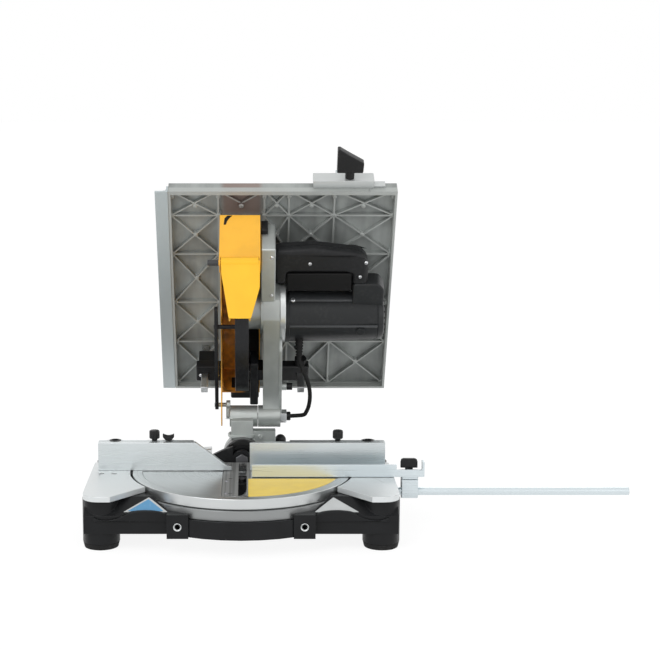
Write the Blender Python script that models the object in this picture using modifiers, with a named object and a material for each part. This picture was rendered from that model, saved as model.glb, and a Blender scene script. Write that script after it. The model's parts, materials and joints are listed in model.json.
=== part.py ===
"""Combined mitre saw and table saw, stored with the head raised.

Metres, +Z up, -Y is the operator's side.  The saw is modelled around the turntable's axis, with the floor
at zero.  Pieces of the head are modelled in the head's own frame, as it lies when fully lowered: x to the
right, -y forwards from the pivot, z up.  An empty at the pivot then raises them to the storing position.
"""

import math

import bmesh
import bpy
from mathutils import Matrix, Vector

# Fits
GAP = 0.0003
OVERRUN = 0.002
SINK = 0.001
RUNNING_CLEARANCE = 0.0003
MERGE_DISTANCE = 0.00001
SHARP_ANGLE = math.radians(32)

# Facets
LARGE_SIDES = 40
MEDIUM_SIDES = 20
MOTOR_SIDES = 28
SMALL_SIDES = 12
TINY_SIDES = 8

# Base
TABLE_TOP = 0.081
LEG_X = 0.1995
LEG_FRONT_Y = -0.114
LEG_REAR_Y = 0.100
LEG_RADIUS = 0.0265
FOOT_RADIUS = 0.0245
FOOT_HEIGHT = 0.008
RIM_RADIUS = 0.174
RIM_BORE_RADIUS = 0.142
RIM_BOTTOM = 0.025
RIM_TOP = 0.0505
FLANK_INNER_X = 0.092
FLANK_OUTER_X = 0.222
FLANK_FRONT_Y = -0.141
FLANK_REAR_Y = 0.122
FLANK_SHOULDER_Z = 0.051
FLANK_TOP = 0.0727
FLANK_SLOPE = 0.026
FLANK_WALL = 0.007
HOLLOW_HALF_ANGLE = 27.0
WEB_WIDTH = 0.014
WEB_TOP = 0.034
PIVOT_BOSS_RADIUS = 0.024
LUG_X = 0.089
LUG_HALF_WIDTH = 0.0152
LUG_HALF_HEIGHT = 0.0172
LUG_DEPTH = 0.020
LUG_Z = 0.0405
LUG_HOLE_RADIUS = 0.0045
LUG_HOLE_DEPTH = 0.016

# Wings
WING_OUTER_X = 0.2245
WING_FRONT_Y = -0.149
WING_REAR_Y = 0.050
WING_NOSE_X = 0.184
WING_WAIST_X = 0.138
WING_CORNER_RADIUS = 0.024
WING_HOLE_RADIUS = 0.0045
WING_HOLE_PLACES = ((0.208, -0.018), (0.189, -0.018))

# Mitre scale
SCALE_RADIUS = 0.169
SCALE_BORE_RADIUS = 0.146
SCALE_TOP = 0.0652
SCALE_SWEEP = math.radians(214)

# Turntable
DISC_RADIUS = 0.1635
DISC_CLEARANCE = 0.0030
POCKET_RADIUS = DISC_RADIUS + DISC_CLEARANCE
DISC_BOTTOM = 0.066
DISC_RIM_WIDTH = 0.015
DISC_RECESS = 0.0009
KERF_HALF_WIDTH_LEFT = 0.0045
KERF_HALF_WIDTH_RIGHT = 0.0076
KERF_FRONT_Y = -0.139
KERF_REAR_Y = 0.048
KERF_RELIEF = 0.008
INSERT_LEFT_X = -0.0275
INSERT_RIGHT_X = 0.0125
INSERT_FRONT_Y = -0.1465
INSERT_REAR_Y = 0.0545
INSERT_THICKNESS = 0.004
INSERT_SCREW_RADIUS = 0.0032
INSERT_SCREW_HEIGHT = 0.0012
INSERT_SCREW_SHARES = (0.86, 0.30, 0.70)
HUB_RADIUS = 0.0295
HUB_FRONT_Y = 0.081
HUB_REAR_Y = 0.1045
HUB_WEB_HALF_WIDTH = 0.036
REAR_CUT_HALF_WIDTH = 0.048
SHIELD_SLOT_HALF_WIDTH = 0.0535
SHIELD_FRONT_Y = 0.0625
SHIELD_REAR_Y = 0.0725
SHIELD_SLOT_MARGIN = 0.0028
CENTRE_BOLT_RADIUS = 0.008
CENTRE_BOLT_HEAD_RADIUS = 0.013
CENTRE_BOLT_HEAD_HEIGHT = 0.007
BEVEL_RING_THICKNESS = 0.0028
BEVEL_RING_BORE_RADIUS = 0.021

# Fences
FENCE_HEIGHT = 0.0425
FENCE_THICKNESS = 0.010
FENCE_END_X = 0.2145
FENCE_LEFT_GAP_X = -0.0150
FENCE_RIGHT_GAP_X = 0.0120
FENCE_SLANT_RUN = 0.054
FENCE_SLANT_FOOT = 0.006
FENCE_FOOT_INNER_X = 0.171
FENCE_FOOT_DEPTH = 0.032
FENCE_FOOT_HEIGHT = 0.008
FENCE_LIP_DEPTH = 0.010
FENCE_LIP_HEIGHT = 0.004
FENCE_LIP_INNER_X = 0.072
FENCE_SOCKET_X = 0.190
FENCE_SOCKET_RADIUS = 0.0115
FENCE_SOCKET_BORE_RADIUS = 0.0065
FENCE_BOLT_X = 0.2075
FENCE_BOLT_RADIUS = 0.005
FENCE_BOLT_HEIGHT = 0.005
KNOB_BOSS_RADIUS = 0.0085
KNOB_BOSS_HEIGHT = 0.034
LEFT_KNOB_X = -0.131
WING_KNOB_X = -0.110
RIGHT_KNOB_X = 0.1445
KNOB_Y = 0.0165
RIBBED_KNOB_RADIUS = 0.0078
RIBBED_KNOB_HEIGHT = 0.0155
RIBBED_KNOB_LOBES = 10
RIBBED_KNOB_LOBE_SHARE = 0.90
KNOB_STEM_RADIUS = 0.003
KNOB_STEM_LENGTH = 0.006
WING_KNOB_SPAN = 0.017
WING_KNOB_THICKNESS = 0.005
WING_KNOB_HEIGHT = 0.010

# Tilt bracket
PIVOT_Y = 0.140
PIVOT_Z = 0.134
TILT_DISC_RADIUS = 0.0295
TILT_FRONT_Y = 0.1048
TILT_DISC_REAR_Y = 0.124
TILT_REAR_Y = 0.149
NECK_HALF_WIDTH = 0.017
NECK_BOTTOM = 0.070
BARREL_RADIUS = 0.0172
BARREL_LEFT_X = -0.0195
BARREL_SEAM_X = 0.0250
BARREL_RIGHT_X = 0.0605
PIN_RADIUS = 0.0055
PIN_HEAD_RADIUS = 0.0108
PIN_HEAD_LENGTH = 0.0095
STOP_BLOCK_RIGHT_X = 0.0525
STOP_BLOCK_FRONT_Y = 0.1085
STOP_BLOCK_REAR_Y = 0.130
STOP_BLOCK_BOTTOM = 0.0985
STOP_BLOCK_TOP = 0.1165
STOP_SCREW_RADIUS = 0.0035
STOP_SCREW_LENGTH = 0.006
STOP_SCREW_X = 0.0285
BEVEL_BOLT_RADIUS = 0.0075
BEVEL_BOLT_HEAD_RADIUS = 0.0105
BEVEL_BOLT_HEAD_LENGTH = 0.005
LEVER_HUB_RADIUS = 0.012
LEVER_HUB_LENGTH = 0.022
LEVER_LENGTH = 0.062
LEVER_RADIUS = 0.0055
LEVER_BALL_RADIUS = 0.0095
LEVER_ANGLE = math.radians(-8)
SHIELD_HUB_RADIUS = 0.0155
SHIELD_PROFILE = ((-0.0135, 0.0000), (-0.0135, 0.0215), (-0.0300, 0.0160), (-0.0460, 0.0075))
LINK_ARM_RADIUS = 0.018
LINK_ARM_ANGLE = 93.0
LINK_EAR_THICKNESS = 0.0055
LINK_EAR_RADIUS = 0.0075

# Head
HEAD_RAISED = 61.0
ARBOR_FORWARD = 0.170
ARBOR_UP = 0.060
MOTOR_FORWARD = 0.143
MOTOR_UP = 0.0745
ARM_LEFT_X = 0.0330
ARM_RIGHT_X = 0.0580
GEARCASE_LEFT_X = 0.0290
GEARCASE_ARBOR_RADIUS = 0.040
GEARCASE_MOTOR_RADIUS = 0.0408
GEAR_CAVITY_LEFT_X = 0.0420
GEAR_CAVITY_ARBOR_RADIUS = 0.0290
GEAR_CAVITY_PINION_RADIUS = 0.0120
COVER_RIGHT_X = 0.0672
ARM_TOP_UP = 0.098
BRACKET_LEFT_X = 0.0290
BRACKET_RIGHT_X = 0.0507
BRACKET_REAR = 0.203
BRACKET_FRONT = 0.300
BRACKET_BOTTOM_UP = 0.030

# Drive
SPINDLE_RADIUS = 0.0075
SPINDLE_LEFT_X = -0.0095
SPINDLE_RIGHT_X = 0.0650
GEAR_THICKNESS = 0.011
GEAR_TEETH = 26
PINION_TEETH = 7
GEAR_DEPTH = 0.0022
GEAR_MESH = 0.0012
PINION_RADIUS = 0.00735
ARMATURE_SHAFT_RADIUS = 0.0048
ARMATURE_CORE_RADIUS = 0.0215
ARMATURE_CORE_START_X = 0.098
ARMATURE_CORE_END_X = 0.168
ARMATURE_SHAFT_START_X = 0.044
ARMATURE_SHAFT_END_X = 0.204
COMMUTATOR_RADIUS = 0.0125
COMMUTATOR_START_X = 0.176
COMMUTATOR_END_X = 0.190
FAN_RADIUS = 0.0320
FAN_START_X = 0.078
FAN_END_X = 0.086
FAN_BLADES = 7
STATOR_RADIUS = 0.0348
STATOR_BORE_RADIUS = 0.0235
STATOR_START_X = 0.101
STATOR_END_X = 0.165

# Motor
MOTOR_RADIUS = 0.0400
MOTOR_TAIL_RADIUS = 0.0372
MOTOR_BORE_RADIUS = 0.0352
MOTOR_START_X = 0.0675
MOTOR_END_X = 0.2095
MOTOR_FLANGE_RADIUS = 0.0412
MOTOR_FLANGE_WIDTH = 0.006
CAP_END_X = 0.2210
CAP_WALL = 0.003
CAP_ROUND = 0.009
CAP_SLOTS = 6
CAP_SLOT_WIDTH = 0.0028
CAP_SLOT_INNER_RADIUS = 0.012
CAP_SLOT_OUTER_RADIUS = 0.029
SHOULDER_START_X = 0.1715
SHOULDER_END_X = 0.2085
SHOULDER_FORWARD = 0.2125
SHOULDER_HALF_HEIGHT = 0.0155
BRUSH_X = 0.183
BRUSH_RADIUS = 0.007
BRUSH_HEIGHT = 0.0015

# Handle
HANDLE_LEFT_X = 0.0510
HANDLE_POST_X = 0.0680
HANDLE_RIGHT_X = 0.1925
HANDLE_POST_RIGHT_X = 0.1680
HANDLE_FOOT = 0.2125
HANDLE_GRIP_REAR = 0.2352
HANDLE_GRIP_FRONT = 0.2742
HANDLE_CROWN = 0.0040
HANDLE_HALF_HEIGHT = 0.0145
HANDLE_UP = 0.0745
HANDLE_ROUND = 0.0085
HANDLE_CORNER = 0.026
HANDLE_WEB_THICKNESS = 0.0030
TRIGGER_LEFT_X = 0.084
TRIGGER_RIGHT_X = 0.122
TRIGGER_REAR = 0.2250
TRIGGER_DEPTH = 0.020
TRIGGER_HALF_HEIGHT = 0.0065
TRIGGER_TRAVEL = 0.006
BUTTON_X = 0.1342
BUTTON_FORWARD = 0.2570
BUTTON_RADIUS = 0.005
BUTTON_PROUD = 0.004
BUTTON_DEPTH = 0.007
BUTTON_TRAVEL = 0.003

# Blade
BLADE_RADIUS = 0.125
BLADE_THICKNESS = 0.0026
BLADE_TEETH = 36
TOOTH_DEPTH = 0.0065
BLADE_BORE_RADIUS = 0.0152
FLANGE_RADIUS = 0.0290
FLANGE_THICKNESS = 0.005
FLANGE_SPIGOT_RADIUS = 0.0149
BLADE_BOLT_RADIUS = 0.0095
BLADE_BOLT_HEIGHT = 0.006
BLADE_WASHER_RADIUS = 0.0135
BLADE_WASHER_HEIGHT = 0.0022

# Fixed blade guard
GUARD_LEFT_X = -0.0330
GUARD_RIGHT_X = 0.0280
GUARD_SHEET = 0.0020
GUARD_ROOF_UP = 0.1080
RING_CLEARANCE = 0.0090
RING_RADIUS = BLADE_RADIUS + RING_CLEARANCE
GUARD_NOSE_CLEARANCE = 0.0120
GUARD_NOSE = ARBOR_FORWARD + RING_RADIUS + GUARD_NOSE_CLEARANCE
GUARD_NOSE_RAKE = 0.0175
GUARD_NOSE_FOOT = GUARD_NOSE - GUARD_NOSE_RAKE
GUARD_REAR = 0.0080
GUARD_SKIRT_UP = 0.0480
GUARD_CHEEK_FOOT_UP = 0.0135
GUARD_CHEEK_REAR = 0.2700
GUARD_ARCH_FRONT = 0.2450
GUARD_ARCH_REAR = 0.1780
GUARD_ARCH_FOOT = 0.1660
GUARD_ARCH_UP = 0.0645
GUARD_SLOT_HALF_WIDTH = 0.0060
GUARD_SLOT_REAR = 0.0115
GUARD_TAIL_UP = -0.0150
GUARD_TAIL_WIDTH = 0.0120
GUARD_CHAMFER = 0.0100
GUARD_HUB_RADIUS = 0.0337
GUARD_HUB_LEFT_X = 0.0076
GUARD_PEG_X = -0.0500
GUARD_PEG_RADIUS = 0.0045
CRANK_SLOT_MARGIN = 0.0015

# Front flap
FLAP_SETBACK = 0.0055
FLAP_FORWARD = GUARD_NOSE_FOOT - FLAP_SETBACK
FLAP_UP = 0.0060
FLAP_LENGTH = 0.0860
FLAP_DEPTH = 0.0180
FLAP_FOOT_WIDTH = 0.0310
FLAP_LEAN = 35.5
FLAP_PIN_RADIUS = 0.0022
FLAP_EAR_RADIUS = 0.0060

# Lower guard
RING_THICKNESS = 0.0032
RING_LEFT_X = -0.0095
RING_RIGHT_X = 0.0105
RING_CHEEK = 0.0018
RING_START = -59.0
RING_END = -124.0
RING_RETRACT = 71.0
RING_HUB_RADIUS = 0.0388
RING_CHEEK_INNER_RADIUS = 0.0365
CRANK_RADIUS = 0.0300
CRANK_ANGLE = -136.5
CRANK_PIN_RADIUS = 0.0035
LINK_LEFT_X = -0.0425
LINK_RIGHT_X = -0.0370
LINK_HALF_WIDTH = 0.0078
LINK_EYE_CLEARANCE = 0.0009
LINK_END_SHARE = 0.98
LINK_TURN_SHARE = 0.8571
CRANK_LUG_RADIUS = 0.0070
CRANK_ROOT_RADIUS = 0.0440
CRANK_ROOT_ANGLE = -116.0
REAR_COVER_LEFT_X = 0.0125
REAR_COVER_RIGHT_X = 0.0255
REAR_COVER_REAR = 0.0190
REAR_COVER_FRONT = 0.096
REAR_COVER_BOTTOM_UP = 0.004
REAR_COVER_TOP_UP = 0.046

# Riving knife
KNIFE_THICKNESS = 0.0020
KNIFE_CLEARANCE = 0.0040
KNIFE_WIDTH = 0.0100
KNIFE_INNER_RADIUS = BLADE_RADIUS + KNIFE_CLEARANCE
KNIFE_OUTER_RADIUS = KNIFE_INNER_RADIUS + KNIFE_WIDTH
KNIFE_TIP_ANGLE = 101.0
KNIFE_ROOT_ANGLE = 157.0
KNIFE_ROOT_FRONT = 0.0305
KNIFE_ROOT_REAR = 0.0130
KNIFE_ROOT_BOTTOM_UP = 0.0780
HOLDER_BOTTOM_UP = 0.0740
HOLDER_TOP_UP = 0.0960

# Upper table
PLATE_LEFT_X = -0.1110
PLATE_RIGHT_X = 0.2350
PLATE_REAR = -0.0410
PLATE_FRONT = 0.3455
PLATE_TOP_UP = 0.1405
PLATE_THICKNESS = 0.0058
RIB_BOTTOM_UP = 0.1170
RIB_RECESS = 0.0105
RIB_WIDTH = 0.0028
DIAGONAL_WIDTH = 0.0022
PLATE_WALL = 0.0050
RIB_COLUMNS = (-0.0360, 0.0345, 0.0720, 0.1410)
RIB_ROWS = (0.0493, 0.1293, 0.2233, 0.2953)
FRONT_APRON = 0.0055
KERF_PLATE_LEFT_X = -0.0300
KERF_PLATE_RIGHT_X = 0.0285
KERF_PLATE_REAR = 0.0010
KERF_PLATE_FRONT = 0.2905
KERF_PLATE_THICKNESS = 0.0020
KERF_PLATE_SEAT = 0.0045
KERF_PLATE_SLOT_HALF_WIDTH = 0.0040
KERF_PLATE_SLOT_REAR = 0.0105
KERF_PLATE_SLOT_FRONT = 0.2830
RAIL_WIDTH = 0.0200
RAIL_THICKNESS = 0.0030
RAIL_HEIGHT = 0.0160
RAIL_FRONT = 0.3453
POST_HALF_WIDTH = 0.0055
POST_BOTTOM_UP = 0.0285
LEFT_POST_X = -0.0600
RIGHT_POST_X = 0.0930
POST_FORWARD = 0.0300
GUIDE_HALF_WIDTH = 0.0135
GUIDE_DEPTH = 0.0240
GUIDE_BOTTOM_UP = 0.0640
GUIDE_TOP_UP = 0.0820
TABLE_KNOB_RADIUS = 0.0100
TABLE_KNOB_HEIGHT = 0.0110
TABLE_KNOB_LOBES = 7

# Top guard
TOP_GUARD_HALF_WIDTH = 0.0105
TOP_GUARD_WALL = 0.0020
TOP_GUARD_CLEARANCE = 0.0030
TOP_GUARD_REAR = -0.0050
TOP_GUARD_FRONT = 0.3353
TOP_GUARD_TOP_UP = 0.2140
TOP_GUARD_HINGE_FORWARD = 0.0025
TOP_GUARD_HINGE_UP = 0.1605
TOP_GUARD_PIN_RADIUS = 0.0022
TOP_GUARD_CROWN_SHARES = ((0.06, 0.32), (0.16, 0.72), (0.32, 0.96), (0.50, 1.00), (0.68, 0.94), (0.84,
                                                                                                 0.66),
                          (0.95, 0.30), (1.00, 0.06))
TOP_BRACKET_CHEEK = 0.0030
TOP_BRACKET_FRONT = 0.0085
TOP_BRACKET_REAR = -0.0120
TOP_GUARD_HEEL = 0.0150

# Rip fence
RIP_BAR_LEFT_X = 0.1440
RIP_BAR_RIGHT_X = 0.1700
RIP_BAR_REAR = -0.0247
RIP_BAR_HEIGHT = 0.0380
RIP_BAR_WALL = 0.0025
RIP_HEAD_LEFT_X = 0.1080
RIP_HEAD_RIGHT_X = 0.2000
RIP_HEAD_FRONT = 0.3580
RIP_HEAD_BOTTOM_UP = 0.1265
RIP_HEAD_TOP_UP = 0.1500
RIP_SHELF_RIGHT_X = 0.2170
RIP_SHELF_THICKNESS = 0.0035
RIP_STEM_X = 0.1630
RIP_STEM_RADIUS = 0.0070
RIP_STEM_LENGTH = 0.0110
RIP_STEM_UP = 0.1365
RIP_CLAMP_WIDTH = 0.0395
RIP_CLAMP_HEIGHT = 0.0400
RIP_CLAMP_THICKNESS = 0.0130
RIP_CLAMP_SHARES = ((-0.5, 0.0), (0.5, 0.0), (0.52, 0.42), (0.0, 0.74), (-0.40, 1.0), (-0.5, 1.0))

# Head lock pin
LOCK_X = 0.0585
LOCK_FORWARD = 0.0360
LOCK_UP = 0.0300
LOCK_BODY_RADIUS = 0.0062
LOCK_BODY_LENGTH = 0.0120
LOCK_PLUNGER_RADIUS = 0.0030
LOCK_KNOB_RADIUS = 0.0060
LOCK_KNOB_LENGTH = 0.0080
LOCK_TRAVEL = 0.008
LOCK_NOSE = 0.010

# Motor lead
LEAD_RADIUS = 0.0032
LEAD_X = 0.0890
RELIEF_LENGTH = 0.0240
RELIEF_RADIUS = 0.0062
RELIEF_TIP_RADIUS = 0.0042
RELIEF_FORWARD_SHARE = -0.62
RELIEF_UP_SHARE = -0.7846
LEAD_CLIP_RADIUS = 0.0070
LEAD_CLIP_LENGTH = 0.0065
LEAD_POINTS = ((0.0905, 0.0955, 0.0150), (0.0950, 0.0880, 0.0060), (0.1010, 0.0760, -0.0010),
               (0.1050, 0.0600, -0.0055), (0.1060, 0.0430, -0.0070), (0.1045, 0.0260, -0.0060),
               (0.1010, 0.0120, -0.0040), (0.0960, 0.0035, -0.0015), (0.0900, 0.0, 0.0))
LEAD_STEPS = 2

# Length stop
ROD_RADIUS = 0.0060
ROD_Y = -0.030
ROD_Z = 0.0575
ROD_START_X = 0.1800
ROD_END_X = 0.5725
SLEEVE_LEFT_X = 0.2360
SLEEVE_RIGHT_X = 0.2600
SLEEVE_RADIUS = 0.0105
SLEEVE_TOP = 0.0770
SLEEVE_CLEARANCE = 0.0004
WING_SCREW_X = 0.2470
WING_SCREW_RADIUS = 0.0030
WING_SCREW_HUB_RADIUS = 0.0060
WING_SCREW_HUB_HEIGHT = 0.0095
WING_SCREW_SPAN = 0.0250
WING_SCREW_WING_START = 0.0086
WING_SCREW_WING_HEIGHT = 0.0185
GUIDE_PROFILE_LEFT_X = 0.0150
GUIDE_PROFILE_RIGHT_X = 0.2690
GUIDE_PROFILE_STEP_X = 0.2280
GUIDE_PROFILE_HEIGHT = 0.0185
GUIDE_PROFILE_LOW_HEIGHT = 0.0110
GUIDE_PROFILE_THICKNESS = 0.0030
GUIDE_PROFILE_DEPTH = 0.0170
GUIDE_PROFILE_Y = -0.0410
GUIDE_LIP_HEIGHT = 0.0220

COLOURS = {
    "black_cast": ((0.020, 0.021, 0.023), 0.45, 0.35),
    "machined": ((0.62, 0.64, 0.64), 0.32, 0.95),
    "cast_silver": ((0.42, 0.44, 0.44), 0.55, 0.80),
    "table_grey": ((0.21, 0.225, 0.222), 0.60, 0.60),
    "black_plastic": ((0.018, 0.018, 0.020), 0.50, 0.0),
    "rubber": ((0.012, 0.012, 0.012), 0.85, 0.0),
    "yellow_paint": ((0.95, 0.46, 0.03), 0.38, 0.0),
    "bright_aluminium": ((0.72, 0.77, 0.79), 0.35, 0.85),
    "steel": ((0.50, 0.51, 0.52), 0.30, 1.0),
    "insert_grey": ((0.28, 0.29, 0.28), 0.60, 0.0),
    "copper": ((0.55, 0.22, 0.10), 0.40, 0.9),
}


def clear_scene() -> None:
    """Remove the objects that are there, and the meshes and curves that they used."""
    for thing in list(bpy.data.objects):
        bpy.data.objects.remove(thing, do_unlink=True)
    for store in (bpy.data.meshes, bpy.data.curves, bpy.data.materials):
        for block in list(store):
            store.remove(block)


def new_collection(name: str) -> bpy.types.Collection:
    """A collection under the scene."""
    made = bpy.data.collections.new(name)
    bpy.context.scene.collection.children.link(made)
    return made


def new_material(name: str) -> bpy.types.Material:
    """A Principled material from the table of finishes."""
    colour, roughness, metallic = COLOURS[name]
    made = bpy.data.materials.new(name)
    made.use_nodes = True
    shader = made.node_tree.nodes["Principled BSDF"]
    shader.inputs["Base Color"].default_value = (*colour, 1.0)
    shader.inputs["Roughness"].default_value = roughness
    shader.inputs["Metallic"].default_value = metallic
    made.diffuse_color = (*colour, 1.0)
    return made


AXIS_TURNS = {
    "Z": Matrix.Identity(4),
    "X": Matrix(((0, 0, 1, 0), (1, 0, 0, 0), (0, 1, 0, 0), (0, 0, 0, 1))),
    "Y": Matrix(((1, 0, 0, 0), (0, 0, 1, 0), (0, 1, 0, 0), (0, 0, 0, 1))),
}


def work_object(name: str, data) -> bpy.types.Object:
    """A new object among the workpieces."""
    made = bpy.data.objects.new(name, data)
    WORK.objects.link(made)
    return made


def evaluated_mesh(thing: bpy.types.Object) -> bpy.types.Mesh:
    """The object's mesh with its modifiers, or a curve's surface, welded."""
    graph = bpy.context.evaluated_depsgraph_get()
    mesh = bpy.data.meshes.new_from_object(thing.evaluated_get(graph))
    form = bmesh.new()
    form.from_mesh(mesh)
    bmesh.ops.remove_doubles(form, verts=form.verts, dist=MERGE_DISTANCE)
    form.to_mesh(mesh)
    form.free()
    return mesh


def bake(thing: bpy.types.Object) -> bpy.types.Object:
    """Turn an object's modifiers into its mesh."""
    mesh = evaluated_mesh(thing)
    thing.modifiers.clear()
    thing.data = mesh
    return thing


def from_bmesh(name: str, form: bmesh.types.BMesh, outward: bool = True) -> bpy.types.Object:
    """A workpiece from a bmesh, its faces pointing outwards."""
    if outward:
        bmesh.ops.recalc_face_normals(form, faces=form.faces)
        if form.calc_volume(signed=True) < 0:
            bmesh.ops.reverse_faces(form, faces=form.faces)
    mesh = bpy.data.meshes.new(name)
    form.to_mesh(mesh)
    form.free()
    return work_object(name, mesh)


def box(low, high) -> bpy.types.Object:
    """A box between two corners."""
    low, high = Vector(low), Vector(high)
    form = bmesh.new()
    bmesh.ops.create_cube(form, size=1.0)
    size = high - low
    bmesh.ops.scale(form, vec=size, verts=form.verts)
    bmesh.ops.translate(form, vec=(low + high) / 2, verts=form.verts)
    return from_bmesh("box", form)


def drum(radius: float, start: float, end: float, axis: str, place, sides: int = MEDIUM_SIDES,
         end_radius: float | None = None) -> bpy.types.Object:
    """A cylinder or cone along an axis, from start to end, with its place across that axis."""
    form = bmesh.new()
    bmesh.ops.create_cone(form, cap_ends=True, segments=sides, radius1=radius,
                          radius2=radius if end_radius is None else end_radius, depth=end - start)
    bmesh.ops.translate(form, vec=(0, 0, (start + end) / 2), verts=form.verts)
    bmesh.ops.transform(form, matrix=AXIS_TURNS[axis], verts=form.verts)
    bmesh.ops.translate(form, vec=across(axis, place), verts=form.verts)
    return from_bmesh("drum", form)


def across(axis: str, place) -> Vector:
    """The offset, square to an axis, that two coordinates in X, Y, Z order give."""
    first, second = place
    if axis == "X":
        return Vector((0, first, second))
    if axis == "Y":
        return Vector((first, 0, second))
    return Vector((first, second, 0))


def slab(outlines, start: float, end: float, axis: str) -> bpy.types.Object:
    """A flat outline, with any holes as further outlines, extruded along an axis from start to end."""
    curve = bpy.data.curves.new("outline", "CURVE")
    curve.dimensions = "2D"
    curve.fill_mode = "BOTH"
    curve.extrude = abs(end - start) / 2
    for outline in outlines:
        spline = curve.splines.new("POLY")
        spline.points.add(len(outline) - 1)
        for point, (first, second) in zip(spline.points, outline):
            point.co = (first, second, 0, 1)
        spline.use_cyclic_u = True
    drawn = work_object("outline", curve)
    mesh = evaluated_mesh(drawn)
    bpy.data.objects.remove(drawn)
    form = bmesh.new()
    form.from_mesh(mesh)
    bmesh.ops.translate(form, vec=(0, 0, (start + end) / 2), verts=form.verts)
    bmesh.ops.transform(form, matrix=AXIS_TURNS[axis], verts=form.verts)
    return from_bmesh("slab", form)


def turned(profile, axis: str, place, sides: int = MEDIUM_SIDES, closed: bool = False) -> bpy.types.Object:
    """A profile of (radius, height) points, from the top of its outer side down, turned about an axis."""
    mesh = bpy.data.meshes.new("profile")
    edges = [(i, i + 1) for i in range(len(profile) - 1)]
    if closed:
        edges.append((len(profile) - 1, 0))
    mesh.from_pydata([(radius, 0, height) for radius, height in profile], edges, [])
    made = work_object("turned", mesh)
    screw = made.modifiers.new("turn", "SCREW")
    screw.steps = sides
    screw.render_steps = sides
    screw.use_merge_vertices = True
    screw.merge_threshold = MERGE_DISTANCE
    bake(made)
    form = bmesh.new()
    form.from_mesh(made.data)
    bmesh.ops.transform(form, matrix=AXIS_TURNS[axis], verts=form.verts)
    bmesh.ops.translate(form, vec=across(axis, place), verts=form.verts)
    bmesh.ops.recalc_face_normals(form, faces=form.faces)
    form.to_mesh(made.data)
    form.free()
    return made


def arc(centre, radius: float, start: float, end: float, steps: int) -> list:
    """Points along an arc, in degrees, both ends included."""
    points = []
    for step in range(steps + 1):
        angle = math.radians(start + (end - start) * step / steps)
        points.append((centre[0] + radius * math.cos(angle), centre[1] + radius * math.sin(angle)))
    return points


def sector(centre, inner: float, outer: float, start: float, end: float, steps: int) -> list:
    """The outline of a ring's sector."""
    return arc(centre, outer, start, end, steps) + arc(centre, inner, end, start, steps)


def circle(centre, radius: float, sides: int) -> list:
    """Points around a circle."""
    return arc(centre, radius, 0, 360 - 360 / sides, sides - 1)


def belt(points) -> list:
    """The outline of a belt drawn tight around a set of points."""
    chains = []
    for ordered in (sorted(points), sorted(points, reverse=True)):
        chain = []
        for x, y in ordered:
            while len(chain) > 1 and ((chain[-1][0] - chain[-2][0]) * (y - chain[-2][1])
                                      <= (chain[-1][1] - chain[-2][1]) * (x - chain[-2][0])):
                chain.pop()
            chain.append((x, y))
        chains += chain[:-1]
    return chains


def lobed(centre, radius: float, waist_share: float, lobes: int) -> list:
    """The outline of a knob whose edge dips between its lobes."""
    steps = lobes * 2
    points = []
    for step in range(steps):
        angle = math.tau * step / steps
        reach = radius * (1 - (1 - waist_share) * (1 - math.cos(lobes * angle)) / 2)
        points.append((centre[0] + reach * math.cos(angle), centre[1] + reach * math.sin(angle)))
    return points


def rounded(low, high, radius: float, steps: int = 4) -> list:
    """The outline of a rectangle with round corners."""
    (left, bottom), (right, top) = low, high
    return (arc((right - radius, top - radius), radius, 0, 90, steps)
            + arc((left + radius, top - radius), radius, 90, 180, steps)
            + arc((left + radius, bottom + radius), radius, 180, 270, steps)
            + arc((right - radius, bottom + radius), radius, 270, 360, steps))


def side_view(points) -> list:
    """Turn (forward, up) points of the head into (y, z) points."""
    return [(-forward, up) for forward, up in points]


def combine(target: bpy.types.Object, tools, operation: str) -> bpy.types.Object:
    """Join tools to a target, or cut them from it, one after another."""
    for tool in tools:
        step = target.modifiers.new(operation, "BOOLEAN")
        step.operation = operation
        step.solver = "EXACT"
        step.object = tool
        bake(target)
        bpy.data.objects.remove(tool)
    return target


def fuse(target: bpy.types.Object, *tools) -> bpy.types.Object:
    """Unite touching solids."""
    return combine(target, tools, "UNION")


def carve(target: bpy.types.Object, *tools) -> bpy.types.Object:
    """Cut solids away."""
    return combine(target, tools, "DIFFERENCE")


def soften(thing: bpy.types.Object, width: float, segments: int = 1,
           angle: float = 50) -> bpy.types.Object:
    """Round or chamfer an object's sharp edges."""
    bevel = thing.modifiers.new("edges", "BEVEL")
    bevel.width = width
    bevel.segments = segments
    bevel.limit_method = "ANGLE"
    bevel.angle_limit = math.radians(angle)
    return bake(thing)


def place_part(thing: bpy.types.Object, name: str, finish: str,
               anchor: bpy.types.Object) -> bpy.types.Object:
    """Name a finished workpiece, give it its finish and hang it on the empty that carries it."""
    thing.name = name
    thing.data.name = name
    thing.data.materials.clear()
    thing.data.materials.append(MATERIALS[finish])
    thing.data.shade_smooth()
    thing.data.set_sharp_from_angle(angle=SHARP_ANGLE)
    WORK.objects.unlink(thing)
    SAW.objects.link(thing)
    thing.parent = anchor
    thing.matrix_parent_inverse = Matrix.Translation(-Vector(anchor["drawn_at"]))
    return thing


def new_anchor(name: str, drawn_at, parent: bpy.types.Object | None, lean: float = 0.0,
               own_frame: bool = False) -> bpy.types.Object:
    """An empty on a joint's axis.

    Pieces hung on it are drawn in its parent's drawing frame, where it stands at drawn_at.  With own_frame
    they are drawn around the empty itself, which leans about the X axis.
    """
    made = bpy.data.objects.new(name, None)
    made.empty_display_size = BARREL_RADIUS
    SAW.objects.link(made)
    made["drawn_at"] = (0.0, 0.0, 0.0) if own_frame else tuple(drawn_at)
    made.location = drawn_at
    made.rotation_euler = (lean, 0, 0)
    if parent:
        made.parent = parent
        made.matrix_parent_inverse = Matrix.Translation(-Vector(parent["drawn_at"]))
    return made


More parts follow.
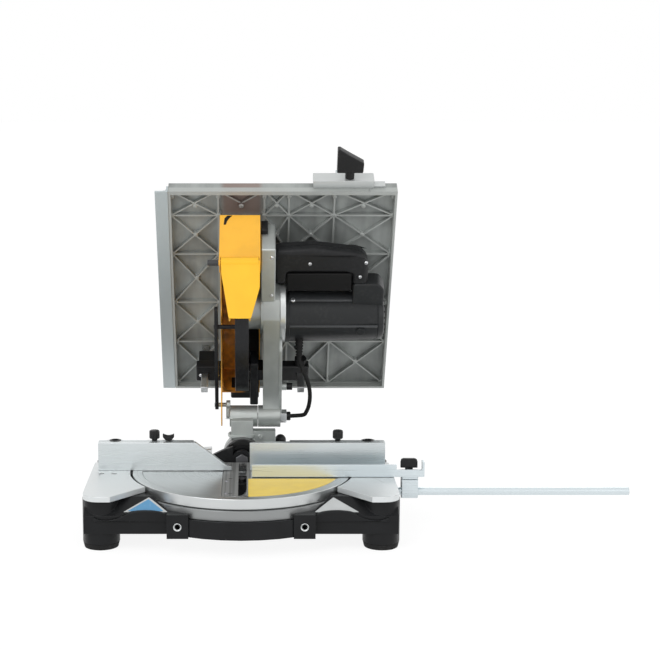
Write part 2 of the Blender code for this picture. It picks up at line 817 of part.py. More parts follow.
def polar(centre, radius: float, degrees: float) -> tuple:
    """The point at an angle around a centre."""
    angle = math.radians(degrees)
    return centre[0] + radius * math.cos(angle), centre[1] + radius * math.sin(angle)


def build_base(anchor: bpy.types.Object) -> None:
    """The cast frame: two flanks on four legs, joined by the ring that carries the turntable."""
    frame = drum(RIM_RADIUS, RIM_BOTTOM, RIM_TOP, "Z", (0, 0), LARGE_SIDES)
    flank_profile = [(FLANK_FRONT_Y, RIM_BOTTOM), (FLANK_REAR_Y, RIM_BOTTOM), (FLANK_REAR_Y,
                                                                               FLANK_SHOULDER_Z),
                     (FLANK_REAR_Y - FLANK_SLOPE / 3, FLANK_TOP), (FLANK_FRONT_Y + FLANK_SLOPE,
                                                                   FLANK_TOP), (FLANK_FRONT_Y,
                                                                                FLANK_SHOULDER_Z)]
    lug_y = -math.sqrt(RIM_RADIUS ** 2 - LUG_X ** 2)
    hollow = arc((0, 0), RIM_RADIUS + SINK, -HOLLOW_HALF_ANGLE, HOLLOW_HALF_ANGLE, SMALL_SIDES // 2)
    hollow += [(FLANK_OUTER_X - FLANK_WALL, LEG_REAR_Y - LEG_RADIUS),
               (FLANK_OUTER_X - FLANK_WALL, LEG_FRONT_Y + LEG_RADIUS)]
    for side in (-1, 1):
        low_x, high_x = sorted((side * FLANK_INNER_X, side * FLANK_OUTER_X))
        fuse(frame, slab([flank_profile], low_x, high_x, "X"))
        for y in (LEG_FRONT_Y, LEG_REAR_Y):
            fuse(frame, drum(LEG_RADIUS, FOOT_HEIGHT + GAP, FLANK_TOP - SINK, "Z", (side * LEG_X, y),
                             MEDIUM_SIDES))
        fuse(frame, box((side * LUG_X - LUG_HALF_WIDTH, lug_y - LUG_DEPTH / 2, LUG_Z - LUG_HALF_HEIGHT),
                        (side * LUG_X + LUG_HALF_WIDTH, lug_y + LUG_DEPTH, LUG_Z + LUG_HALF_HEIGHT)))
        carve(frame, slab([[(side * x, y) for x, y in hollow]], RIM_BOTTOM - OVERRUN,
                          FLANK_TOP - FLANK_WALL, "Z"))
    recess = [(0, TABLE_TOP), (SCALE_RADIUS + SINK, TABLE_TOP), (SCALE_RADIUS + SINK, RIM_TOP),
              (RIM_BORE_RADIUS, RIM_TOP), (RIM_BORE_RADIUS, 0), (0, 0)]
    carve(frame, turned(recess, "Z", (0, 0), LARGE_SIDES))
    for side in (-1, 1):
        carve(frame, drum(LUG_HOLE_RADIUS, lug_y - LUG_DEPTH / 2 - OVERRUN,
                          lug_y - LUG_DEPTH / 2 + LUG_HOLE_DEPTH, "Y", (side * LUG_X, LUG_Z),
                          TINY_SIDES))
    reach = RIM_BORE_RADIUS + SINK
    web = WEB_WIDTH / 2
    cross = [(web, web), (web, reach), (-web, reach), (-web, web), (-reach, web), (-reach, -web),
             (-web, -web), (-web, -reach), (web, -reach), (web, -web), (reach, -web), (reach, web)]
    webs = slab([cross], RIM_BOTTOM, WEB_TOP, "Z")
    fuse(webs, drum(PIVOT_BOSS_RADIUS, RIM_BOTTOM - SINK, DISC_BOTTOM - GAP, "Z", (0, 0), MEDIUM_SIDES))
    carve(webs, drum(CENTRE_BOLT_RADIUS + GAP, RIM_BOTTOM - OVERRUN, DISC_BOTTOM, "Z", (0, 0),
                     SMALL_SIDES))
    fuse(frame, webs)
    carve(frame, drum(ROD_RADIUS + GAP, ROD_START_X - OVERRUN, FLANK_OUTER_X + OVERRUN, "X", (ROD_Y,
                                                                                              ROD_Z),
                      SMALL_SIDES))
    place_part(frame, "base_frame", "black_cast", anchor)

    for side, side_name in ((-1, "left"), (1, "right")):
        for y, row_name in ((LEG_FRONT_Y, "front"), (LEG_REAR_Y, "rear")):
            foot = drum(FOOT_RADIUS, 0, FOOT_HEIGHT, "Z", (side * LEG_X, y), MEDIUM_SIDES, LEG_RADIUS)
            place_part(foot, f"rubber_foot_{row_name}_{side_name}", "rubber", anchor)

    half_sweep = math.degrees(SCALE_SWEEP) / 2
    scale = slab([sector((0, 0), SCALE_BORE_RADIUS, SCALE_RADIUS, -90 - half_sweep, -90 + half_sweep,
                         LARGE_SIDES * 2 // 3)], RIM_TOP + GAP, SCALE_TOP, "Z")
    place_part(scale, "mitre_scale", "machined", anchor)


def wing_outline(side: int) -> list:
    """Half of the machined top: a round outer corner, a slanted front edge and a circular inner edge."""
    start = math.degrees(math.acos(WING_WAIST_X / POCKET_RADIUS))
    end = math.degrees(math.asin(WING_REAR_Y / POCKET_RADIUS))
    corner = arc((WING_OUTER_X - WING_CORNER_RADIUS, WING_FRONT_Y + WING_CORNER_RADIUS),
                 WING_CORNER_RADIUS, 270, 360, SMALL_SIDES // 2)
    inner = arc((0, 0), POCKET_RADIUS, end, -start, MEDIUM_SIDES // 2)
    outline = [(WING_NOSE_X, WING_FRONT_Y)] + corner + [(WING_OUTER_X, WING_REAR_Y)] + inner
    return [(side * x, y) for x, y in outline]


def build_wings(anchor: bpy.types.Object) -> None:
    """The two machined tops beside the turntable."""
    for side, name in ((-1, "left_wing"), (1, "right_wing")):
        wing = slab([wing_outline(side)], FLANK_TOP + GAP, TABLE_TOP, "Z")
        holes = [drum(WING_HOLE_RADIUS, FLANK_TOP - OVERRUN, TABLE_TOP + OVERRUN, "Z", (side * x, y),
                      SMALL_SIDES) for x, y in WING_HOLE_PLACES]
        carve(wing, *holes)
        place_part(wing, name, "machined", anchor)


def fence_blank(side: int) -> bpy.types.Object:
    """One fence: a face plate with its end relieved, a foot, a top lip and a clamp socket."""
    gap_x = abs(FENCE_LEFT_GAP_X if side < 0 else FENCE_RIGHT_GAP_X)
    bottom = TABLE_TOP + GAP
    top = TABLE_TOP + FENCE_HEIGHT
    plate = slab([[(side * x, y) for x, y in ((gap_x, 0), (FENCE_END_X, 0), (FENCE_END_X,
                                                                             FENCE_THICKNESS),
                                              (gap_x + FENCE_THICKNESS, FENCE_THICKNESS))]], bottom,
                 top, "Z")
    foot_low, foot_high = sorted((side * FENCE_FOOT_INNER_X, side * FENCE_END_X))
    fuse(plate, box((foot_low, SINK, bottom), (foot_high, FENCE_FOOT_DEPTH, bottom + FENCE_FOOT_HEIGHT)))
    lip_low, lip_high = sorted((side * FENCE_LIP_INNER_X, side * FENCE_END_X))
    fuse(plate, box((lip_low, SINK, top - FENCE_LIP_HEIGHT),
                    (lip_high, FENCE_THICKNESS + FENCE_LIP_DEPTH, top - GAP)))
    fuse(plate, drum(FENCE_SOCKET_RADIUS, bottom + SINK, top, "Z", (side * FENCE_SOCKET_X, KNOB_Y),
                     MEDIUM_SIDES))
    return plate


def build_fences(anchor: bpy.types.Object) -> None:
    """Both fences with their bosses, holes and bolt heads."""
    bottom = TABLE_TOP + GAP
    top = TABLE_TOP + FENCE_HEIGHT
    knob_places = {-1: (LEFT_KNOB_X, WING_KNOB_X), 1: (RIGHT_KNOB_X,)}
    for side, name in ((-1, "left_fence"), (1, "right_fence")):
        fence = fence_blank(side)
        for x in knob_places[side]:
            fuse(fence, drum(KNOB_BOSS_RADIUS, top - KNOB_BOSS_HEIGHT, top - 2 * GAP, "Z", (x, KNOB_Y),
                             SMALL_SIDES))
            carve(fence, drum(KNOB_STEM_RADIUS + GAP, top - 2 * KNOB_STEM_LENGTH, top + OVERRUN, "Z",
                              (x, KNOB_Y), TINY_SIDES))
        head_bottom = bottom + FENCE_FOOT_HEIGHT - SINK
        bolt_y = FENCE_FOOT_DEPTH - FENCE_BOLT_RADIUS - SINK
        for x in (FENCE_BOLT_X, FENCE_FOOT_INNER_X + FENCE_BOLT_RADIUS + SINK):
            fuse(fence, drum(FENCE_BOLT_RADIUS, head_bottom, head_bottom + FENCE_BOLT_HEIGHT, "Z",
                             (side * x, bolt_y), TINY_SIDES))
        carve(fence, drum(FENCE_SOCKET_BORE_RADIUS, bottom + FENCE_FOOT_HEIGHT, top + OVERRUN, "Z",
                          (side * FENCE_SOCKET_X, KNOB_Y), SMALL_SIDES))
        if side < 0:
            gap_x = FENCE_LEFT_GAP_X
            slant = [(gap_x - FENCE_SLANT_FOOT, bottom), (gap_x + OVERRUN, bottom), (gap_x + OVERRUN,
                                                                                     top + OVERRUN),
                     (gap_x - FENCE_SLANT_RUN, top + OVERRUN), (gap_x - FENCE_SLANT_RUN, top)]
            slant[0] = (gap_x - FENCE_SLANT_FOOT, bottom + FENCE_SLANT_FOOT)
            slant[1] = (gap_x + OVERRUN, bottom + FENCE_SLANT_FOOT)
            carve(fence, slab([slant], -OVERRUN, FENCE_THICKNESS + OVERRUN, "Y"))
        place_part(fence, name, "cast_silver", anchor)


def ribbed_knob(x: float, y: float, seat: float) -> bpy.types.Object:
    """A ribbed knob on a short stem that enters the boss below it."""
    top = seat + RIBBED_KNOB_HEIGHT
    knob = slab([lobed((x, y), RIBBED_KNOB_RADIUS, RIBBED_KNOB_LOBE_SHARE, RIBBED_KNOB_LOBES)], seat,
                top, "Z")
    return fuse(knob, drum(KNOB_STEM_RADIUS, seat - KNOB_STEM_LENGTH, seat + SINK, "Z", (x, y),
                           TINY_SIDES))


def build_fence_knobs(anchors: dict) -> None:
    """The knobs behind the fences, each on its own axis."""
    seat = TABLE_TOP + FENCE_HEIGHT + GAP
    place_part(ribbed_knob(LEFT_KNOB_X, KNOB_Y, seat), "left_clamp_knob", "black_plastic",
               anchors["left_knob"])
    place_part(ribbed_knob(RIGHT_KNOB_X, KNOB_Y, seat), "right_clamp_knob", "black_plastic",
               anchors["right_knob"])
    x, y = WING_KNOB_X, KNOB_Y
    half = WING_KNOB_SPAN / 2
    wing = slab([[(x - half, seat + WING_KNOB_HEIGHT), (x - half, seat + WING_KNOB_HEIGHT / 2),
                  (x - half / 2, seat), (x + half / 2, seat), (x + half, seat + WING_KNOB_HEIGHT / 2),
                  (x + half, seat + WING_KNOB_HEIGHT), (x + half / 3, seat + WING_KNOB_HEIGHT * 3 / 4),
                  (x - half / 3, seat + WING_KNOB_HEIGHT * 3 / 4)]], y - WING_KNOB_THICKNESS / 2,
                y + WING_KNOB_THICKNESS / 2, "Y")
    fuse(wing, drum(KNOB_STEM_RADIUS, seat - KNOB_STEM_LENGTH, seat + SINK, "Z", (x, y), TINY_SIDES))
    place_part(wing, "wing_knob", "black_plastic", anchors["wing_knob"])


def build_turntable(anchor: bpy.types.Object) -> None:
    """The machined disc with its raised rim, kerf slot, shield slot and the bevel hub at its rear."""
    disc = drum(DISC_RADIUS, DISC_BOTTOM, TABLE_TOP, "Z", (0, 0), LARGE_SIDES)
    recess_bottom = TABLE_TOP - DISC_RECESS
    carve(disc, drum(DISC_RADIUS - DISC_RIM_WIDTH, recess_bottom, TABLE_TOP + OVERRUN, "Z", (0, 0),
                     LARGE_SIDES))
    ring_edges = [circle((0, TABLE_TOP), radius, MEDIUM_SIDES)
                  for radius in (HUB_RADIUS - SINK / 2, BEVEL_RING_BORE_RADIUS)]
    ring = slab(ring_edges, HUB_FRONT_Y - BEVEL_RING_THICKNESS, HUB_FRONT_Y + SINK, "Y")
    carve(disc, box((-REAR_CUT_HALF_WIDTH, HUB_REAR_Y, DISC_BOTTOM - OVERRUN),
                    (REAR_CUT_HALF_WIDTH, DISC_RADIUS + OVERRUN, TABLE_TOP + OVERRUN)))
    fuse(disc, drum(HUB_RADIUS, HUB_FRONT_Y, HUB_REAR_Y, "Y", (0, TABLE_TOP), MEDIUM_SIDES))
    fuse(disc, box((-HUB_WEB_HALF_WIDTH, HUB_FRONT_Y, DISC_BOTTOM - (DISC_BOTTOM - RIM_TOP) / 2),
                   (HUB_WEB_HALF_WIDTH, HUB_REAR_Y, recess_bottom - SINK)))
    carve(disc, box((INSERT_LEFT_X - GAP, INSERT_FRONT_Y - GAP, recess_bottom - INSERT_THICKNESS - GAP),
                    (INSERT_RIGHT_X + GAP, INSERT_REAR_Y + GAP, TABLE_TOP + OVERRUN)))
    carve(disc, box((-KERF_HALF_WIDTH_LEFT - KERF_RELIEF, KERF_FRONT_Y, DISC_BOTTOM - OVERRUN),
                    (KERF_HALF_WIDTH_RIGHT + KERF_RELIEF / 2, KERF_REAR_Y, TABLE_TOP)))
    carve(disc, box((-SHIELD_SLOT_HALF_WIDTH,
                     SHIELD_FRONT_Y - BEVEL_BOLT_HEAD_LENGTH - SHIELD_SLOT_MARGIN,
                     DISC_BOTTOM - OVERRUN), (SHIELD_SLOT_HALF_WIDTH,
                                              SHIELD_REAR_Y + SHIELD_SLOT_MARGIN, TABLE_TOP + OVERRUN)))
    fuse(disc, ring)
    carve(disc, drum(BEVEL_BOLT_RADIUS + RUNNING_CLEARANCE, SHIELD_REAR_Y, HUB_REAR_Y + OVERRUN, "Y",
                     (0, TABLE_TOP), SMALL_SIDES))
    carve(disc, drum(CENTRE_BOLT_RADIUS + GAP, DISC_BOTTOM - OVERRUN, recess_bottom - INSERT_THICKNESS,
                     "Z", (0, 0), SMALL_SIDES))
    place_part(disc, "turntable_disc", "machined", anchor)

    top = recess_bottom - GAP / 3
    insert = slab([[(INSERT_LEFT_X, INSERT_FRONT_Y), (INSERT_RIGHT_X, INSERT_FRONT_Y),
                    (INSERT_RIGHT_X, INSERT_REAR_Y), (INSERT_LEFT_X, INSERT_REAR_Y)],
                   [(-KERF_HALF_WIDTH_LEFT, KERF_FRONT_Y), (KERF_HALF_WIDTH_RIGHT, KERF_FRONT_Y),
                    (KERF_HALF_WIDTH_RIGHT, KERF_REAR_Y), (-KERF_HALF_WIDTH_LEFT, KERF_REAR_Y)]],
                  recess_bottom - INSERT_THICKNESS, top, "Z")
    screw_x = (INSERT_LEFT_X - KERF_HALF_WIDTH_LEFT) / 2
    for y in (INSERT_FRONT_Y * INSERT_SCREW_SHARES[0], INSERT_FRONT_Y * INSERT_SCREW_SHARES[1],
              INSERT_REAR_Y * INSERT_SCREW_SHARES[2]):
        carve(insert, drum(INSERT_SCREW_RADIUS, top - INSERT_SCREW_HEIGHT, top + OVERRUN, "Z", (screw_x,
                                                                                                y),
                           TINY_SIDES))
    place_part(insert, "kerf_insert", "insert_grey", anchor)

    bolt = drum(CENTRE_BOLT_RADIUS, RIM_BOTTOM - SINK - CENTRE_BOLT_HEAD_HEIGHT,
                DISC_BOTTOM + INSERT_THICKNESS, "Z", (0, 0), SMALL_SIDES)
    fuse(bolt, drum(CENTRE_BOLT_HEAD_RADIUS, RIM_BOTTOM - SINK - CENTRE_BOLT_HEAD_HEIGHT - GAP,
                    RIM_BOTTOM - SINK - GAP, "Z", (0, 0), 6))
    place_part(bolt, "centre_bolt", "steel", anchor)


def build_tilt_bracket(anchor: bpy.types.Object, lever_anchor: bpy.types.Object) -> None:
    """The casting that tilts behind the turntable and carries the arm's pivot."""
    bracket = drum(TILT_DISC_RADIUS, TILT_FRONT_Y, TILT_DISC_REAR_Y, "Y", (0, TABLE_TOP), MEDIUM_SIDES)
    fuse(bracket, box((-NECK_HALF_WIDTH, TILT_FRONT_Y + SINK, NECK_BOTTOM),
                      (NECK_HALF_WIDTH, TILT_REAR_Y, PIVOT_Z)))
    fuse(bracket, drum(BARREL_RADIUS, BARREL_LEFT_X, BARREL_SEAM_X - GAP, "X", (PIVOT_Y, PIVOT_Z),
                       MEDIUM_SIDES))
    fuse(bracket, box((NECK_HALF_WIDTH - SINK, STOP_BLOCK_FRONT_Y, STOP_BLOCK_BOTTOM),
                      (STOP_BLOCK_RIGHT_X, STOP_BLOCK_REAR_Y, STOP_BLOCK_TOP)))
    screw_z = (STOP_BLOCK_BOTTOM + STOP_BLOCK_TOP) / 2
    fuse(bracket, drum(STOP_SCREW_RADIUS, STOP_BLOCK_FRONT_Y - STOP_SCREW_LENGTH,
                       STOP_BLOCK_FRONT_Y + SINK, "Y", (STOP_SCREW_X, screw_z), 6))
    ear = polar((-PIVOT_Y, PIVOT_Z), LINK_ARM_RADIUS, LINK_ARM_ANGLE)
    ear_place = (-ear[0], ear[1])
    lean = math.radians(LINK_ARM_ANGLE)
    half = LINK_EAR_RADIUS * 0.8
    arm = [(PIVOT_Y + half * math.sin(lean), PIVOT_Z + half * math.cos(lean)),
           (ear_place[0] + half * math.sin(lean), ear_place[1] + half * math.cos(lean)),
           (ear_place[0] - half * math.sin(lean), ear_place[1] - half * math.cos(lean)),
           (PIVOT_Y - half * math.sin(lean), PIVOT_Z - half * math.cos(lean))]
    ear_left = BARREL_LEFT_X - LINK_EAR_THICKNESS
    fuse(bracket, slab([arm], ear_left, BARREL_LEFT_X + SINK, "X"))
    fuse(bracket, drum(LINK_EAR_RADIUS, ear_left, BARREL_LEFT_X + SINK, "X", ear_place, SMALL_SIDES))
    fuse(bracket, drum(CRANK_PIN_RADIUS, LINK_LEFT_X - SINK, ear_left + SINK, "X", ear_place, SMALL_SIDES))
    carve(bracket, drum(PIN_RADIUS + RUNNING_CLEARANCE, ear_left - OVERRUN, BARREL_SEAM_X + OVERRUN, "X",
                        (PIVOT_Y, PIVOT_Z), SMALL_SIDES))
    carve(bracket, drum(BEVEL_BOLT_RADIUS + GAP, TILT_FRONT_Y - OVERRUN, TILT_REAR_Y + OVERRUN, "Y",
                        (0, TABLE_TOP), SMALL_SIDES))
    place_part(bracket, "tilt_bracket", "cast_silver", anchor)

    bolt = drum(BEVEL_BOLT_RADIUS, SHIELD_FRONT_Y - BEVEL_BOLT_HEAD_LENGTH / 2,
                TILT_REAR_Y + LEVER_HUB_LENGTH / 2, "Y", (0, TABLE_TOP), SMALL_SIDES)
    fuse(bolt, drum(BEVEL_BOLT_HEAD_RADIUS, SHIELD_FRONT_Y - BEVEL_BOLT_HEAD_LENGTH,
                    SHIELD_FRONT_Y - GAP, "Y", (0, TABLE_TOP), 6))
    place_part(bolt, "bevel_bolt", "steel", anchor)

    shield = drum(SHIELD_HUB_RADIUS, SHIELD_FRONT_Y, SHIELD_REAR_Y, "Y", (0, TABLE_TOP), MEDIUM_SIDES)
    hood = [(x, TABLE_TOP + up) for x, up in SHIELD_PROFILE]
    hood.append((SHIELD_PROFILE[-1][0], TABLE_TOP - GAP))
    hood.append((SHIELD_PROFILE[0][0] / 2, TABLE_TOP - SHIELD_HUB_RADIUS / 2))
    fuse(shield, slab([hood], SHIELD_FRONT_Y, SHIELD_REAR_Y, "Y"))
    carve(shield, drum(BEVEL_BOLT_RADIUS + GAP, SHIELD_FRONT_Y - OVERRUN, SHIELD_REAR_Y + OVERRUN, "Y",
                       (0, TABLE_TOP), SMALL_SIDES))
    place_part(shield, "kerf_shield", "black_plastic", anchor)

    hub_start = TILT_REAR_Y + GAP
    hub_end = hub_start + LEVER_HUB_LENGTH
    lever = drum(LEVER_HUB_RADIUS, hub_start, hub_end, "Y", (0, TABLE_TOP), SMALL_SIDES)
    shaft = drum(LEVER_RADIUS, 0, LEVER_LENGTH, "X", (hub_end - LEVER_RADIUS - SINK, 0), TINY_SIDES)
    ball = bmesh.new()
    bmesh.ops.create_uvsphere(ball, u_segments=SMALL_SIDES, v_segments=TINY_SIDES,
                              radius=LEVER_BALL_RADIUS)
    bmesh.ops.translate(ball, vec=(LEVER_LENGTH, hub_end - LEVER_RADIUS - SINK, 0), verts=ball.verts)
    fuse(shaft, from_bmesh("ball", ball))
    shaft.data.transform(Matrix.Translation((0, 0, TABLE_TOP)) @ Matrix.Rotation(LEVER_ANGLE, 4, "Y"))
    fuse(lever, shaft)
    carve(lever, drum(BEVEL_BOLT_RADIUS + GAP, hub_start - OVERRUN,
                      TILT_REAR_Y + LEVER_HUB_LENGTH / 2 + GAP, "Y", (0, TABLE_TOP), SMALL_SIDES))
    place_part(lever, "bevel_lock_lever", "black_plastic", lever_anchor)


ARM_OUTLINE_SHARES = ((-0.02, -0.14), (0.24, 0.12), (0.70, 0.20), (1.02, 0.20), (1.20, 0.34), (1.24, 0.52),
                      (1.24, 0.92), (1.10, 1.00), (0.36, 1.00), (0.12, 0.62), (-0.075, 0.04))


def build_arm(anchor: bpy.types.Object) -> None:
    """The arm casting with its gear case, and the cover that carries the motor."""
    arbor = (-ARBOR_FORWARD, ARBOR_UP)
    motor = (-MOTOR_FORWARD, MOTOR_UP)
    outline = side_view([(forward * ARBOR_FORWARD, up * ARM_TOP_UP) for forward, up in ARM_OUTLINE_SHARES])
    arm = slab([outline], ARM_LEFT_X, ARM_RIGHT_X, "X")
    fuse(arm, drum(BARREL_RADIUS, BARREL_SEAM_X + GAP, BARREL_RIGHT_X, "X", (0, 0), MEDIUM_SIDES))
    fuse(arm, drum(GEARCASE_ARBOR_RADIUS, GEARCASE_LEFT_X, ARM_RIGHT_X - SINK / 2, "X", arbor,
                   MEDIUM_SIDES))
    fuse(arm, drum(GEARCASE_MOTOR_RADIUS, ARM_LEFT_X + SINK, ARM_RIGHT_X - SINK / 4, "X", motor,
                   MEDIUM_SIDES))
    fuse(arm, drum(GUARD_HUB_RADIUS, GUARD_HUB_LEFT_X, GEARCASE_LEFT_X + SINK, "X", arbor, MEDIUM_SIDES))
    bracket = box((BRACKET_LEFT_X, -BRACKET_FRONT, BRACKET_BOTTOM_UP), (BRACKET_RIGHT_X, -BRACKET_REAR,
                                                                        ARM_TOP_UP))
    fuse(arm, soften(bracket, CAP_WALL / 2, 1))
    fuse(arm, drum(LOCK_BODY_RADIUS, ARM_RIGHT_X - SINK, ARM_RIGHT_X + LOCK_BODY_LENGTH, "X",
                   (-LOCK_FORWARD, LOCK_UP), SMALL_SIDES))
    fuse(arm, guide_block(ARM_RIGHT_X - SINK, RIGHT_POST_X + GUIDE_HALF_WIDTH))
    carve(arm, guide_bore(RIGHT_POST_X))
    carve(arm, drum(KNOB_STEM_RADIUS + GAP, -POST_FORWARD - GUIDE_DEPTH / 2 - POST_HALF_WIDTH - OVERRUN,
                    -POST_FORWARD - POST_HALF_WIDTH, "Y", (RIGHT_POST_X,
                                                           (GUIDE_BOTTOM_UP + GUIDE_TOP_UP) / 2),
                    TINY_SIDES))
    carve(arm, drum(GEAR_CAVITY_ARBOR_RADIUS, GEAR_CAVITY_LEFT_X, ARM_RIGHT_X + OVERRUN, "X", arbor,
                    MEDIUM_SIDES))
    carve(arm, drum(GEAR_CAVITY_PINION_RADIUS, GEAR_CAVITY_LEFT_X, ARM_RIGHT_X + OVERRUN, "X", motor,
                    SMALL_SIDES))
    carve(arm, drum(SPINDLE_RADIUS + RUNNING_CLEARANCE, GUARD_HUB_LEFT_X - OVERRUN, ARM_RIGHT_X, "X",
                    arbor, SMALL_SIDES))
    carve(arm, drum(PIN_RADIUS + RUNNING_CLEARANCE, BARREL_SEAM_X - OVERRUN, BARREL_RIGHT_X + OVERRUN,
                    "X", (0, 0), SMALL_SIDES))
    carve(arm, drum(LOCK_PLUNGER_RADIUS + RUNNING_CLEARANCE, ARM_RIGHT_X - LOCK_NOSE - LOCK_TRAVEL,
                    ARM_RIGHT_X + LOCK_BODY_LENGTH + OVERRUN, "X", (-LOCK_FORWARD, LOCK_UP), TINY_SIDES))
    place_part(arm, "arm_casting", "cast_silver", anchor)

    cover_start = ARM_RIGHT_X + GAP
    rims = circle(arbor, GEARCASE_ARBOR_RADIUS, MEDIUM_SIDES) + circle(motor, GEARCASE_MOTOR_RADIUS,
                                                                       MEDIUM_SIDES)
    cover = slab([belt(rims)], cover_start, COVER_RIGHT_X, "X")
    carve(cover, drum(ARMATURE_SHAFT_RADIUS + RUNNING_CLEARANCE, cover_start - OVERRUN,
                      COVER_RIGHT_X + OVERRUN, "X", motor, SMALL_SIDES))
    carve(cover, drum(SPINDLE_RADIUS + RUNNING_CLEARANCE, cover_start - OVERRUN, SPINDLE_RIGHT_X + GAP,
                      "X", arbor, SMALL_SIDES))
    place_part(cover, "gear_case_cover", "cast_silver", anchor)


def gear_outline(centre, tip_radius: float, depth: float, teeth: int, turn: float = 0.0) -> list:
    """A toothed wheel's outline: a flat tip and a pointed root for each tooth."""
    points = []
    pitch = math.tau / teeth
    for tooth in range(teeth):
        for share, radius in ((-0.13, tip_radius), (0.13, tip_radius), (0.50, tip_radius - depth)):
            angle = turn + pitch * (tooth + share)
            points.append((centre[0] + radius * math.cos(angle), centre[1] + radius * math.sin(angle)))
    return points


def build_drive(spindle_anchor: bpy.types.Object, motor_anchor: bpy.types.Object,
                head: bpy.types.Object) -> None:
    """The spindle with its gear, and the armature with its pinion and fan inside the motor's stator."""
    arbor = (-ARBOR_FORWARD, ARBOR_UP)
    motor = (-MOTOR_FORWARD, MOTOR_UP)
    centres = math.hypot(ARBOR_FORWARD - MOTOR_FORWARD, MOTOR_UP - ARBOR_UP)
    line = math.atan2(MOTOR_UP - ARBOR_UP, ARBOR_FORWARD - MOTOR_FORWARD)
    gear_radius = centres - PINION_RADIUS + GEAR_MESH
    gear_start = GEAR_CAVITY_LEFT_X + SINK
    spindle = drum(SPINDLE_RADIUS, SPINDLE_LEFT_X, SPINDLE_RIGHT_X, "X", arbor, SMALL_SIDES)
    gear = slab([gear_outline(arbor, gear_radius, GEAR_DEPTH, GEAR_TEETH, line)], gear_start,
                gear_start + GEAR_THICKNESS, "X")
    fuse(spindle, gear)
    place_part(spindle, "spindle_gear", "steel", spindle_anchor)

    armature = drum(ARMATURE_SHAFT_RADIUS, ARMATURE_SHAFT_START_X, ARMATURE_SHAFT_END_X, "X", motor,
                    SMALL_SIDES)
    turn = line + math.pi + math.pi / PINION_TEETH
    pinion = slab([gear_outline(motor, PINION_RADIUS, GEAR_DEPTH, PINION_TEETH, turn)], gear_start,
                  gear_start + GEAR_THICKNESS, "X")
    fuse(armature, pinion)
    fuse(armature, drum(ARMATURE_CORE_RADIUS, ARMATURE_CORE_START_X, ARMATURE_CORE_END_X, "X", motor,
                        SMALL_SIDES))
    fuse(armature, drum(COMMUTATOR_RADIUS, COMMUTATOR_START_X, COMMUTATOR_END_X, "X", motor, SMALL_SIDES))
    fan = slab([gear_outline(motor, FAN_RADIUS, FAN_RADIUS / 2, FAN_BLADES)], FAN_START_X, FAN_END_X, "X")
    fuse(armature, fan)
    place_part(armature, "armature", "copper", motor_anchor)

    stator = slab([circle(motor, STATOR_RADIUS, MEDIUM_SIDES), circle(motor, STATOR_BORE_RADIUS,
                                                                      MEDIUM_SIDES)], STATOR_START_X,
                  STATOR_END_X, "X")
    place_part(stator, "stator", "copper", head)


def motor_shell_profile() -> list:
    """The housing's turned wall: the outer side from the tail to the flange, then back along the bore."""
    outer = [(MOTOR_TAIL_RADIUS, MOTOR_END_X), (MOTOR_RADIUS, (MOTOR_START_X + MOTOR_END_X) / 2)]
    outer += [(MOTOR_RADIUS, MOTOR_START_X + MOTOR_FLANGE_WIDTH), (MOTOR_FLANGE_RADIUS, MOTOR_START_X
                                                                  + MOTOR_FLANGE_WIDTH),
              (MOTOR_FLANGE_RADIUS, MOTOR_START_X), (MOTOR_BORE_RADIUS, MOTOR_START_X),
              (MOTOR_BORE_RADIUS, MOTOR_END_X)]
    return outer


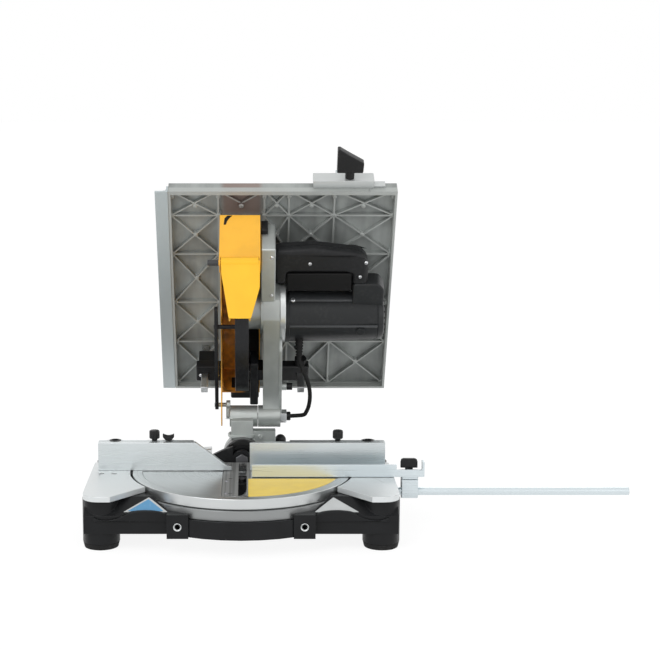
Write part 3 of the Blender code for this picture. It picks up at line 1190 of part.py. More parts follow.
def build_motor(anchor: bpy.types.Object) -> None:
    """The motor's housing with its shoulder, its brush caps and its vented end cap."""
    motor = (-MOTOR_FORWARD, MOTOR_UP)
    housing = turned(motor_shell_profile(), "X", motor, MOTOR_SIDES, closed=True)
    shoulder_low = MOTOR_UP - SHOULDER_HALF_HEIGHT
    shoulder_high = MOTOR_UP + SHOULDER_HALF_HEIGHT
    shoulder = soften(box((SHOULDER_START_X, -SHOULDER_FORWARD, shoulder_low),
                          (SHOULDER_END_X, -MOTOR_FORWARD - MOTOR_BORE_RADIUS - SINK, shoulder_high)),
                      HANDLE_ROUND / 2, 2)
    fuse(housing, shoulder)
    carve(housing, drum(MOTOR_BORE_RADIUS, MOTOR_START_X - OVERRUN, MOTOR_END_X + OVERRUN, "X", motor,
                        MOTOR_SIDES))
    for side in (-1, 1):
        low, high = sorted((MOTOR_UP + side * (MOTOR_BORE_RADIUS + BRUSH_HEIGHT / 2),
                            MOTOR_UP + side * (MOTOR_RADIUS + BRUSH_HEIGHT)))
        fuse(housing, drum(BRUSH_RADIUS, low, high, "Z", (BRUSH_X, -MOTOR_FORWARD), SMALL_SIDES))
    place_part(housing, "motor_housing", "black_plastic", anchor)

    start = MOTOR_END_X + GAP
    inner = MOTOR_TAIL_RADIUS - CAP_WALL
    rim = MOTOR_TAIL_RADIUS - CAP_ROUND
    profile = [(0, CAP_END_X), (rim, CAP_END_X)]
    profile += [(rim + CAP_ROUND * math.sin(math.radians(a)), CAP_END_X - CAP_ROUND
                 + CAP_ROUND * math.cos(math.radians(a))) for a in (45, 90)]
    profile += [(MOTOR_TAIL_RADIUS, start), (inner, start), (inner, CAP_END_X - CAP_ROUND),
                (rim, CAP_END_X - CAP_WALL), (0, CAP_END_X - CAP_WALL)]
    cap = turned(profile, "X", motor, MOTOR_SIDES)
    slots = []
    for number in range(CAP_SLOTS):
        slot = box((CAP_END_X - CAP_WALL - OVERRUN, -CAP_SLOT_WIDTH / 2, CAP_SLOT_INNER_RADIUS),
                   (CAP_END_X + OVERRUN, CAP_SLOT_WIDTH / 2, CAP_SLOT_OUTER_RADIUS))
        slot.data.transform(Matrix.Translation((0,
                                                *motor)) @ Matrix.Rotation(math.tau * number / CAP_SLOTS,
                                                                           4, "X"))
        slots.append(slot)
    carve(cap, *slots)
    place_part(cap, "motor_end_cap", "black_plastic", anchor)


def handle_outline() -> list:
    """The C of the handle, seen from above: left post, grip with a slight crown, right post."""
    crown_x = (HANDLE_LEFT_X + HANDLE_RIGHT_X) / 2 - HANDLE_CORNER / 2
    outer = [(HANDLE_LEFT_X, HANDLE_FOOT), (HANDLE_LEFT_X, HANDLE_GRIP_FRONT),
             (crown_x, HANDLE_GRIP_FRONT + HANDLE_CROWN)]
    outer += [(x, forward) for x, forward in reversed(arc((HANDLE_RIGHT_X - HANDLE_CORNER,
                                                           HANDLE_GRIP_FRONT
                                                           - HANDLE_CROWN - HANDLE_CORNER),
                                                          HANDLE_CORNER, 0, 80, 5))]
    inner = [(HANDLE_RIGHT_X, SHOULDER_FORWARD + GAP), (HANDLE_POST_RIGHT_X, SHOULDER_FORWARD + GAP)]
    inner += arc((HANDLE_POST_RIGHT_X - HANDLE_ROUND, HANDLE_GRIP_REAR - HANDLE_ROUND), HANDLE_ROUND, 0,
                 90, 3)
    inner += arc((HANDLE_POST_X + HANDLE_ROUND, HANDLE_GRIP_REAR - HANDLE_ROUND), HANDLE_ROUND, 90, 180, 3)
    inner += [(HANDLE_POST_X, HANDLE_FOOT)]
    return [(x, -forward) for x, forward in outer + inner]


def build_handle(anchor: bpy.types.Object, trigger_anchor: bpy.types.Object,
                 button_anchor: bpy.types.Object) -> None:
    """Two handle shells, the trigger in its slot, the lock-off button and the screws."""
    for name, low, high in (("handle_shell_lower", HANDLE_UP - HANDLE_HALF_HEIGHT, HANDLE_UP - GAP / 2),
                            ("handle_shell_upper", HANDLE_UP + GAP / 2, HANDLE_UP + HANDLE_HALF_HEIGHT)):
        full = slab([handle_outline()], HANDLE_UP - HANDLE_HALF_HEIGHT, HANDLE_UP + HANDLE_HALF_HEIGHT,
                    "Z")
        shell = soften(full, HANDLE_ROUND, 3, 60)
        waste_low, waste_high = ((high, HANDLE_UP + HANDLE_HALF_HEIGHT * 2) if low < HANDLE_UP - GAP
                                 else (HANDLE_UP - HANDLE_HALF_HEIGHT * 2, low))
        carve(shell, box((TRIGGER_LEFT_X - GAP, -TRIGGER_REAR - TRIGGER_DEPTH - TRIGGER_TRAVEL - GAP,
                          HANDLE_UP - TRIGGER_HALF_HEIGHT - GAP),
                         (TRIGGER_RIGHT_X + GAP, -TRIGGER_REAR, HANDLE_UP + TRIGGER_HALF_HEIGHT + GAP)))
        if name == "handle_shell_upper":
            web_top = HANDLE_UP + HANDLE_HALF_HEIGHT - SINK
            web = slab([[(x, -forward) for x, forward in ((HANDLE_POST_X - HANDLE_WEB_THICKNESS,
                                                           HANDLE_FOOT + SINK),
                                                          (HANDLE_POST_X + HANDLE_WEB_THICKNESS,
                                                           MOTOR_FORWARD
                                                           + MOTOR_FLANGE_RADIUS + GAP * 2),
                                                          (HANDLE_POST_RIGHT_X + HANDLE_WEB_THICKNESS,
                                                           MOTOR_FORWARD
                                                           + MOTOR_FLANGE_RADIUS + GAP * 2),
                                                          (HANDLE_POST_RIGHT_X + HANDLE_WEB_THICKNESS,
                                                           HANDLE_GRIP_REAR + HANDLE_ROUND),
                                                          (HANDLE_POST_X - HANDLE_WEB_THICKNESS,
                                                           HANDLE_GRIP_REAR + HANDLE_ROUND))]],
                       web_top - HANDLE_WEB_THICKNESS, web_top, "Z")
            fuse(shell, web)
            button_floor = HANDLE_UP + HANDLE_HALF_HEIGHT - BUTTON_DEPTH - BUTTON_TRAVEL - GAP
            carve(shell, drum(BUTTON_RADIUS + GAP, button_floor,
                              HANDLE_UP + HANDLE_HALF_HEIGHT + OVERRUN, "Z", (BUTTON_X,
                                                                              -BUTTON_FORWARD),
                              SMALL_SIDES))
        carve(shell, box((HANDLE_LEFT_X - OVERRUN, -HANDLE_GRIP_FRONT * 2, waste_low),
                         (HANDLE_RIGHT_X + OVERRUN, 0, waste_high)))
        place_part(shell, name, "black_plastic", anchor)

    finger = [(TRIGGER_LEFT_X, TRIGGER_REAR + TRIGGER_DEPTH), (TRIGGER_RIGHT_X,
                                                               TRIGGER_REAR + TRIGGER_DEPTH),
              (TRIGGER_RIGHT_X, TRIGGER_REAR + TRIGGER_DEPTH / 4), (TRIGGER_RIGHT_X - TRIGGER_DEPTH / 3,
                                                                    TRIGGER_REAR),
              ((TRIGGER_LEFT_X + TRIGGER_RIGHT_X) / 2, TRIGGER_REAR + TRIGGER_DEPTH / 8),
              (TRIGGER_LEFT_X + TRIGGER_DEPTH / 3, TRIGGER_REAR), (TRIGGER_LEFT_X,
                                                                   TRIGGER_REAR + TRIGGER_DEPTH / 4)]
    trigger = slab([[(x, -forward) for x, forward in finger]], HANDLE_UP - TRIGGER_HALF_HEIGHT,
                   HANDLE_UP + TRIGGER_HALF_HEIGHT, "Z")
    place_part(trigger, "trigger", "black_plastic", trigger_anchor)

    top = HANDLE_UP + HANDLE_HALF_HEIGHT
    button = drum(BUTTON_RADIUS, top - BUTTON_DEPTH, top + BUTTON_PROUD, "Z", (BUTTON_X, -BUTTON_FORWARD),
                  SMALL_SIDES)
    place_part(button, "lock_off_button", "black_plastic", button_anchor)


def blade_outline(centre) -> list:
    """The blade's toothed edge: a gullet, a rake face and a sloping back for each tooth."""
    points = []
    pitch = math.tau / BLADE_TEETH
    for tooth in range(BLADE_TEETH):
        for share, radius in ((0.06, BLADE_RADIUS - TOOTH_DEPTH), (0.18, BLADE_RADIUS),
                              (0.44, BLADE_RADIUS - TOOTH_DEPTH / 5)):
            angle = -pitch * (tooth + share)
            points.append((centre[0] + radius * math.cos(angle), centre[1] + radius * math.sin(angle)))
    return points


def build_blade(anchor: bpy.types.Object) -> None:
    """The toothed blade between its flanges, held by its bolt."""
    arbor = (-ARBOR_FORWARD, ARBOR_UP)
    half = BLADE_THICKNESS / 2
    blade = slab([blade_outline(arbor), circle(arbor, BLADE_BORE_RADIUS, MEDIUM_SIDES)], -half, half, "X")
    place_part(blade, "saw_blade", "steel", anchor)

    shaft_fit = SPINDLE_RADIUS + GAP
    inner_start = half + GAP
    inner = slab([circle(arbor, FLANGE_RADIUS, MEDIUM_SIDES), circle(arbor, shaft_fit, SMALL_SIDES)],
                 inner_start, inner_start + FLANGE_THICKNESS, "X")
    spigot = slab([circle(arbor, FLANGE_SPIGOT_RADIUS, MEDIUM_SIDES), circle(arbor, shaft_fit,
                                                                             SMALL_SIDES)], -half,
                  inner_start + SINK, "X")
    fuse(inner, spigot)
    place_part(inner, "inner_flange", "steel", anchor)

    outer_start = -half - GAP - FLANGE_THICKNESS
    outer = slab([circle(arbor, FLANGE_RADIUS, MEDIUM_SIDES), circle(arbor, shaft_fit, SMALL_SIDES)],
                 outer_start, outer_start + FLANGE_THICKNESS, "X")
    place_part(outer, "outer_flange", "steel", anchor)

    washer_end = min(outer_start, SPINDLE_LEFT_X) - GAP
    washer_start = washer_end - BLADE_WASHER_HEIGHT
    bolt = drum(BLADE_WASHER_RADIUS, washer_start, washer_end, "X", arbor, MEDIUM_SIDES)
    fuse(bolt, drum(BLADE_BOLT_RADIUS, washer_start - BLADE_BOLT_HEIGHT, washer_start + SINK / 2, "X",
                    arbor, 6))
    place_part(bolt, "blade_bolt", "steel", anchor)


def build_fixed_guard(anchor: bpy.types.Object) -> None:
    """The folded sheet guard: a slotted roof, a nose plate, two cheeks and a rear tail."""
    arbor = (-ARBOR_FORWARD, ARBOR_UP)
    outline = [(GUARD_REAR, GUARD_ROOF_UP), (GUARD_NOSE - GUARD_CHAMFER, GUARD_ROOF_UP), (GUARD_NOSE,
                                                                                          GUARD_ROOF_UP
                                                                                          - GUARD_CHAMFER),
               (GUARD_NOSE_FOOT, GUARD_CHEEK_FOOT_UP), (GUARD_CHEEK_REAR, GUARD_CHEEK_FOOT_UP),
               (GUARD_ARCH_FRONT, GUARD_ARCH_UP), (GUARD_ARCH_REAR, GUARD_ARCH_UP), (GUARD_ARCH_FOOT,
                                                                                     GUARD_SKIRT_UP),
               (GUARD_REAR, GUARD_SKIRT_UP)]
    guard = slab([side_view(outline)], GUARD_LEFT_X, GUARD_RIGHT_X, "X")
    t = GUARD_SHEET
    room = [(GUARD_REAR + t, GUARD_ROOF_UP - t), (GUARD_NOSE - GUARD_CHAMFER - t / 2,
                                                  GUARD_ROOF_UP - t), (GUARD_NOSE - t,
                                                                       GUARD_ROOF_UP
                                                                       - GUARD_CHAMFER - t / 2),
            (GUARD_NOSE_FOOT - t, GUARD_CHEEK_FOOT_UP), (GUARD_NOSE_FOOT - t, GUARD_TAIL_UP),
            (GUARD_REAR + t, GUARD_TAIL_UP)]
    carve(guard, slab([side_view(room)], GUARD_LEFT_X + t, GUARD_RIGHT_X - t, "X"))
    tail_front = REAR_COVER_FRONT
    tail = [(tail_front, GUARD_SKIRT_UP + SINK), (tail_front, GUARD_SKIRT_UP - GUARD_TAIL_WIDTH),
            (GUARD_REAR * 4, GUARD_TAIL_UP + GUARD_TAIL_WIDTH), (GUARD_REAR, GUARD_TAIL_UP),
            (-GUARD_REAR, GUARD_TAIL_UP), (-GUARD_REAR, GUARD_TAIL_UP + GUARD_TAIL_WIDTH / 2),
            (GUARD_REAR * 3, GUARD_TAIL_UP + GUARD_TAIL_WIDTH * 2), (GUARD_REAR * 6,
                                                                     GUARD_SKIRT_UP + SINK)]
    fuse(guard, slab([side_view(tail)], GUARD_LEFT_X, GUARD_LEFT_X + t, "X"))
    slot_high = GUARD_NOSE - GUARD_CHAMFER - t * 3
    carve(guard, box((-GUARD_SLOT_HALF_WIDTH, -slot_high, GUARD_ROOF_UP - t - OVERRUN),
                     (GUARD_SLOT_HALF_WIDTH, -GUARD_SLOT_REAR, GUARD_ROOF_UP + OVERRUN)))
    carve(guard, drum(GUARD_HUB_RADIUS + GAP * 2, GUARD_RIGHT_X - t - OVERRUN, GUARD_RIGHT_X + OVERRUN,
                      "X", arbor, MEDIUM_SIDES))
    pin_room = CRANK_PIN_RADIUS + CRANK_SLOT_MARGIN
    slot = sector(arbor, CRANK_RADIUS - pin_room, CRANK_RADIUS + pin_room,
                  180 - CRANK_ANGLE - 12, 180 - CRANK_ANGLE + RING_RETRACT + 12, SMALL_SIDES)
    carve(guard, slab([slot], GUARD_LEFT_X - OVERRUN, GUARD_LEFT_X + t + OVERRUN, "X"))
    carve(guard, drum(FLANGE_RADIUS / 2, GUARD_LEFT_X - OVERRUN, GUARD_LEFT_X + t + OVERRUN, "X", arbor,
                      MEDIUM_SIDES))
    ear_place = (-FLAP_FORWARD, FLAP_UP)
    for start in (GUARD_LEFT_X, GUARD_RIGHT_X - t):
        fuse(guard, drum(FLAP_EAR_RADIUS, start, start + t, "X", ear_place, SMALL_SIDES))
        neck = [(GUARD_NOSE_FOOT, GUARD_CHEEK_FOOT_UP + SINK), (GUARD_NOSE_FOOT, FLAP_UP),
                (FLAP_FORWARD - FLAP_EAR_RADIUS, FLAP_UP), (FLAP_FORWARD - FLAP_EAR_RADIUS * 2,
                                                            GUARD_CHEEK_FOOT_UP + SINK)]
        fuse(guard, slab([side_view(neck)], start, start + t, "X"))
    fuse(guard, drum(FLAP_PIN_RADIUS, GUARD_LEFT_X + SINK, GUARD_RIGHT_X - SINK, "X", ear_place,
                     TINY_SIDES))
    fuse(guard, drum(GUARD_PEG_RADIUS, GUARD_PEG_X, GUARD_LEFT_X + SINK, "X", ear_place, SMALL_SIDES))
    place_part(guard, "blade_guard", "yellow_paint", anchor)


def build_flap(anchor: bpy.types.Object) -> None:
    """The hinged front flap: a channel that narrows towards its foot, hung on the pin under the nose."""
    width = GUARD_RIGHT_X - GUARD_LEFT_X - 2 * GUARD_SHEET - 4 * GAP
    middle = (GUARD_LEFT_X + GUARD_RIGHT_X) / 2

    def tapered(top_width: float, foot_width: float, front: float, back: float, length: float):
        """A block that hangs from the pin and narrows downwards."""
        form = bmesh.new()
        bmesh.ops.create_cube(form, size=1.0)
        for vert in form.verts:
            at_foot = vert.co.z < 0
            span = foot_width if at_foot else top_width
            vert.co.x *= span
            vert.co.y = front if vert.co.y < 0 else back
            vert.co.z = -length if at_foot else 0
        return from_bmesh("tapered", form)

    t = GUARD_SHEET
    flap = tapered(width, FLAP_FOOT_WIDTH, -FLAP_EAR_RADIUS, FLAP_DEPTH - FLAP_EAR_RADIUS, FLAP_LENGTH)
    room = tapered(width - 2 * t, FLAP_FOOT_WIDTH - 2 * t, -FLAP_EAR_RADIUS + t, FLAP_DEPTH + OVERRUN,
                   FLAP_LENGTH)
    room.data.transform(Matrix.Scale(1 + 2 * OVERRUN / FLAP_LENGTH, 4, (0, 0, 1)))
    room.data.transform(Matrix.Translation((0, 0, OVERRUN)))
    carve(flap, room)
    for side in (-1, 1):
        start, end = sorted((side * width / 2, side * (width / 2 - t)))
        fuse(flap, drum(FLAP_EAR_RADIUS, start, end, "X", (0, 0), SMALL_SIDES))
    carve(flap, drum(FLAP_PIN_RADIUS + RUNNING_CLEARANCE, -width, width, "X", (0, 0), TINY_SIDES))
    flap.data.transform(Matrix.Translation((middle, -FLAP_FORWARD, FLAP_UP))
                        @ Matrix.Rotation(math.radians(FLAP_LEAN), 4, "X"))
    place_part(flap, "front_flap", "yellow_paint", anchor)


def turned_by(place, degrees: float) -> tuple:
    """A (forward, up) place turned about the origin."""
    cos, sin = math.cos(math.radians(degrees)), math.sin(math.radians(degrees))
    return place[0] * cos - place[1] * sin, place[0] * sin + place[1] * cos


def crank_pin_track() -> list:
    """Where the lower guard's pin lies in the link as the head comes down, along and aside."""
    ear = polar((0, 0), LINK_ARM_RADIUS, LINK_ARM_ANGLE)
    crank = polar((0, 0), CRANK_RADIUS, CRANK_ANGLE)
    track = []
    first_angle = None
    for step in range(MEDIUM_SIDES + 1):
        lowered = HEAD_RAISED * step / MEDIUM_SIDES
        swung = turned_by(crank, -lowered * RING_RETRACT / HEAD_RAISED)
        pin = turned_by((ARBOR_FORWARD + swung[0], ARBOR_UP + swung[1]), HEAD_RAISED - lowered)
        reach = (pin[0] - ear[0], pin[1] - ear[1])
        if first_angle is None:
            first_angle = math.degrees(math.atan2(reach[1], reach[0]))
        aim = first_angle - lowered * LINK_TURN_SHARE
        track.append(turned_by(reach, -aim))
    return track


def build_lower_guard(anchor: bpy.types.Object, link_anchor: bpy.types.Object,
                      head: bpy.types.Object) -> None:
    """The swinging lower guard, the link that draws it back, and the cover behind it."""
    arbor = (-ARBOR_FORWARD, ARBOR_UP)

    def swept(inner: float, outer: float, spare: float = 0.0):
        """A sector between the guard's ends; the mirrored axis turns angles round."""
        return sector(arbor, inner, outer, 180 - RING_START - spare, 180 - RING_END + spare, SMALL_SIDES)

    guard = slab([swept(RING_CHEEK_INNER_RADIUS, RING_RADIUS)], RING_LEFT_X, RING_RIGHT_X, "X")
    carve(guard, slab([swept(RING_CHEEK_INNER_RADIUS - SINK * 3, RING_RADIUS - RING_THICKNESS,
                             SMALL_SIDES / 4)], RING_LEFT_X + RING_CHEEK, RING_RIGHT_X - RING_CHEEK,
                      "X"))
    hub_bore = GUARD_HUB_RADIUS / math.cos(math.pi / MEDIUM_SIDES) + RUNNING_CLEARANCE
    fuse(guard, slab([circle(arbor, RING_HUB_RADIUS, MEDIUM_SIDES), circle(arbor, hub_bore, MEDIUM_SIDES)],
                     RING_RIGHT_X - RING_CHEEK, RING_RIGHT_X, "X"))
    carve(guard, drum(hub_bore, RING_RIGHT_X - RING_CHEEK - OVERRUN, RING_RIGHT_X + OVERRUN, "X", arbor,
                      MEDIUM_SIDES))
    pin_place = polar(arbor, CRANK_RADIUS, 180 - CRANK_ANGLE)
    root_place = polar(arbor, CRANK_ROOT_RADIUS, 180 - CRANK_ROOT_ANGLE)
    lug = belt(circle(pin_place, CRANK_LUG_RADIUS, SMALL_SIDES) + circle(root_place, CRANK_LUG_RADIUS, SMALL_SIDES))
    fuse(guard, slab([lug], RING_LEFT_X - SINK / 2, RING_LEFT_X + RING_CHEEK - SINK / 2, "X"))
    fuse(guard, drum(CRANK_PIN_RADIUS, LINK_LEFT_X - SINK, RING_LEFT_X + RING_CHEEK / 2, "X", pin_place,
                     SMALL_SIDES))
    place_part(guard, "lower_guard", "black_plastic", anchor)

    ear = polar((0, 0), LINK_ARM_RADIUS, LINK_ARM_ANGLE - HEAD_RAISED)
    ear_place = (-ear[0], ear[1])
    dy = pin_place[0] - ear_place[0]
    dz = pin_place[1] - ear_place[1]
    track = crank_pin_track()
    along = [place[0] for place in track]
    aside = [place[1] for place in track]
    bar = slab([rounded((-LINK_HALF_WIDTH, -LINK_HALF_WIDTH), (max(along) + LINK_HALF_WIDTH * 2,
                                                               LINK_HALF_WIDTH),
                        LINK_HALF_WIDTH * LINK_END_SHARE, 3)], LINK_LEFT_X, LINK_RIGHT_X, "X")
    eye = CRANK_PIN_RADIUS + LINK_EYE_CLEARANCE
    carve(bar, drum(eye, LINK_LEFT_X - OVERRUN, LINK_RIGHT_X + OVERRUN, "X", (0, 0), SMALL_SIDES))
    slot = rounded((min(along) - eye, min(aside) - eye), (max(along) + eye, max(aside) + eye), eye, 3)
    carve(bar, slab([slot], LINK_LEFT_X - OVERRUN, LINK_RIGHT_X + OVERRUN, "X"))
    bar.data.transform(Matrix.Translation((0, *ear_place)) @ Matrix.Rotation(math.atan2(dz, dy), 4, "X"))
    place_part(bar, "guard_link", "black_plastic", link_anchor)

    cover_outline = [(REAR_COVER_REAR, REAR_COVER_BOTTOM_UP), (REAR_COVER_FRONT, REAR_COVER_BOTTOM_UP * 3),
                     (REAR_COVER_FRONT, REAR_COVER_TOP_UP), (REAR_COVER_REAR, REAR_COVER_TOP_UP)]
    cover = soften(slab([side_view(cover_outline)], REAR_COVER_LEFT_X, REAR_COVER_RIGHT_X - GAP, "X"),
                   CAP_WALL / 2, 1, 60)
    arm_pad = box((REAR_COVER_RIGHT_X - SINK, -REAR_COVER_FRONT * 0.8, REAR_COVER_BOTTOM_UP * 5),
                  (ARM_LEFT_X - GAP, -REAR_COVER_REAR * 3, GUARD_SKIRT_UP - GAP * 3))
    carve(arm_pad, drum(BARREL_RADIUS + GAP * 3, 0, ARM_RIGHT_X, "X", (0, 0), MEDIUM_SIDES))
    fuse(cover, arm_pad)
    place_part(cover, "guard_rear_cover", "black_plastic", head)


def build_riving_knife(anchor: bpy.types.Object) -> None:
    """The curved knife behind the blade, with the block at its root."""
    arbor = (-ARBOR_FORWARD, ARBOR_UP)
    start, end = 180 - KNIFE_TIP_ANGLE, 180 - KNIFE_ROOT_ANGLE
    half = KNIFE_THICKNESS / 2
    knife = slab([sector(arbor, KNIFE_INNER_RADIUS, KNIFE_OUTER_RADIUS, end, start, SMALL_SIDES)],
                 -half, half, "X")
    root_top = polar(arbor, (KNIFE_INNER_RADIUS + KNIFE_OUTER_RADIUS) / 2, end + 6)
    root = [(KNIFE_ROOT_REAR, KNIFE_ROOT_BOTTOM_UP), (KNIFE_ROOT_FRONT, KNIFE_ROOT_BOTTOM_UP),
            (KNIFE_ROOT_FRONT, GUARD_ROOF_UP), (-root_top[0] + SINK * 3, root_top[1]),
            (-root_top[0] - SINK * 3, root_top[1] + SINK * 2), (KNIFE_ROOT_REAR, GUARD_ROOF_UP)]
    fuse(knife, slab([side_view(root)], -half, half, "X"))
    fuse(knife, box((half - SINK / 2, -KNIFE_ROOT_FRONT, HOLDER_BOTTOM_UP),
                    (GUARD_RIGHT_X - GUARD_SHEET - GAP, -KNIFE_ROOT_REAR, HOLDER_TOP_UP)))
    place_part(knife, "riving_knife", "steel", anchor)


def inset_pocket(corners, centre_width: float, edge_width: float) -> list | None:
    """A triangular pocket, each side moved in by half of its rib's width."""
    shifts = (edge_width / 2, centre_width / 2, centre_width / 2)
    lines = []
    for number in range(3):
        (x1, y1), (x2, y2) = corners[number], corners[(number + 1) % 3]
        length = math.hypot(x2 - x1, y2 - y1)
        nx, ny = -(y2 - y1) / length, (x2 - x1) / length
        lines.append((nx, ny, nx * x1 + ny * y1 + shifts[number]))
    points = []
    for number in range(3):
        a1, b1, c1 = lines[number - 1]
        a2, b2, c2 = lines[number]
        det = a1 * b2 - a2 * b1
        points.append(((c1 * b2 - c2 * b1) / det, (a1 * c2 - a2 * c1) / det))
    return points


def table_pockets() -> list:
    """Four triangular pockets in every cell of the rib lattice, clear of the guard's well."""
    columns = [PLATE_LEFT_X + PLATE_WALL / 2, *RIB_COLUMNS, PLATE_RIGHT_X - PLATE_WALL / 2]
    rows = [PLATE_REAR + PLATE_WALL / 2, *RIB_ROWS, PLATE_FRONT - FRONT_APRON]
    pockets = []
    for left, right in zip(columns, columns[1:]):
        for rear, front in zip(rows, rows[1:]):
            well = left < 0 < right and KERF_PLATE_REAR < (rear + front) / 2 < KERF_PLATE_FRONT
            if well:
                continue
            low, high = (left, -front), (right, -rear)
            middle = ((left + right) / 2, -(rear + front) / 2)
            corner = [low, (high[0], low[1]), high, (low[0], high[1])]
            for number in range(4):
                triangle = (corner[number], corner[(number + 1) % 4], middle)
                pockets.append(inset_pocket(triangle, DIAGONAL_WIDTH, RIB_WIDTH))
    return pockets


def build_upper_table(anchor: bpy.types.Object) -> None:
    """The ribbed table casting, its kerf plate, side rail and the posts that slide in the head."""
    rectangle = [(PLATE_LEFT_X, -PLATE_FRONT), (PLATE_RIGHT_X, -PLATE_FRONT), (PLATE_RIGHT_X, -PLATE_REAR),
                 (PLATE_LEFT_X, -PLATE_REAR)]
    deck_bottom = PLATE_TOP_UP - PLATE_THICKNESS
    opening = [(KERF_PLATE_LEFT_X + KERF_PLATE_SEAT, -KERF_PLATE_FRONT + KERF_PLATE_SEAT),
               (KERF_PLATE_RIGHT_X - KERF_PLATE_SEAT, -KERF_PLATE_FRONT + KERF_PLATE_SEAT),
               (KERF_PLATE_RIGHT_X - KERF_PLATE_SEAT, -KERF_PLATE_REAR - KERF_PLATE_SEAT),
               (KERF_PLATE_LEFT_X + KERF_PLATE_SEAT, -KERF_PLATE_REAR - KERF_PLATE_SEAT)]
    table = slab([rectangle], RIB_BOTTOM_UP, PLATE_TOP_UP, "Z")
    carve(table, slab(table_pockets(), RIB_BOTTOM_UP - OVERRUN, deck_bottom, "Z"))
    rim = PLATE_WALL / 2 + SINK
    carve(table, box((PLATE_LEFT_X + rim, -(PLATE_FRONT - FRONT_APRON - SINK), RIB_BOTTOM_UP - OVERRUN),
                     (PLATE_RIGHT_X - rim, -(PLATE_REAR + rim), RIB_BOTTOM_UP + RIB_RECESS)))
    carve(table, box((RIB_COLUMNS[0] + RIB_WIDTH, -GUARD_NOSE - SINK * 3, RIB_BOTTOM_UP - OVERRUN),
                     (RIB_COLUMNS[1] - RIB_WIDTH, -GUARD_REAR + SINK * 3, deck_bottom + GAP)))
    carve(table, slab([opening], deck_bottom - OVERRUN, PLATE_TOP_UP + OVERRUN, "Z"))
    seat_low = PLATE_TOP_UP - KERF_PLATE_THICKNESS - GAP
    carve(table, box((KERF_PLATE_LEFT_X - GAP, -KERF_PLATE_FRONT - GAP, seat_low),
                     (KERF_PLATE_RIGHT_X + GAP, -KERF_PLATE_REAR + GAP, PLATE_TOP_UP + OVERRUN)))

    kerf = slab([[(KERF_PLATE_LEFT_X, -KERF_PLATE_FRONT), (KERF_PLATE_RIGHT_X, -KERF_PLATE_FRONT),
                  (KERF_PLATE_RIGHT_X, -KERF_PLATE_REAR), (KERF_PLATE_LEFT_X, -KERF_PLATE_REAR)],
                 [(-KERF_PLATE_SLOT_HALF_WIDTH, -KERF_PLATE_SLOT_FRONT),
                  (KERF_PLATE_SLOT_HALF_WIDTH, -KERF_PLATE_SLOT_FRONT),
                  (KERF_PLATE_SLOT_HALF_WIDTH, -KERF_PLATE_SLOT_REAR),
                  (-KERF_PLATE_SLOT_HALF_WIDTH, -KERF_PLATE_SLOT_REAR)]],
                PLATE_TOP_UP - KERF_PLATE_THICKNESS, PLATE_TOP_UP, "Z")
    place_part(kerf, "table_kerf_plate", "cast_silver", anchor)

    edge = PLATE_LEFT_X - GAP
    rail_top = RIB_BOTTOM_UP + RAIL_HEIGHT
    rail = slab([[(edge, rail_top), (edge, RIB_BOTTOM_UP), (edge - RAIL_WIDTH, RIB_BOTTOM_UP),
                  (edge - RAIL_WIDTH, RIB_BOTTOM_UP + RAIL_THICKNESS), (edge - RAIL_THICKNESS,
                                                                        RIB_BOTTOM_UP + RAIL_THICKNESS),
                  (edge - RAIL_THICKNESS, rail_top)]], -RAIL_FRONT, -PLATE_REAR, "Y")
    place_part(rail, "table_side_rail", "bright_aluminium", anchor)

    for name, x in (("left_table_post", LEFT_POST_X), ("right_table_post", RIGHT_POST_X)):
        post = box((x - POST_HALF_WIDTH, -POST_FORWARD - POST_HALF_WIDTH, POST_BOTTOM_UP),
                   (x + POST_HALF_WIDTH, -POST_FORWARD + POST_HALF_WIDTH, deck_bottom - GAP))
        place_part(post, name, "steel", anchor)
        room = POST_HALF_WIDTH + GAP
        carve(table, box((x - room, -POST_FORWARD - room, RIB_BOTTOM_UP - OVERRUN),
                         (x + room, -POST_FORWARD + room, deck_bottom + GAP)))
    place_part(table, "upper_table", "table_grey", anchor)


def guide_block(low_x: float, high_x: float) -> bpy.types.Object:
    """A plain block for one of the table's posts to slide through."""
    front = POST_FORWARD + GUIDE_DEPTH / 2 + POST_HALF_WIDTH
    rear = POST_FORWARD - GUIDE_DEPTH / 2
    return soften(box((low_x, -front, GUIDE_BOTTOM_UP), (high_x, -rear, GUIDE_TOP_UP)), SINK * 1.5, 1)


def guide_bore(post_x: float) -> bpy.types.Object:
    """The square hole that a post slides in."""
    room = POST_HALF_WIDTH + GAP
    return box((post_x - room, -POST_FORWARD - room, GUIDE_BOTTOM_UP - OVERRUN),
               (post_x + room, -POST_FORWARD + room, GUIDE_TOP_UP + OVERRUN))


def build_table_guides(anchor: bpy.types.Object, knob_anchor: bpy.types.Object) -> None:
    """The guide beside the blade guard, and the knob that clamps the post in the arm's own guide."""
    guide = guide_block(LEFT_POST_X - GUIDE_HALF_WIDTH, GUARD_LEFT_X - GAP)
    carve(guide, guide_bore(LEFT_POST_X))
    place_part(guide, "left_table_guide", "black_cast", anchor)
    middle = (GUIDE_BOTTOM_UP + GUIDE_TOP_UP) / 2
    seat = -POST_FORWARD - GUIDE_DEPTH / 2 - POST_HALF_WIDTH - GAP
    knob = slab([lobed((RIGHT_POST_X, middle), TABLE_KNOB_RADIUS, RIBBED_KNOB_LOBE_SHARE,
                       TABLE_KNOB_LOBES)], seat - TABLE_KNOB_HEIGHT, seat, "Y")
    fuse(knob, drum(KNOB_STEM_RADIUS, seat - SINK, -POST_FORWARD - POST_HALF_WIDTH - GAP * 2, "Y",
                    (RIGHT_POST_X, middle), TINY_SIDES))
    place_part(knob, "table_clamp_knob", "black_plastic", knob_anchor)


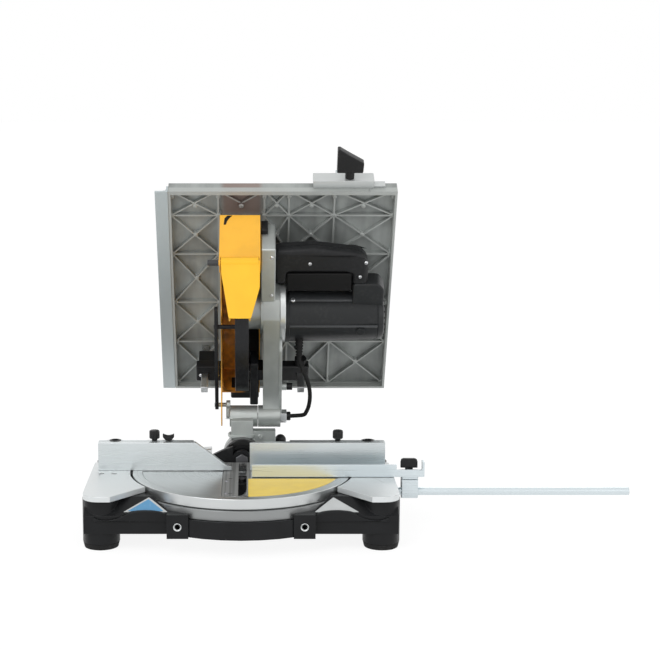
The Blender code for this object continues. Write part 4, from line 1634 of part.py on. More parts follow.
def build_top_guard(table_anchor: bpy.types.Object, guard_anchor: bpy.types.Object) -> None:
    """The cover over the blade above the table, hinged on a small bracket at its rear."""
    base_up = PLATE_TOP_UP + TOP_GUARD_CLEARANCE
    length = TOP_GUARD_FRONT - TOP_GUARD_REAR
    height = TOP_GUARD_TOP_UP - base_up
    crown = [(TOP_GUARD_REAR + length * along, base_up + height * up) for along,
             up in TOP_GUARD_CROWN_SHARES]
    outline = [(TOP_GUARD_HEEL, base_up), (TOP_GUARD_REAR, TOP_GUARD_HINGE_UP)] + crown
    outline.append((TOP_GUARD_FRONT, base_up))
    guard = slab([side_view(outline)], -TOP_GUARD_HALF_WIDTH, TOP_GUARD_HALF_WIDTH, "X")
    t = TOP_GUARD_WALL
    inner_crown = [(forward, up - t * 1.4) for forward, up in crown[1:-1]]
    room = [(TOP_GUARD_HEEL + t, base_up - OVERRUN), (crown[0][0] + t, crown[0][1] - t)] + inner_crown
    room.append((TOP_GUARD_FRONT - t * 2, base_up - OVERRUN))
    half = TOP_GUARD_HALF_WIDTH - t
    carve(guard, slab([side_view(room)], -half, half, "X"))
    hinge = (-TOP_GUARD_HINGE_FORWARD, TOP_GUARD_HINGE_UP)
    carve(guard, drum(TOP_GUARD_PIN_RADIUS + RUNNING_CLEARANCE, -TOP_GUARD_HALF_WIDTH * 2,
                      TOP_GUARD_HALF_WIDTH * 2, "X", hinge, TINY_SIDES))
    place_part(guard, "top_guard", "black_plastic", guard_anchor)

    seat = PLATE_TOP_UP + GAP
    inner = TOP_GUARD_HALF_WIDTH + GAP
    outer = inner + TOP_BRACKET_CHEEK
    top = TOP_GUARD_HINGE_UP + TOP_GUARD_PIN_RADIUS * 2.5
    bracket = box((-outer, -TOP_BRACKET_FRONT, seat), (outer, -TOP_BRACKET_REAR, top))
    carve(bracket, box((-inner, -TOP_BRACKET_FRONT - OVERRUN, seat + TOP_GUARD_WALL),
                       (inner, -TOP_BRACKET_REAR + OVERRUN, top + OVERRUN)))
    fuse(bracket, drum(TOP_GUARD_PIN_RADIUS, -outer + SINK, outer - SINK, "X", hinge, TINY_SIDES))
    place_part(bracket, "top_guard_bracket", "steel", table_anchor)


def build_rip_fence(anchor: bpy.types.Object, clamp_anchor: bpy.types.Object) -> None:
    """The rip fence: a hollow bar on the table, the head on the table's front edge and its clamp."""
    seat = PLATE_TOP_UP + GAP
    top = seat + RIP_BAR_HEIGHT
    w = RIP_BAR_WALL
    bar = slab([[(RIP_BAR_LEFT_X, seat), (RIP_BAR_RIGHT_X, seat), (RIP_BAR_RIGHT_X, top),
                 (RIP_BAR_LEFT_X, top)], [(RIP_BAR_LEFT_X + w, seat + w), (RIP_BAR_RIGHT_X - w,
                                                                           seat + w),
                                          (RIP_BAR_RIGHT_X - w, top - w), (RIP_BAR_LEFT_X + w,
                                                                           top - w)]], -PLATE_FRONT,
               -RIP_BAR_REAR, "Y")
    place_part(bar, "rip_fence_bar", "bright_aluminium", anchor)

    back = PLATE_FRONT + GAP
    head = box((RIP_HEAD_LEFT_X, -RIP_HEAD_FRONT, RIP_HEAD_BOTTOM_UP), (RIP_HEAD_RIGHT_X, -back,
                                                                        RIP_HEAD_TOP_UP))
    groove = (RIP_HEAD_FRONT - back) / 3
    carve(head, box((RIP_HEAD_LEFT_X - OVERRUN, -back - groove, RIP_HEAD_BOTTOM_UP + groove),
                    (RIP_HEAD_RIGHT_X + OVERRUN, -back + OVERRUN, PLATE_TOP_UP - groove)))
    fuse(head, box((RIP_HEAD_RIGHT_X - SINK, -back - RIP_SHELF_THICKNESS, RIP_HEAD_BOTTOM_UP + SINK),
                   (RIP_SHELF_RIGHT_X, -back, PLATE_TOP_UP)))
    place_part(head, "rip_fence_head", "bright_aluminium", anchor)

    stem_start = RIP_HEAD_FRONT + GAP
    stem_end = stem_start + RIP_STEM_LENGTH
    clamp = drum(RIP_STEM_RADIUS, -stem_end - SINK, -stem_start, "Y", (RIP_STEM_X, RIP_STEM_UP),
                 SMALL_SIDES)
    outline = [(RIP_STEM_X + x * RIP_CLAMP_WIDTH, -stem_end - forward * RIP_CLAMP_HEIGHT)
               for x, forward in RIP_CLAMP_SHARES]
    wedge = slab([outline], RIP_STEM_UP - RIP_CLAMP_THICKNESS / 2,
                 RIP_STEM_UP + RIP_CLAMP_THICKNESS / 2, "Z")
    fuse(clamp, soften(wedge, SINK * 2, 2, 60))
    place_part(clamp, "rip_fence_clamp", "black_plastic", clamp_anchor)


def build_pivot_hardware(head: bpy.types.Object, lock_anchor: bpy.types.Object) -> None:
    """The arm's pivot bolt and the pin that locks the head down."""
    left = BARREL_LEFT_X - LINK_EAR_THICKNESS
    right = BARREL_RIGHT_X + GAP
    bolt = drum(PIN_RADIUS, left, right + SINK, "X", (0, 0), SMALL_SIDES)
    fuse(bolt, drum(PIN_HEAD_RADIUS, right, right + PIN_HEAD_LENGTH, "X", (0, 0), 6))
    place_part(bolt, "pivot_bolt", "steel", head)

    place = (-LOCK_FORWARD, LOCK_UP)
    body_end = ARM_RIGHT_X + LOCK_BODY_LENGTH
    plunger_end = body_end + GAP + LOCK_KNOB_LENGTH
    plunger = drum(LOCK_PLUNGER_RADIUS, ARM_RIGHT_X - LOCK_NOSE, plunger_end, "X", place, TINY_SIDES)
    fuse(plunger, drum(LOCK_KNOB_RADIUS, body_end + GAP, plunger_end + SINK, "X", place, SMALL_SIDES))
    place_part(plunger, "head_lock_plunger", "steel", lock_anchor)


def smooth_route(points, steps: int) -> list:
    """Points read from a smooth curve (Catmull-Rom) through the route's own points."""
    padded = [2 * points[0] - points[1], *points, 2 * points[-1] - points[-2]]
    route = []
    for number in range(len(points) - 1):
        p0, p1, p2, p3 = padded[number:number + 4]
        for step in range(steps):
            t = step / steps
            route.append(0.5 * (2 * p1 + (p2 - p0) * t + (2 * p0 - 5 * p1 + 4 * p2 - p3) * t ** 2
                                + (3 * p1 - p0 - 3 * p2 + p3) * t ** 3))
    return route + [points[-1]]


def build_lead(head: bpy.types.Object) -> None:
    """The motor lead: a tapered strain relief, and the lead itself down to the pivot's clip."""
    away = Vector((0, -RELIEF_FORWARD_SHARE, RELIEF_UP_SHARE)).normalized()
    surface = Vector((LEAD_X, -MOTOR_FORWARD, MOTOR_UP)) + away * (MOTOR_RADIUS + SINK)
    relief = drum(RELIEF_RADIUS, 0, RELIEF_LENGTH, "Z", (0, 0), SMALL_SIDES, RELIEF_TIP_RADIUS)
    turn = Vector((0, 0, 1)).rotation_difference(away).to_matrix().to_4x4()
    relief.data.transform(Matrix.Translation(surface) @ turn)
    start = surface + away * (RELIEF_LENGTH - SINK)
    lead_in = start + away * LEAD_RADIUS * 2
    clip_start = BARREL_RIGHT_X + PIN_HEAD_LENGTH + GAP * 2
    clip_end = clip_start + LEAD_CLIP_LENGTH - SINK
    clip = drum(LEAD_CLIP_RADIUS, clip_start, clip_start + LEAD_CLIP_LENGTH, "X", (0, 0), SMALL_SIDES)
    points = [start, lead_in] + [Vector((x, -forward, up)) for x, forward, up in LEAD_POINTS[1:]]
    points.append(Vector((clip_end, 0, 0)))
    curve = bpy.data.curves.new("lead", "CURVE")
    curve.dimensions = "3D"
    curve.bevel_depth = LEAD_RADIUS
    curve.bevel_resolution = 1
    curve.use_fill_caps = True
    route = smooth_route(points, LEAD_STEPS)
    spline = curve.splines.new("POLY")
    spline.points.add(len(route) - 1)
    for point, place in zip(spline.points, route):
        point.co = (*place, 1)
    drawn = work_object("lead", curve)
    mesh = evaluated_mesh(drawn)
    bpy.data.objects.remove(drawn)
    place_part(fuse(work_object("lead", mesh), relief, clip), "motor_lead", "rubber", head)


def build_length_stop(base: bpy.types.Object, stop_anchor: bpy.types.Object,
                      screw_anchor: bpy.types.Object) -> None:
    """The rod in the base's side, and the bracket that slides on it with its guide and wing screw."""
    rod = drum(ROD_RADIUS, ROD_START_X, ROD_END_X, "X", (ROD_Y, ROD_Z), MEDIUM_SIDES)
    place_part(rod, "stop_rod", "bright_aluminium", base)

    sleeve = drum(SLEEVE_RADIUS, SLEEVE_LEFT_X, SLEEVE_RIGHT_X, "X", (ROD_Y, ROD_Z), MEDIUM_SIDES)
    fuse(sleeve, box((SLEEVE_LEFT_X, ROD_Y - SLEEVE_RADIUS, ROD_Z), (SLEEVE_RIGHT_X, ROD_Y + SLEEVE_RADIUS,
                                                                     SLEEVE_TOP)))
    carve(sleeve, drum(ROD_RADIUS + SLEEVE_CLEARANCE, SLEEVE_LEFT_X - OVERRUN, SLEEVE_RIGHT_X + OVERRUN,
                       "X", (ROD_Y, ROD_Z), MEDIUM_SIDES))
    screw_bottom = ROD_Z + ROD_RADIUS + GAP * 2
    screw_fit = WING_SCREW_RADIUS + RUNNING_CLEARANCE
    carve(sleeve, drum(screw_fit, screw_bottom - SINK, SLEEVE_TOP + OVERRUN, "Z", (WING_SCREW_X, ROD_Y),
                       SMALL_SIDES))
    place_part(sleeve, "stop_sleeve", "bright_aluminium", stop_anchor)

    floor = TABLE_TOP + GAP * 2
    flange_top = floor + GUIDE_PROFILE_THICKNESS
    t = GUIDE_PROFILE_THICKNESS
    front = GUIDE_PROFILE_Y
    guide = box((GUIDE_PROFILE_LEFT_X, front, floor),
                (GUIDE_PROFILE_RIGHT_X, front + GUIDE_PROFILE_DEPTH + t * 2, flange_top))
    fuse(guide, slab([[(GUIDE_PROFILE_LEFT_X, floor + SINK), (GUIDE_PROFILE_RIGHT_X, floor + SINK),
                       (GUIDE_PROFILE_RIGHT_X, floor + GUIDE_PROFILE_LOW_HEIGHT),
                       (GUIDE_PROFILE_STEP_X, floor + GUIDE_PROFILE_LOW_HEIGHT),
                       (GUIDE_PROFILE_STEP_X, floor + GUIDE_PROFILE_HEIGHT),
                       (GUIDE_PROFILE_LEFT_X, floor + GUIDE_PROFILE_HEIGHT)]], front, front + t, "Y"))
    fuse(guide, box((GUIDE_PROFILE_RIGHT_X - t, front, floor), (GUIDE_PROFILE_RIGHT_X,
                                                                front + GUIDE_PROFILE_DEPTH,
                                                                floor + GUIDE_LIP_HEIGHT)))
    carve(guide, drum(screw_fit, floor - OVERRUN, flange_top + OVERRUN, "Z", (WING_SCREW_X, ROD_Y),
                      SMALL_SIDES))
    fuse(guide, slab([rounded((SLEEVE_LEFT_X, ROD_Y - SLEEVE_RADIUS * 0.8), (SLEEVE_RIGHT_X,
                                                                             ROD_Y + SLEEVE_RADIUS),
                              SINK, 2), circle((WING_SCREW_X, ROD_Y), screw_fit, SMALL_SIDES)],
                     SLEEVE_TOP + GAP, floor + SINK, "Z"))
    place_part(guide, "stop_guide", "bright_aluminium", stop_anchor)

    seat = flange_top + GAP
    hub_top = seat + WING_SCREW_HUB_HEIGHT
    screw = drum(WING_SCREW_RADIUS, screw_bottom, seat + SINK, "Z", (WING_SCREW_X, ROD_Y), SMALL_SIDES)
    fuse(screw, drum(WING_SCREW_HUB_RADIUS, seat, hub_top, "Z", (WING_SCREW_X, ROD_Y), SMALL_SIDES))
    half = WING_SCREW_SPAN / 2
    low, high = seat + WING_SCREW_WING_START, seat + WING_SCREW_WING_HEIGHT
    wings = slab([[(WING_SCREW_X - half, low), (WING_SCREW_X + half, low), (WING_SCREW_X + half, high),
                   (WING_SCREW_X + half / 3, hub_top + SINK * 3), (WING_SCREW_X - half / 3,
                                                                   hub_top + SINK * 3),
                   (WING_SCREW_X - half, high)]], ROD_Y - WING_KNOB_THICKNESS / 2,
                 ROD_Y + WING_KNOB_THICKNESS / 2, "Y")
    fuse(screw, wings)
    place_part(screw, "stop_wing_screw", "black_plastic", screw_anchor)


def centre_on_floor(root: bpy.types.Object) -> None:
    """Move the saw so that its bounding box stands on the origin."""
    bpy.context.view_layer.update()
    corners = [thing.matrix_world @ vert.co for thing in SAW.objects if thing.type == "MESH"
               for vert in thing.data.vertices]
    low = [min(corner[axis] for corner in corners) for axis in range(3)]
    high = [max(corner[axis] for corner in corners) for axis in range(3)]
    root.location = (-(low[0] + high[0]) / 2, -(low[1] + high[1]) / 2, -low[2])


def build_saw() -> None:
    """Build every piece on the empty that carries it."""
    root = new_anchor("saw_frame", (0, 0, 0), None)
    turntable = new_anchor("turntable_axis", (0, 0, TABLE_TOP), root)
    bevel = new_anchor("bevel_axis", (0, TILT_FRONT_Y, TABLE_TOP), turntable)
    lever = new_anchor("bevel_lever_axis", (0, TILT_REAR_Y, TABLE_TOP), bevel)
    head = new_anchor("head_pivot", (0, PIVOT_Y, PIVOT_Z), bevel, -math.radians(HEAD_RAISED),
                      own_frame=True)
    arbor_place = (0, -ARBOR_FORWARD, ARBOR_UP)
    knob_z = TABLE_TOP + FENCE_HEIGHT
    fence_knobs = {"left_knob": new_anchor("left_knob_axis", (LEFT_KNOB_X, KNOB_Y, knob_z), root),
                   "right_knob": new_anchor("right_knob_axis", (RIGHT_KNOB_X, KNOB_Y, knob_z), root),
                   "wing_knob": new_anchor("wing_knob_axis", (WING_KNOB_X, KNOB_Y, knob_z), root)}
    spindle = new_anchor("spindle_axis", arbor_place, head)
    armature = new_anchor("armature_axis", (0, -MOTOR_FORWARD, MOTOR_UP), head)
    lower_guard = new_anchor("lower_guard_axis", arbor_place, head)
    flap = new_anchor("flap_axis", (0, -FLAP_FORWARD, FLAP_UP), head)
    link_ear = polar((0, 0), LINK_ARM_RADIUS, LINK_ARM_ANGLE - HEAD_RAISED)
    link = new_anchor("link_axis", (0, -link_ear[0], link_ear[1]), head)
    trigger = new_anchor("trigger_travel", (TRIGGER_LEFT_X, -TRIGGER_REAR, HANDLE_UP), head)
    button = new_anchor("button_travel", (BUTTON_X, -BUTTON_FORWARD, HANDLE_UP), head)
    table = new_anchor("table_lift", (0, -POST_FORWARD, PLATE_TOP_UP), head)
    table_knob = new_anchor("table_knob_axis", (RIGHT_POST_X, -POST_FORWARD,
                                                (GUIDE_BOTTOM_UP + GUIDE_TOP_UP) / 2), head)
    top_guard = new_anchor("top_guard_axis", (0, -TOP_GUARD_HINGE_FORWARD, TOP_GUARD_HINGE_UP), table)
    rip_fence = new_anchor("rip_fence_travel", (RIP_STEM_X, -PLATE_FRONT, PLATE_TOP_UP), table)
    rip_clamp = new_anchor("rip_clamp_axis", (RIP_STEM_X, -RIP_HEAD_FRONT, RIP_STEM_UP), rip_fence)
    lock = new_anchor("lock_pin_travel", (LOCK_X, -LOCK_FORWARD, LOCK_UP), head)
    stop = new_anchor("length_stop_travel", (SLEEVE_LEFT_X, ROD_Y, ROD_Z), root)
    stop_screw = new_anchor("stop_screw_axis", (WING_SCREW_X, ROD_Y, SLEEVE_TOP), stop)

    build_base(root)
    build_wings(root)
    build_fences(root)
    build_fence_knobs(fence_knobs)
    build_turntable(turntable)
    build_tilt_bracket(bevel, lever)
    build_arm(head)
    build_drive(spindle, armature, head)
    build_motor(head)
    build_handle(head, trigger, button)
    build_blade(spindle)
    build_fixed_guard(head)
    build_flap(flap)
    build_lower_guard(lower_guard, link, head)
    build_riving_knife(head)
    build_upper_table(table)
    build_table_guides(head, table_knob)
    build_top_guard(table, top_guard)
    build_rip_fence(rip_fence, rip_clamp)
    build_pivot_hardware(head, lock)
    build_lead(head)
    build_length_stop(root, stop, stop_screw)
    centre_on_floor(root)


clear_scene()
SAW = new_collection("combined_mitre_saw")
WORK = new_collection("workpieces")
MATERIALS = {name: new_material(name) for name in COLOURS}
build_saw()
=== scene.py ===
"""Finishes and fine forms of a combined mitre and table saw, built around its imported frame.

Lengths are metres. The row frame has +Z up and the operator's side at -Y. Two local frames
are used: the base's, about the turntable's axis, and the head's, about the head's pivot.
"""

import json
import logging
import math
from dataclasses import dataclass, field
from enum import Enum
from typing import Any, Callable, Iterable, Sequence

import bmesh
import bpy
import numpy as np
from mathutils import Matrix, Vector
from mathutils.bvhtree import BVHTree

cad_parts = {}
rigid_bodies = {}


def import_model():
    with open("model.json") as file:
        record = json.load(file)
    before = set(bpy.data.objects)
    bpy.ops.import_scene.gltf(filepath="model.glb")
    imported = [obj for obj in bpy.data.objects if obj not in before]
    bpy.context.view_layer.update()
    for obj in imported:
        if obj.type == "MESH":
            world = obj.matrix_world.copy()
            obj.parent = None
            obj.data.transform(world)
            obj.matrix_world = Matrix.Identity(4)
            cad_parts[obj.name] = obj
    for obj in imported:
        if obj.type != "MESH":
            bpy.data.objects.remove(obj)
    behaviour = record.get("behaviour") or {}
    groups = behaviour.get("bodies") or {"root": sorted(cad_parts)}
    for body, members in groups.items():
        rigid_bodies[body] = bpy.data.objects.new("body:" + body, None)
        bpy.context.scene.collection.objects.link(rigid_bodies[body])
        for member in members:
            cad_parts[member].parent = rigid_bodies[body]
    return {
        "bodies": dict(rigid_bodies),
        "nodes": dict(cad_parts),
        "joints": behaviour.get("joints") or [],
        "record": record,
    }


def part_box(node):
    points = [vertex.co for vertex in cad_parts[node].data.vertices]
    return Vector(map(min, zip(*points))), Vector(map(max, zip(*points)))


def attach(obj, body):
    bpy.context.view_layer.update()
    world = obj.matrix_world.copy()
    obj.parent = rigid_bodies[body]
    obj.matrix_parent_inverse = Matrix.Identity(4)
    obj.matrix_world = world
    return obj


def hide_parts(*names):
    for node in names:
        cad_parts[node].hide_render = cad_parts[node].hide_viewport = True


LOG = logging.getLogger("saw")
Array = np.ndarray
WELD = 1e-5
SHARP = math.radians(32)
FLAT = math.radians(0.8)
HEAD_LEAN = math.radians(61)
BLACK_PAINT = (0.006, 0.006, 0.0065)
FINE_EDGE = 0.0004
EDGE = 0.0005
SOFT_EDGE = 0.0008
SCREW_RADIUS = 0.0030
DIVIDED = 2
UNDIVIDED = 0


class Axis(Enum):
    """The direction that a surface's fine lines follow."""

    X = (1.0, 0.0, 0.0)
    Y = (0.0, 1.0, 0.0)
    Z = (0.0, 0.0, 1.0)


# ---- shader maths


class Value:
    """One output of a shader node; arithmetic on it adds Math nodes."""

    def __init__(self, graph: "Graph", socket: bpy.types.NodeSocket) -> None:
        """Keeps the graph that new nodes go to."""
        self.graph = graph
        self.socket = socket

    def math(self, operation: str, *others: Any) -> "Value":
        """Adds a Math node.

        Args:
            operation: the Math node's operation.
            others: values or numbers for its other inputs.

        Returns:
            The node's result.
        """
        inputs = dict(enumerate((self, *others)))
        return self.graph.node("ShaderNodeMath", {"operation": operation}, inputs).out("Value")

    def __add__(self, other: Any) -> "Value":
        """self + other."""
        return self.math("ADD", other)

    def __sub__(self, other: Any) -> "Value":
        """self - other."""
        return self.math("SUBTRACT", other)

    def __rsub__(self, other: float) -> "Value":
        """other - self."""
        return self * -1 + other

    def __mul__(self, other: Any) -> "Value":
        """self * other."""
        return self.math("MULTIPLY", other)

    __radd__ = __add__
    __rmul__ = __mul__

    def rise(self, start: float, end: float) -> "Value":
        """A smooth step from 0 at start to 1 at end.

        Args:
            start: where the step begins.
            end: where it ends; below start for a falling step.

        Returns:
            The step, between 0 and 1.
        """
        low, high = min(start, end), max(start, end)
        node = self.graph.node("ShaderNodeMapRange", {"interpolation_type": "SMOOTHSTEP"},
                               {"Value": self, "From Min": low, "From Max": high})
        step = node.out("Result")
        return step if start < end else 1 - step


class Made:
    """A shader node just made."""

    def __init__(self, graph: "Graph", node: bpy.types.Node) -> None:
        """Keeps the node and its graph."""
        self.graph = graph
        self.node = node

    def out(self, name: str | int) -> Value:
        """The output of that name or number."""
        return Value(self.graph, self.node.outputs[name])


class Graph:
    """The node tree of a material or of the world."""

    def __init__(self, owner: bpy.types.Material | bpy.types.World) -> None:
        """Switches the owner's nodes on.

        Args:
            owner: the material or world that the nodes belong to.
        """
        self.owner = owner
        owner.use_nodes = True
        self.tree = owner.node_tree

    def known(self, name: str) -> Made:
        """A node that the tree starts with."""
        return Made(self, self.tree.nodes[name])

    def node(self, kind: str, settings: dict | None = None, inputs: dict | None = None) -> Made:
        """Adds any node.

        Args:
            kind: the node's type.
            settings: its properties, set first.
            inputs: numbers, colours or values for its sockets, by name or number.

        Returns:
            The node, ready for its outputs to be read.
        """
        made = self.tree.nodes.new(kind)
        for key, value in (settings or {}).items():
            setattr(made, key, value)
        for key, value in (inputs or {}).items():
            self.feed(made.inputs[key], value)
        return Made(self, made)

    def feed(self, socket: bpy.types.NodeSocket, value: Any) -> None:
        """Links a value to a socket, or sets a plain number or colour on it.

        Args:
            socket: the input.
            value: a value, a number, or a colour of three numbers.
        """
        if isinstance(value, Value):
            self.tree.links.new(value.socket, socket)
        elif isinstance(value, tuple) and len(value) == 3 and socket.type == "RGBA":
            socket.default_value = (*value, 1.0)
        else:
            socket.default_value = value

    def point(self) -> Value:
        """The place on the surface, in the row frame."""
        return self.node("ShaderNodeTexCoord").out("Object")

    def mapped(self, scale: Sequence[float], origin: Sequence[float] = (0, 0, 0),
               turn: Sequence[float] = (0, 0, 0)) -> Value:
        """The place on the surface about an origin, turned, then scaled per axis.

        Args:
            scale: the factor of each axis.
            origin: the point that the place is measured from.
            turn: Euler angles about that point.

        Returns:
            The vector.
        """
        moved = self.node("ShaderNodeVectorMath", {"operation": "SUBTRACT"},
                          {0: self.point(), 1: tuple(origin)}).out("Vector")
        return self.node("ShaderNodeMapping", {"vector_type": "POINT"},
                         {"Vector": self.turned(moved, turn), "Scale": tuple(scale)}).out("Vector")

    def turned(self, vector: Value, turn: Sequence[float]) -> Value:
        """A vector turned by Euler angles."""
        return self.node("ShaderNodeMapping", {"vector_type": "POINT"},
                         {"Vector": vector, "Rotation": tuple(turn)}).out("Vector")

    def in_head(self, origin: Sequence[float]) -> tuple[Value, Value, Value]:
        """How far right, back and high the place is, read along the head's axes."""
        return self.parts(self.mapped((1, 1, 1), origin, (HEAD_LEAN, 0, 0)))

    def parts(self, vector: Value) -> tuple[Value, Value, Value]:
        """The three numbers of a vector."""
        node = self.node("ShaderNodeSeparateXYZ", None, {"Vector": vector})
        return node.out("X"), node.out("Y"), node.out("Z")

    def noise(self, scale: float, detail: float = 2.0, where: Value | None = None) -> Value:
        """Soft noise between 0 and 1, scale per metre."""
        inputs = {"Vector": where or self.point(), "Scale": scale, "Detail": detail}
        return self.node("ShaderNodeTexNoise", {"noise_dimensions": "3D"}, inputs).out("Fac")

    def cells(self, scale: float, where: Value | None = None) -> Value:
        """Distance to the nearest of scattered points, scale per metre."""
        return self.node("ShaderNodeTexVoronoi", {"feature": "F1"},
                         {"Vector": where or self.point(), "Scale": scale}).out("Distance")

    def blend(self, first: Any, second: Any, share: Any) -> Value:
        """A colour between two others.

        Args:
            first: the colour where the share is 0.
            second: the colour where the share is 1.
            share: a value or a number.

        Returns:
            The blended colour.
        """
        node = self.node("ShaderNodeMix", {"data_type": "RGBA"})
        for key, value in ((0, share), (6, first), (7, second)):
            self.feed(node.node.inputs[key], value)
        return node.out(2)

    def relief(self, height: Value, depth: float, strength: float = 1.0) -> Value:
        """A bumped normal from a height between 0 and 1, depth in metres."""
        inputs = {"Height": height, "Distance": depth, "Strength": strength}
        return self.node("ShaderNodeBump", None, inputs).out("Normal")

    def dress(self, **sockets: Any) -> bpy.types.Material:
        """Sets the surface's sockets.

        Args:
            sockets: values by socket name, with underscores for spaces.

        Returns:
            The finished material.
        """
        surface = self.known("Principled BSDF").node
        for key, value in sockets.items():
            self.feed(surface.inputs[key.replace("_", " ")], value)
        return self.owner


# ---- finishes


@dataclass(frozen=True)
class Finish:
    """What every finish has: a name, a linear colour and a gloss."""

    name: str
    colour: tuple[float, float, float]
    roughness: float = 0.5
    metallic: float = 0.0

    def material(self) -> bpy.types.Material:
        """The finish's material, made once."""
        found = bpy.data.materials.get(self.name)
        return found or self.build(Graph(bpy.data.materials.new(self.name)))

    def build(self, graph: Graph) -> bpy.types.Material:
        """Makes the nodes; each kind of finish has its own."""
        raise NotImplementedError

    def shade(self, share: float) -> tuple[float, float, float]:
        """The colour made darker or lighter by a share."""
        return tuple(min(1.0, channel * share) for channel in self.colour)

    def painted(self, graph: Graph) -> Value | None:
        """Where the surface is painted black, 0 to 1, or None for nowhere."""
        return None

    def coated(self, graph: Graph, bare: Value) -> tuple[Value, Value | float]:
        """Lays the black paint over the bare surface.

        Args:
            graph: the material's nodes.
            bare: the bare surface's colour.

        Returns:
            The colour and the share of metal.
        """
        painted = self.painted(graph)
        if painted is None:
            return bare, self.metallic
        return graph.blend(bare, BLACK_PAINT, painted), (1 - painted) * self.metallic


@dataclass(frozen=True)
class Cast(Finish):
    """A casting, bare or painted: orange-peel grain and soft mottling."""

    grain: float = 900.0
    depth: float = 0.00012
    mottle: float = 0.25

    def build(self, graph: Graph) -> bpy.types.Material:
        """Mottled colour and roughness over a fine two-scale grain.

        Args:
            graph: the material's empty node tree.

        Returns:
            The finished material.
        """
        broad = graph.noise(22, 4)
        fine = graph.noise(self.grain, 3)
        grit = graph.cells(self.grain * 1.7)
        share = broad.rise(0.3, 0.7)
        bare = graph.blend(self.shade(1 - self.mottle), self.shade(1 + self.mottle), share)
        colour, metallic = self.coated(graph, bare)
        return graph.dress(Base_Color=colour, Metallic=metallic,
                           Normal=graph.relief(fine + grit * 0.5, self.depth),
                           Specular_IOR_Level=0.5 if self.metallic else 0.20,
                           Roughness=fine * 0.16 + broad * 0.10 + (self.roughness - 0.13))


@dataclass(frozen=True)
class PartPainted(Cast):
    """A casting that is painted black beyond three planes of the head's frame."""

    pivot: tuple[float, float, float] = (0.0, 0.0, 0.0)
    right_of: float = 0.0590
    under: float = 0.0510
    above: float = 0.0600
    soft: float = 0.0005

    def painted(self, graph: Graph) -> Value:
        """1 to the right of, short of and above the three planes.

        Args:
            graph: the material's nodes.

        Returns:
            The painted share.
        """
        across, back, height = graph.in_head(self.pivot)
        right = across.rise(self.right_of, self.right_of + self.soft)
        short = (back * -1).rise(self.under, self.under - self.soft)
        return right * short * height.rise(self.above, self.above + self.soft)


@dataclass(frozen=True)
class Drawn(Finish):
    """Metal with fine lines along one axis, as milled, drawn or brushed."""

    along: Axis = Axis.X
    lines: float = 1500.0
    depth: float = 0.00002
    stretched: float = 8.0

    def build(self, graph: Graph) -> bpy.types.Material:
        """Noise stretched along the lines, with a broad tone under it.

        Args:
            graph: the material's empty node tree.

        Returns:
            The finished material.
        """
        scale = tuple(self.stretched if part else self.lines for part in self.along.value)
        lines = graph.noise(1.0, 3, graph.mapped(scale))
        broad = graph.noise(14, 3)
        colour = graph.blend(self.shade(0.86), self.shade(1.08), lines * 0.6 + broad * 0.4)
        return graph.dress(Base_Color=colour, Metallic=self.metallic,
                           Normal=graph.relief(lines, self.depth),
                           Roughness=lines * 0.18 + broad * 0.08 + (self.roughness - 0.13))


@dataclass(frozen=True)
class Turned(Finish):
    """Metal turned or ground on a lathe: rings about an axis."""

    centre: tuple[float, float, float] = (0.0, 0.0, 0.0)
    about: Axis = Axis.Z
    rings: float = 1400.0
    depth: float = 0.00002
    stain: float = 0.12
    black_above: float | None = None
    soft: float = 0.0004

    def build(self, graph: Graph) -> bpy.types.Material:
        """Noise read along the distance from the axis.

        Args:
            graph: the material's empty node tree.

        Returns:
            The finished material.
        """
        flat = tuple(0.0 if part else 1.0 for part in self.about.value)
        across = graph.mapped(flat, self.centre)
        radius = graph.node("ShaderNodeVectorMath", {"operation": "LENGTH"},
                            {0: across}).out("Value")
        line = graph.node("ShaderNodeCombineXYZ", None, {"X": radius}).out("Vector")
        rings = graph.noise(self.rings, 3, line)
        wide = graph.noise(self.rings / 12, 2, line)
        broad = graph.noise(16, 4)
        share = rings * 0.5 + wide * 0.3 + broad * 0.2
        bare = graph.blend(self.shade(1 - self.stain), self.shade(1 + self.stain),
                           share.rise(0.3, 0.7))
        colour, metallic = self.coated(graph, bare)
        return graph.dress(Base_Color=colour, Metallic=metallic,
                           Normal=graph.relief(rings + wide * 0.5, self.depth),
                           Roughness=rings * 0.16 + broad * 0.12 + (self.roughness - 0.14))

    def painted(self, graph: Graph) -> Value | None:
        """1 above a height of the row frame, if one is given.

        Args:
            graph: the material's nodes.

        Returns:
            The painted share, or None for nowhere.
        """
        if self.black_above is None:
            return None
        height = graph.parts(graph.point())[2]
        return height.rise(self.black_above, self.black_above + self.soft)


@dataclass(frozen=True)
class Moulded(Finish):
    """Moulded plastic or rubber: a spark-eroded grain and rubbed, dusty patches."""

    grain: float = 2600.0
    depth: float = 0.00005
    dust: float = 0.5
    sheen: float = 0.28

    def build(self, graph: Graph) -> bpy.types.Material:
        """Cell grain, with dust where two noises meet.

        Args:
            graph: the material's empty node tree.

        Returns:
            The finished material.
        """
        cells = graph.cells(self.grain)
        broad = graph.noise(35, 4)
        patch = (broad * graph.noise(210, 2)).rise(0.22, 0.5)
        dusty = tuple(min(1.0, channel + 0.02 * self.dust) for channel in self.colour)
        colour = graph.blend(self.colour, dusty, patch)
        return graph.dress(Base_Color=colour, Metallic=self.metallic,
                           Specular_IOR_Level=self.sheen,
                           Normal=graph.relief(cells, self.depth, 0.8),
                           Roughness=broad * 0.14 + cells * 0.08 + (self.roughness - 0.1))


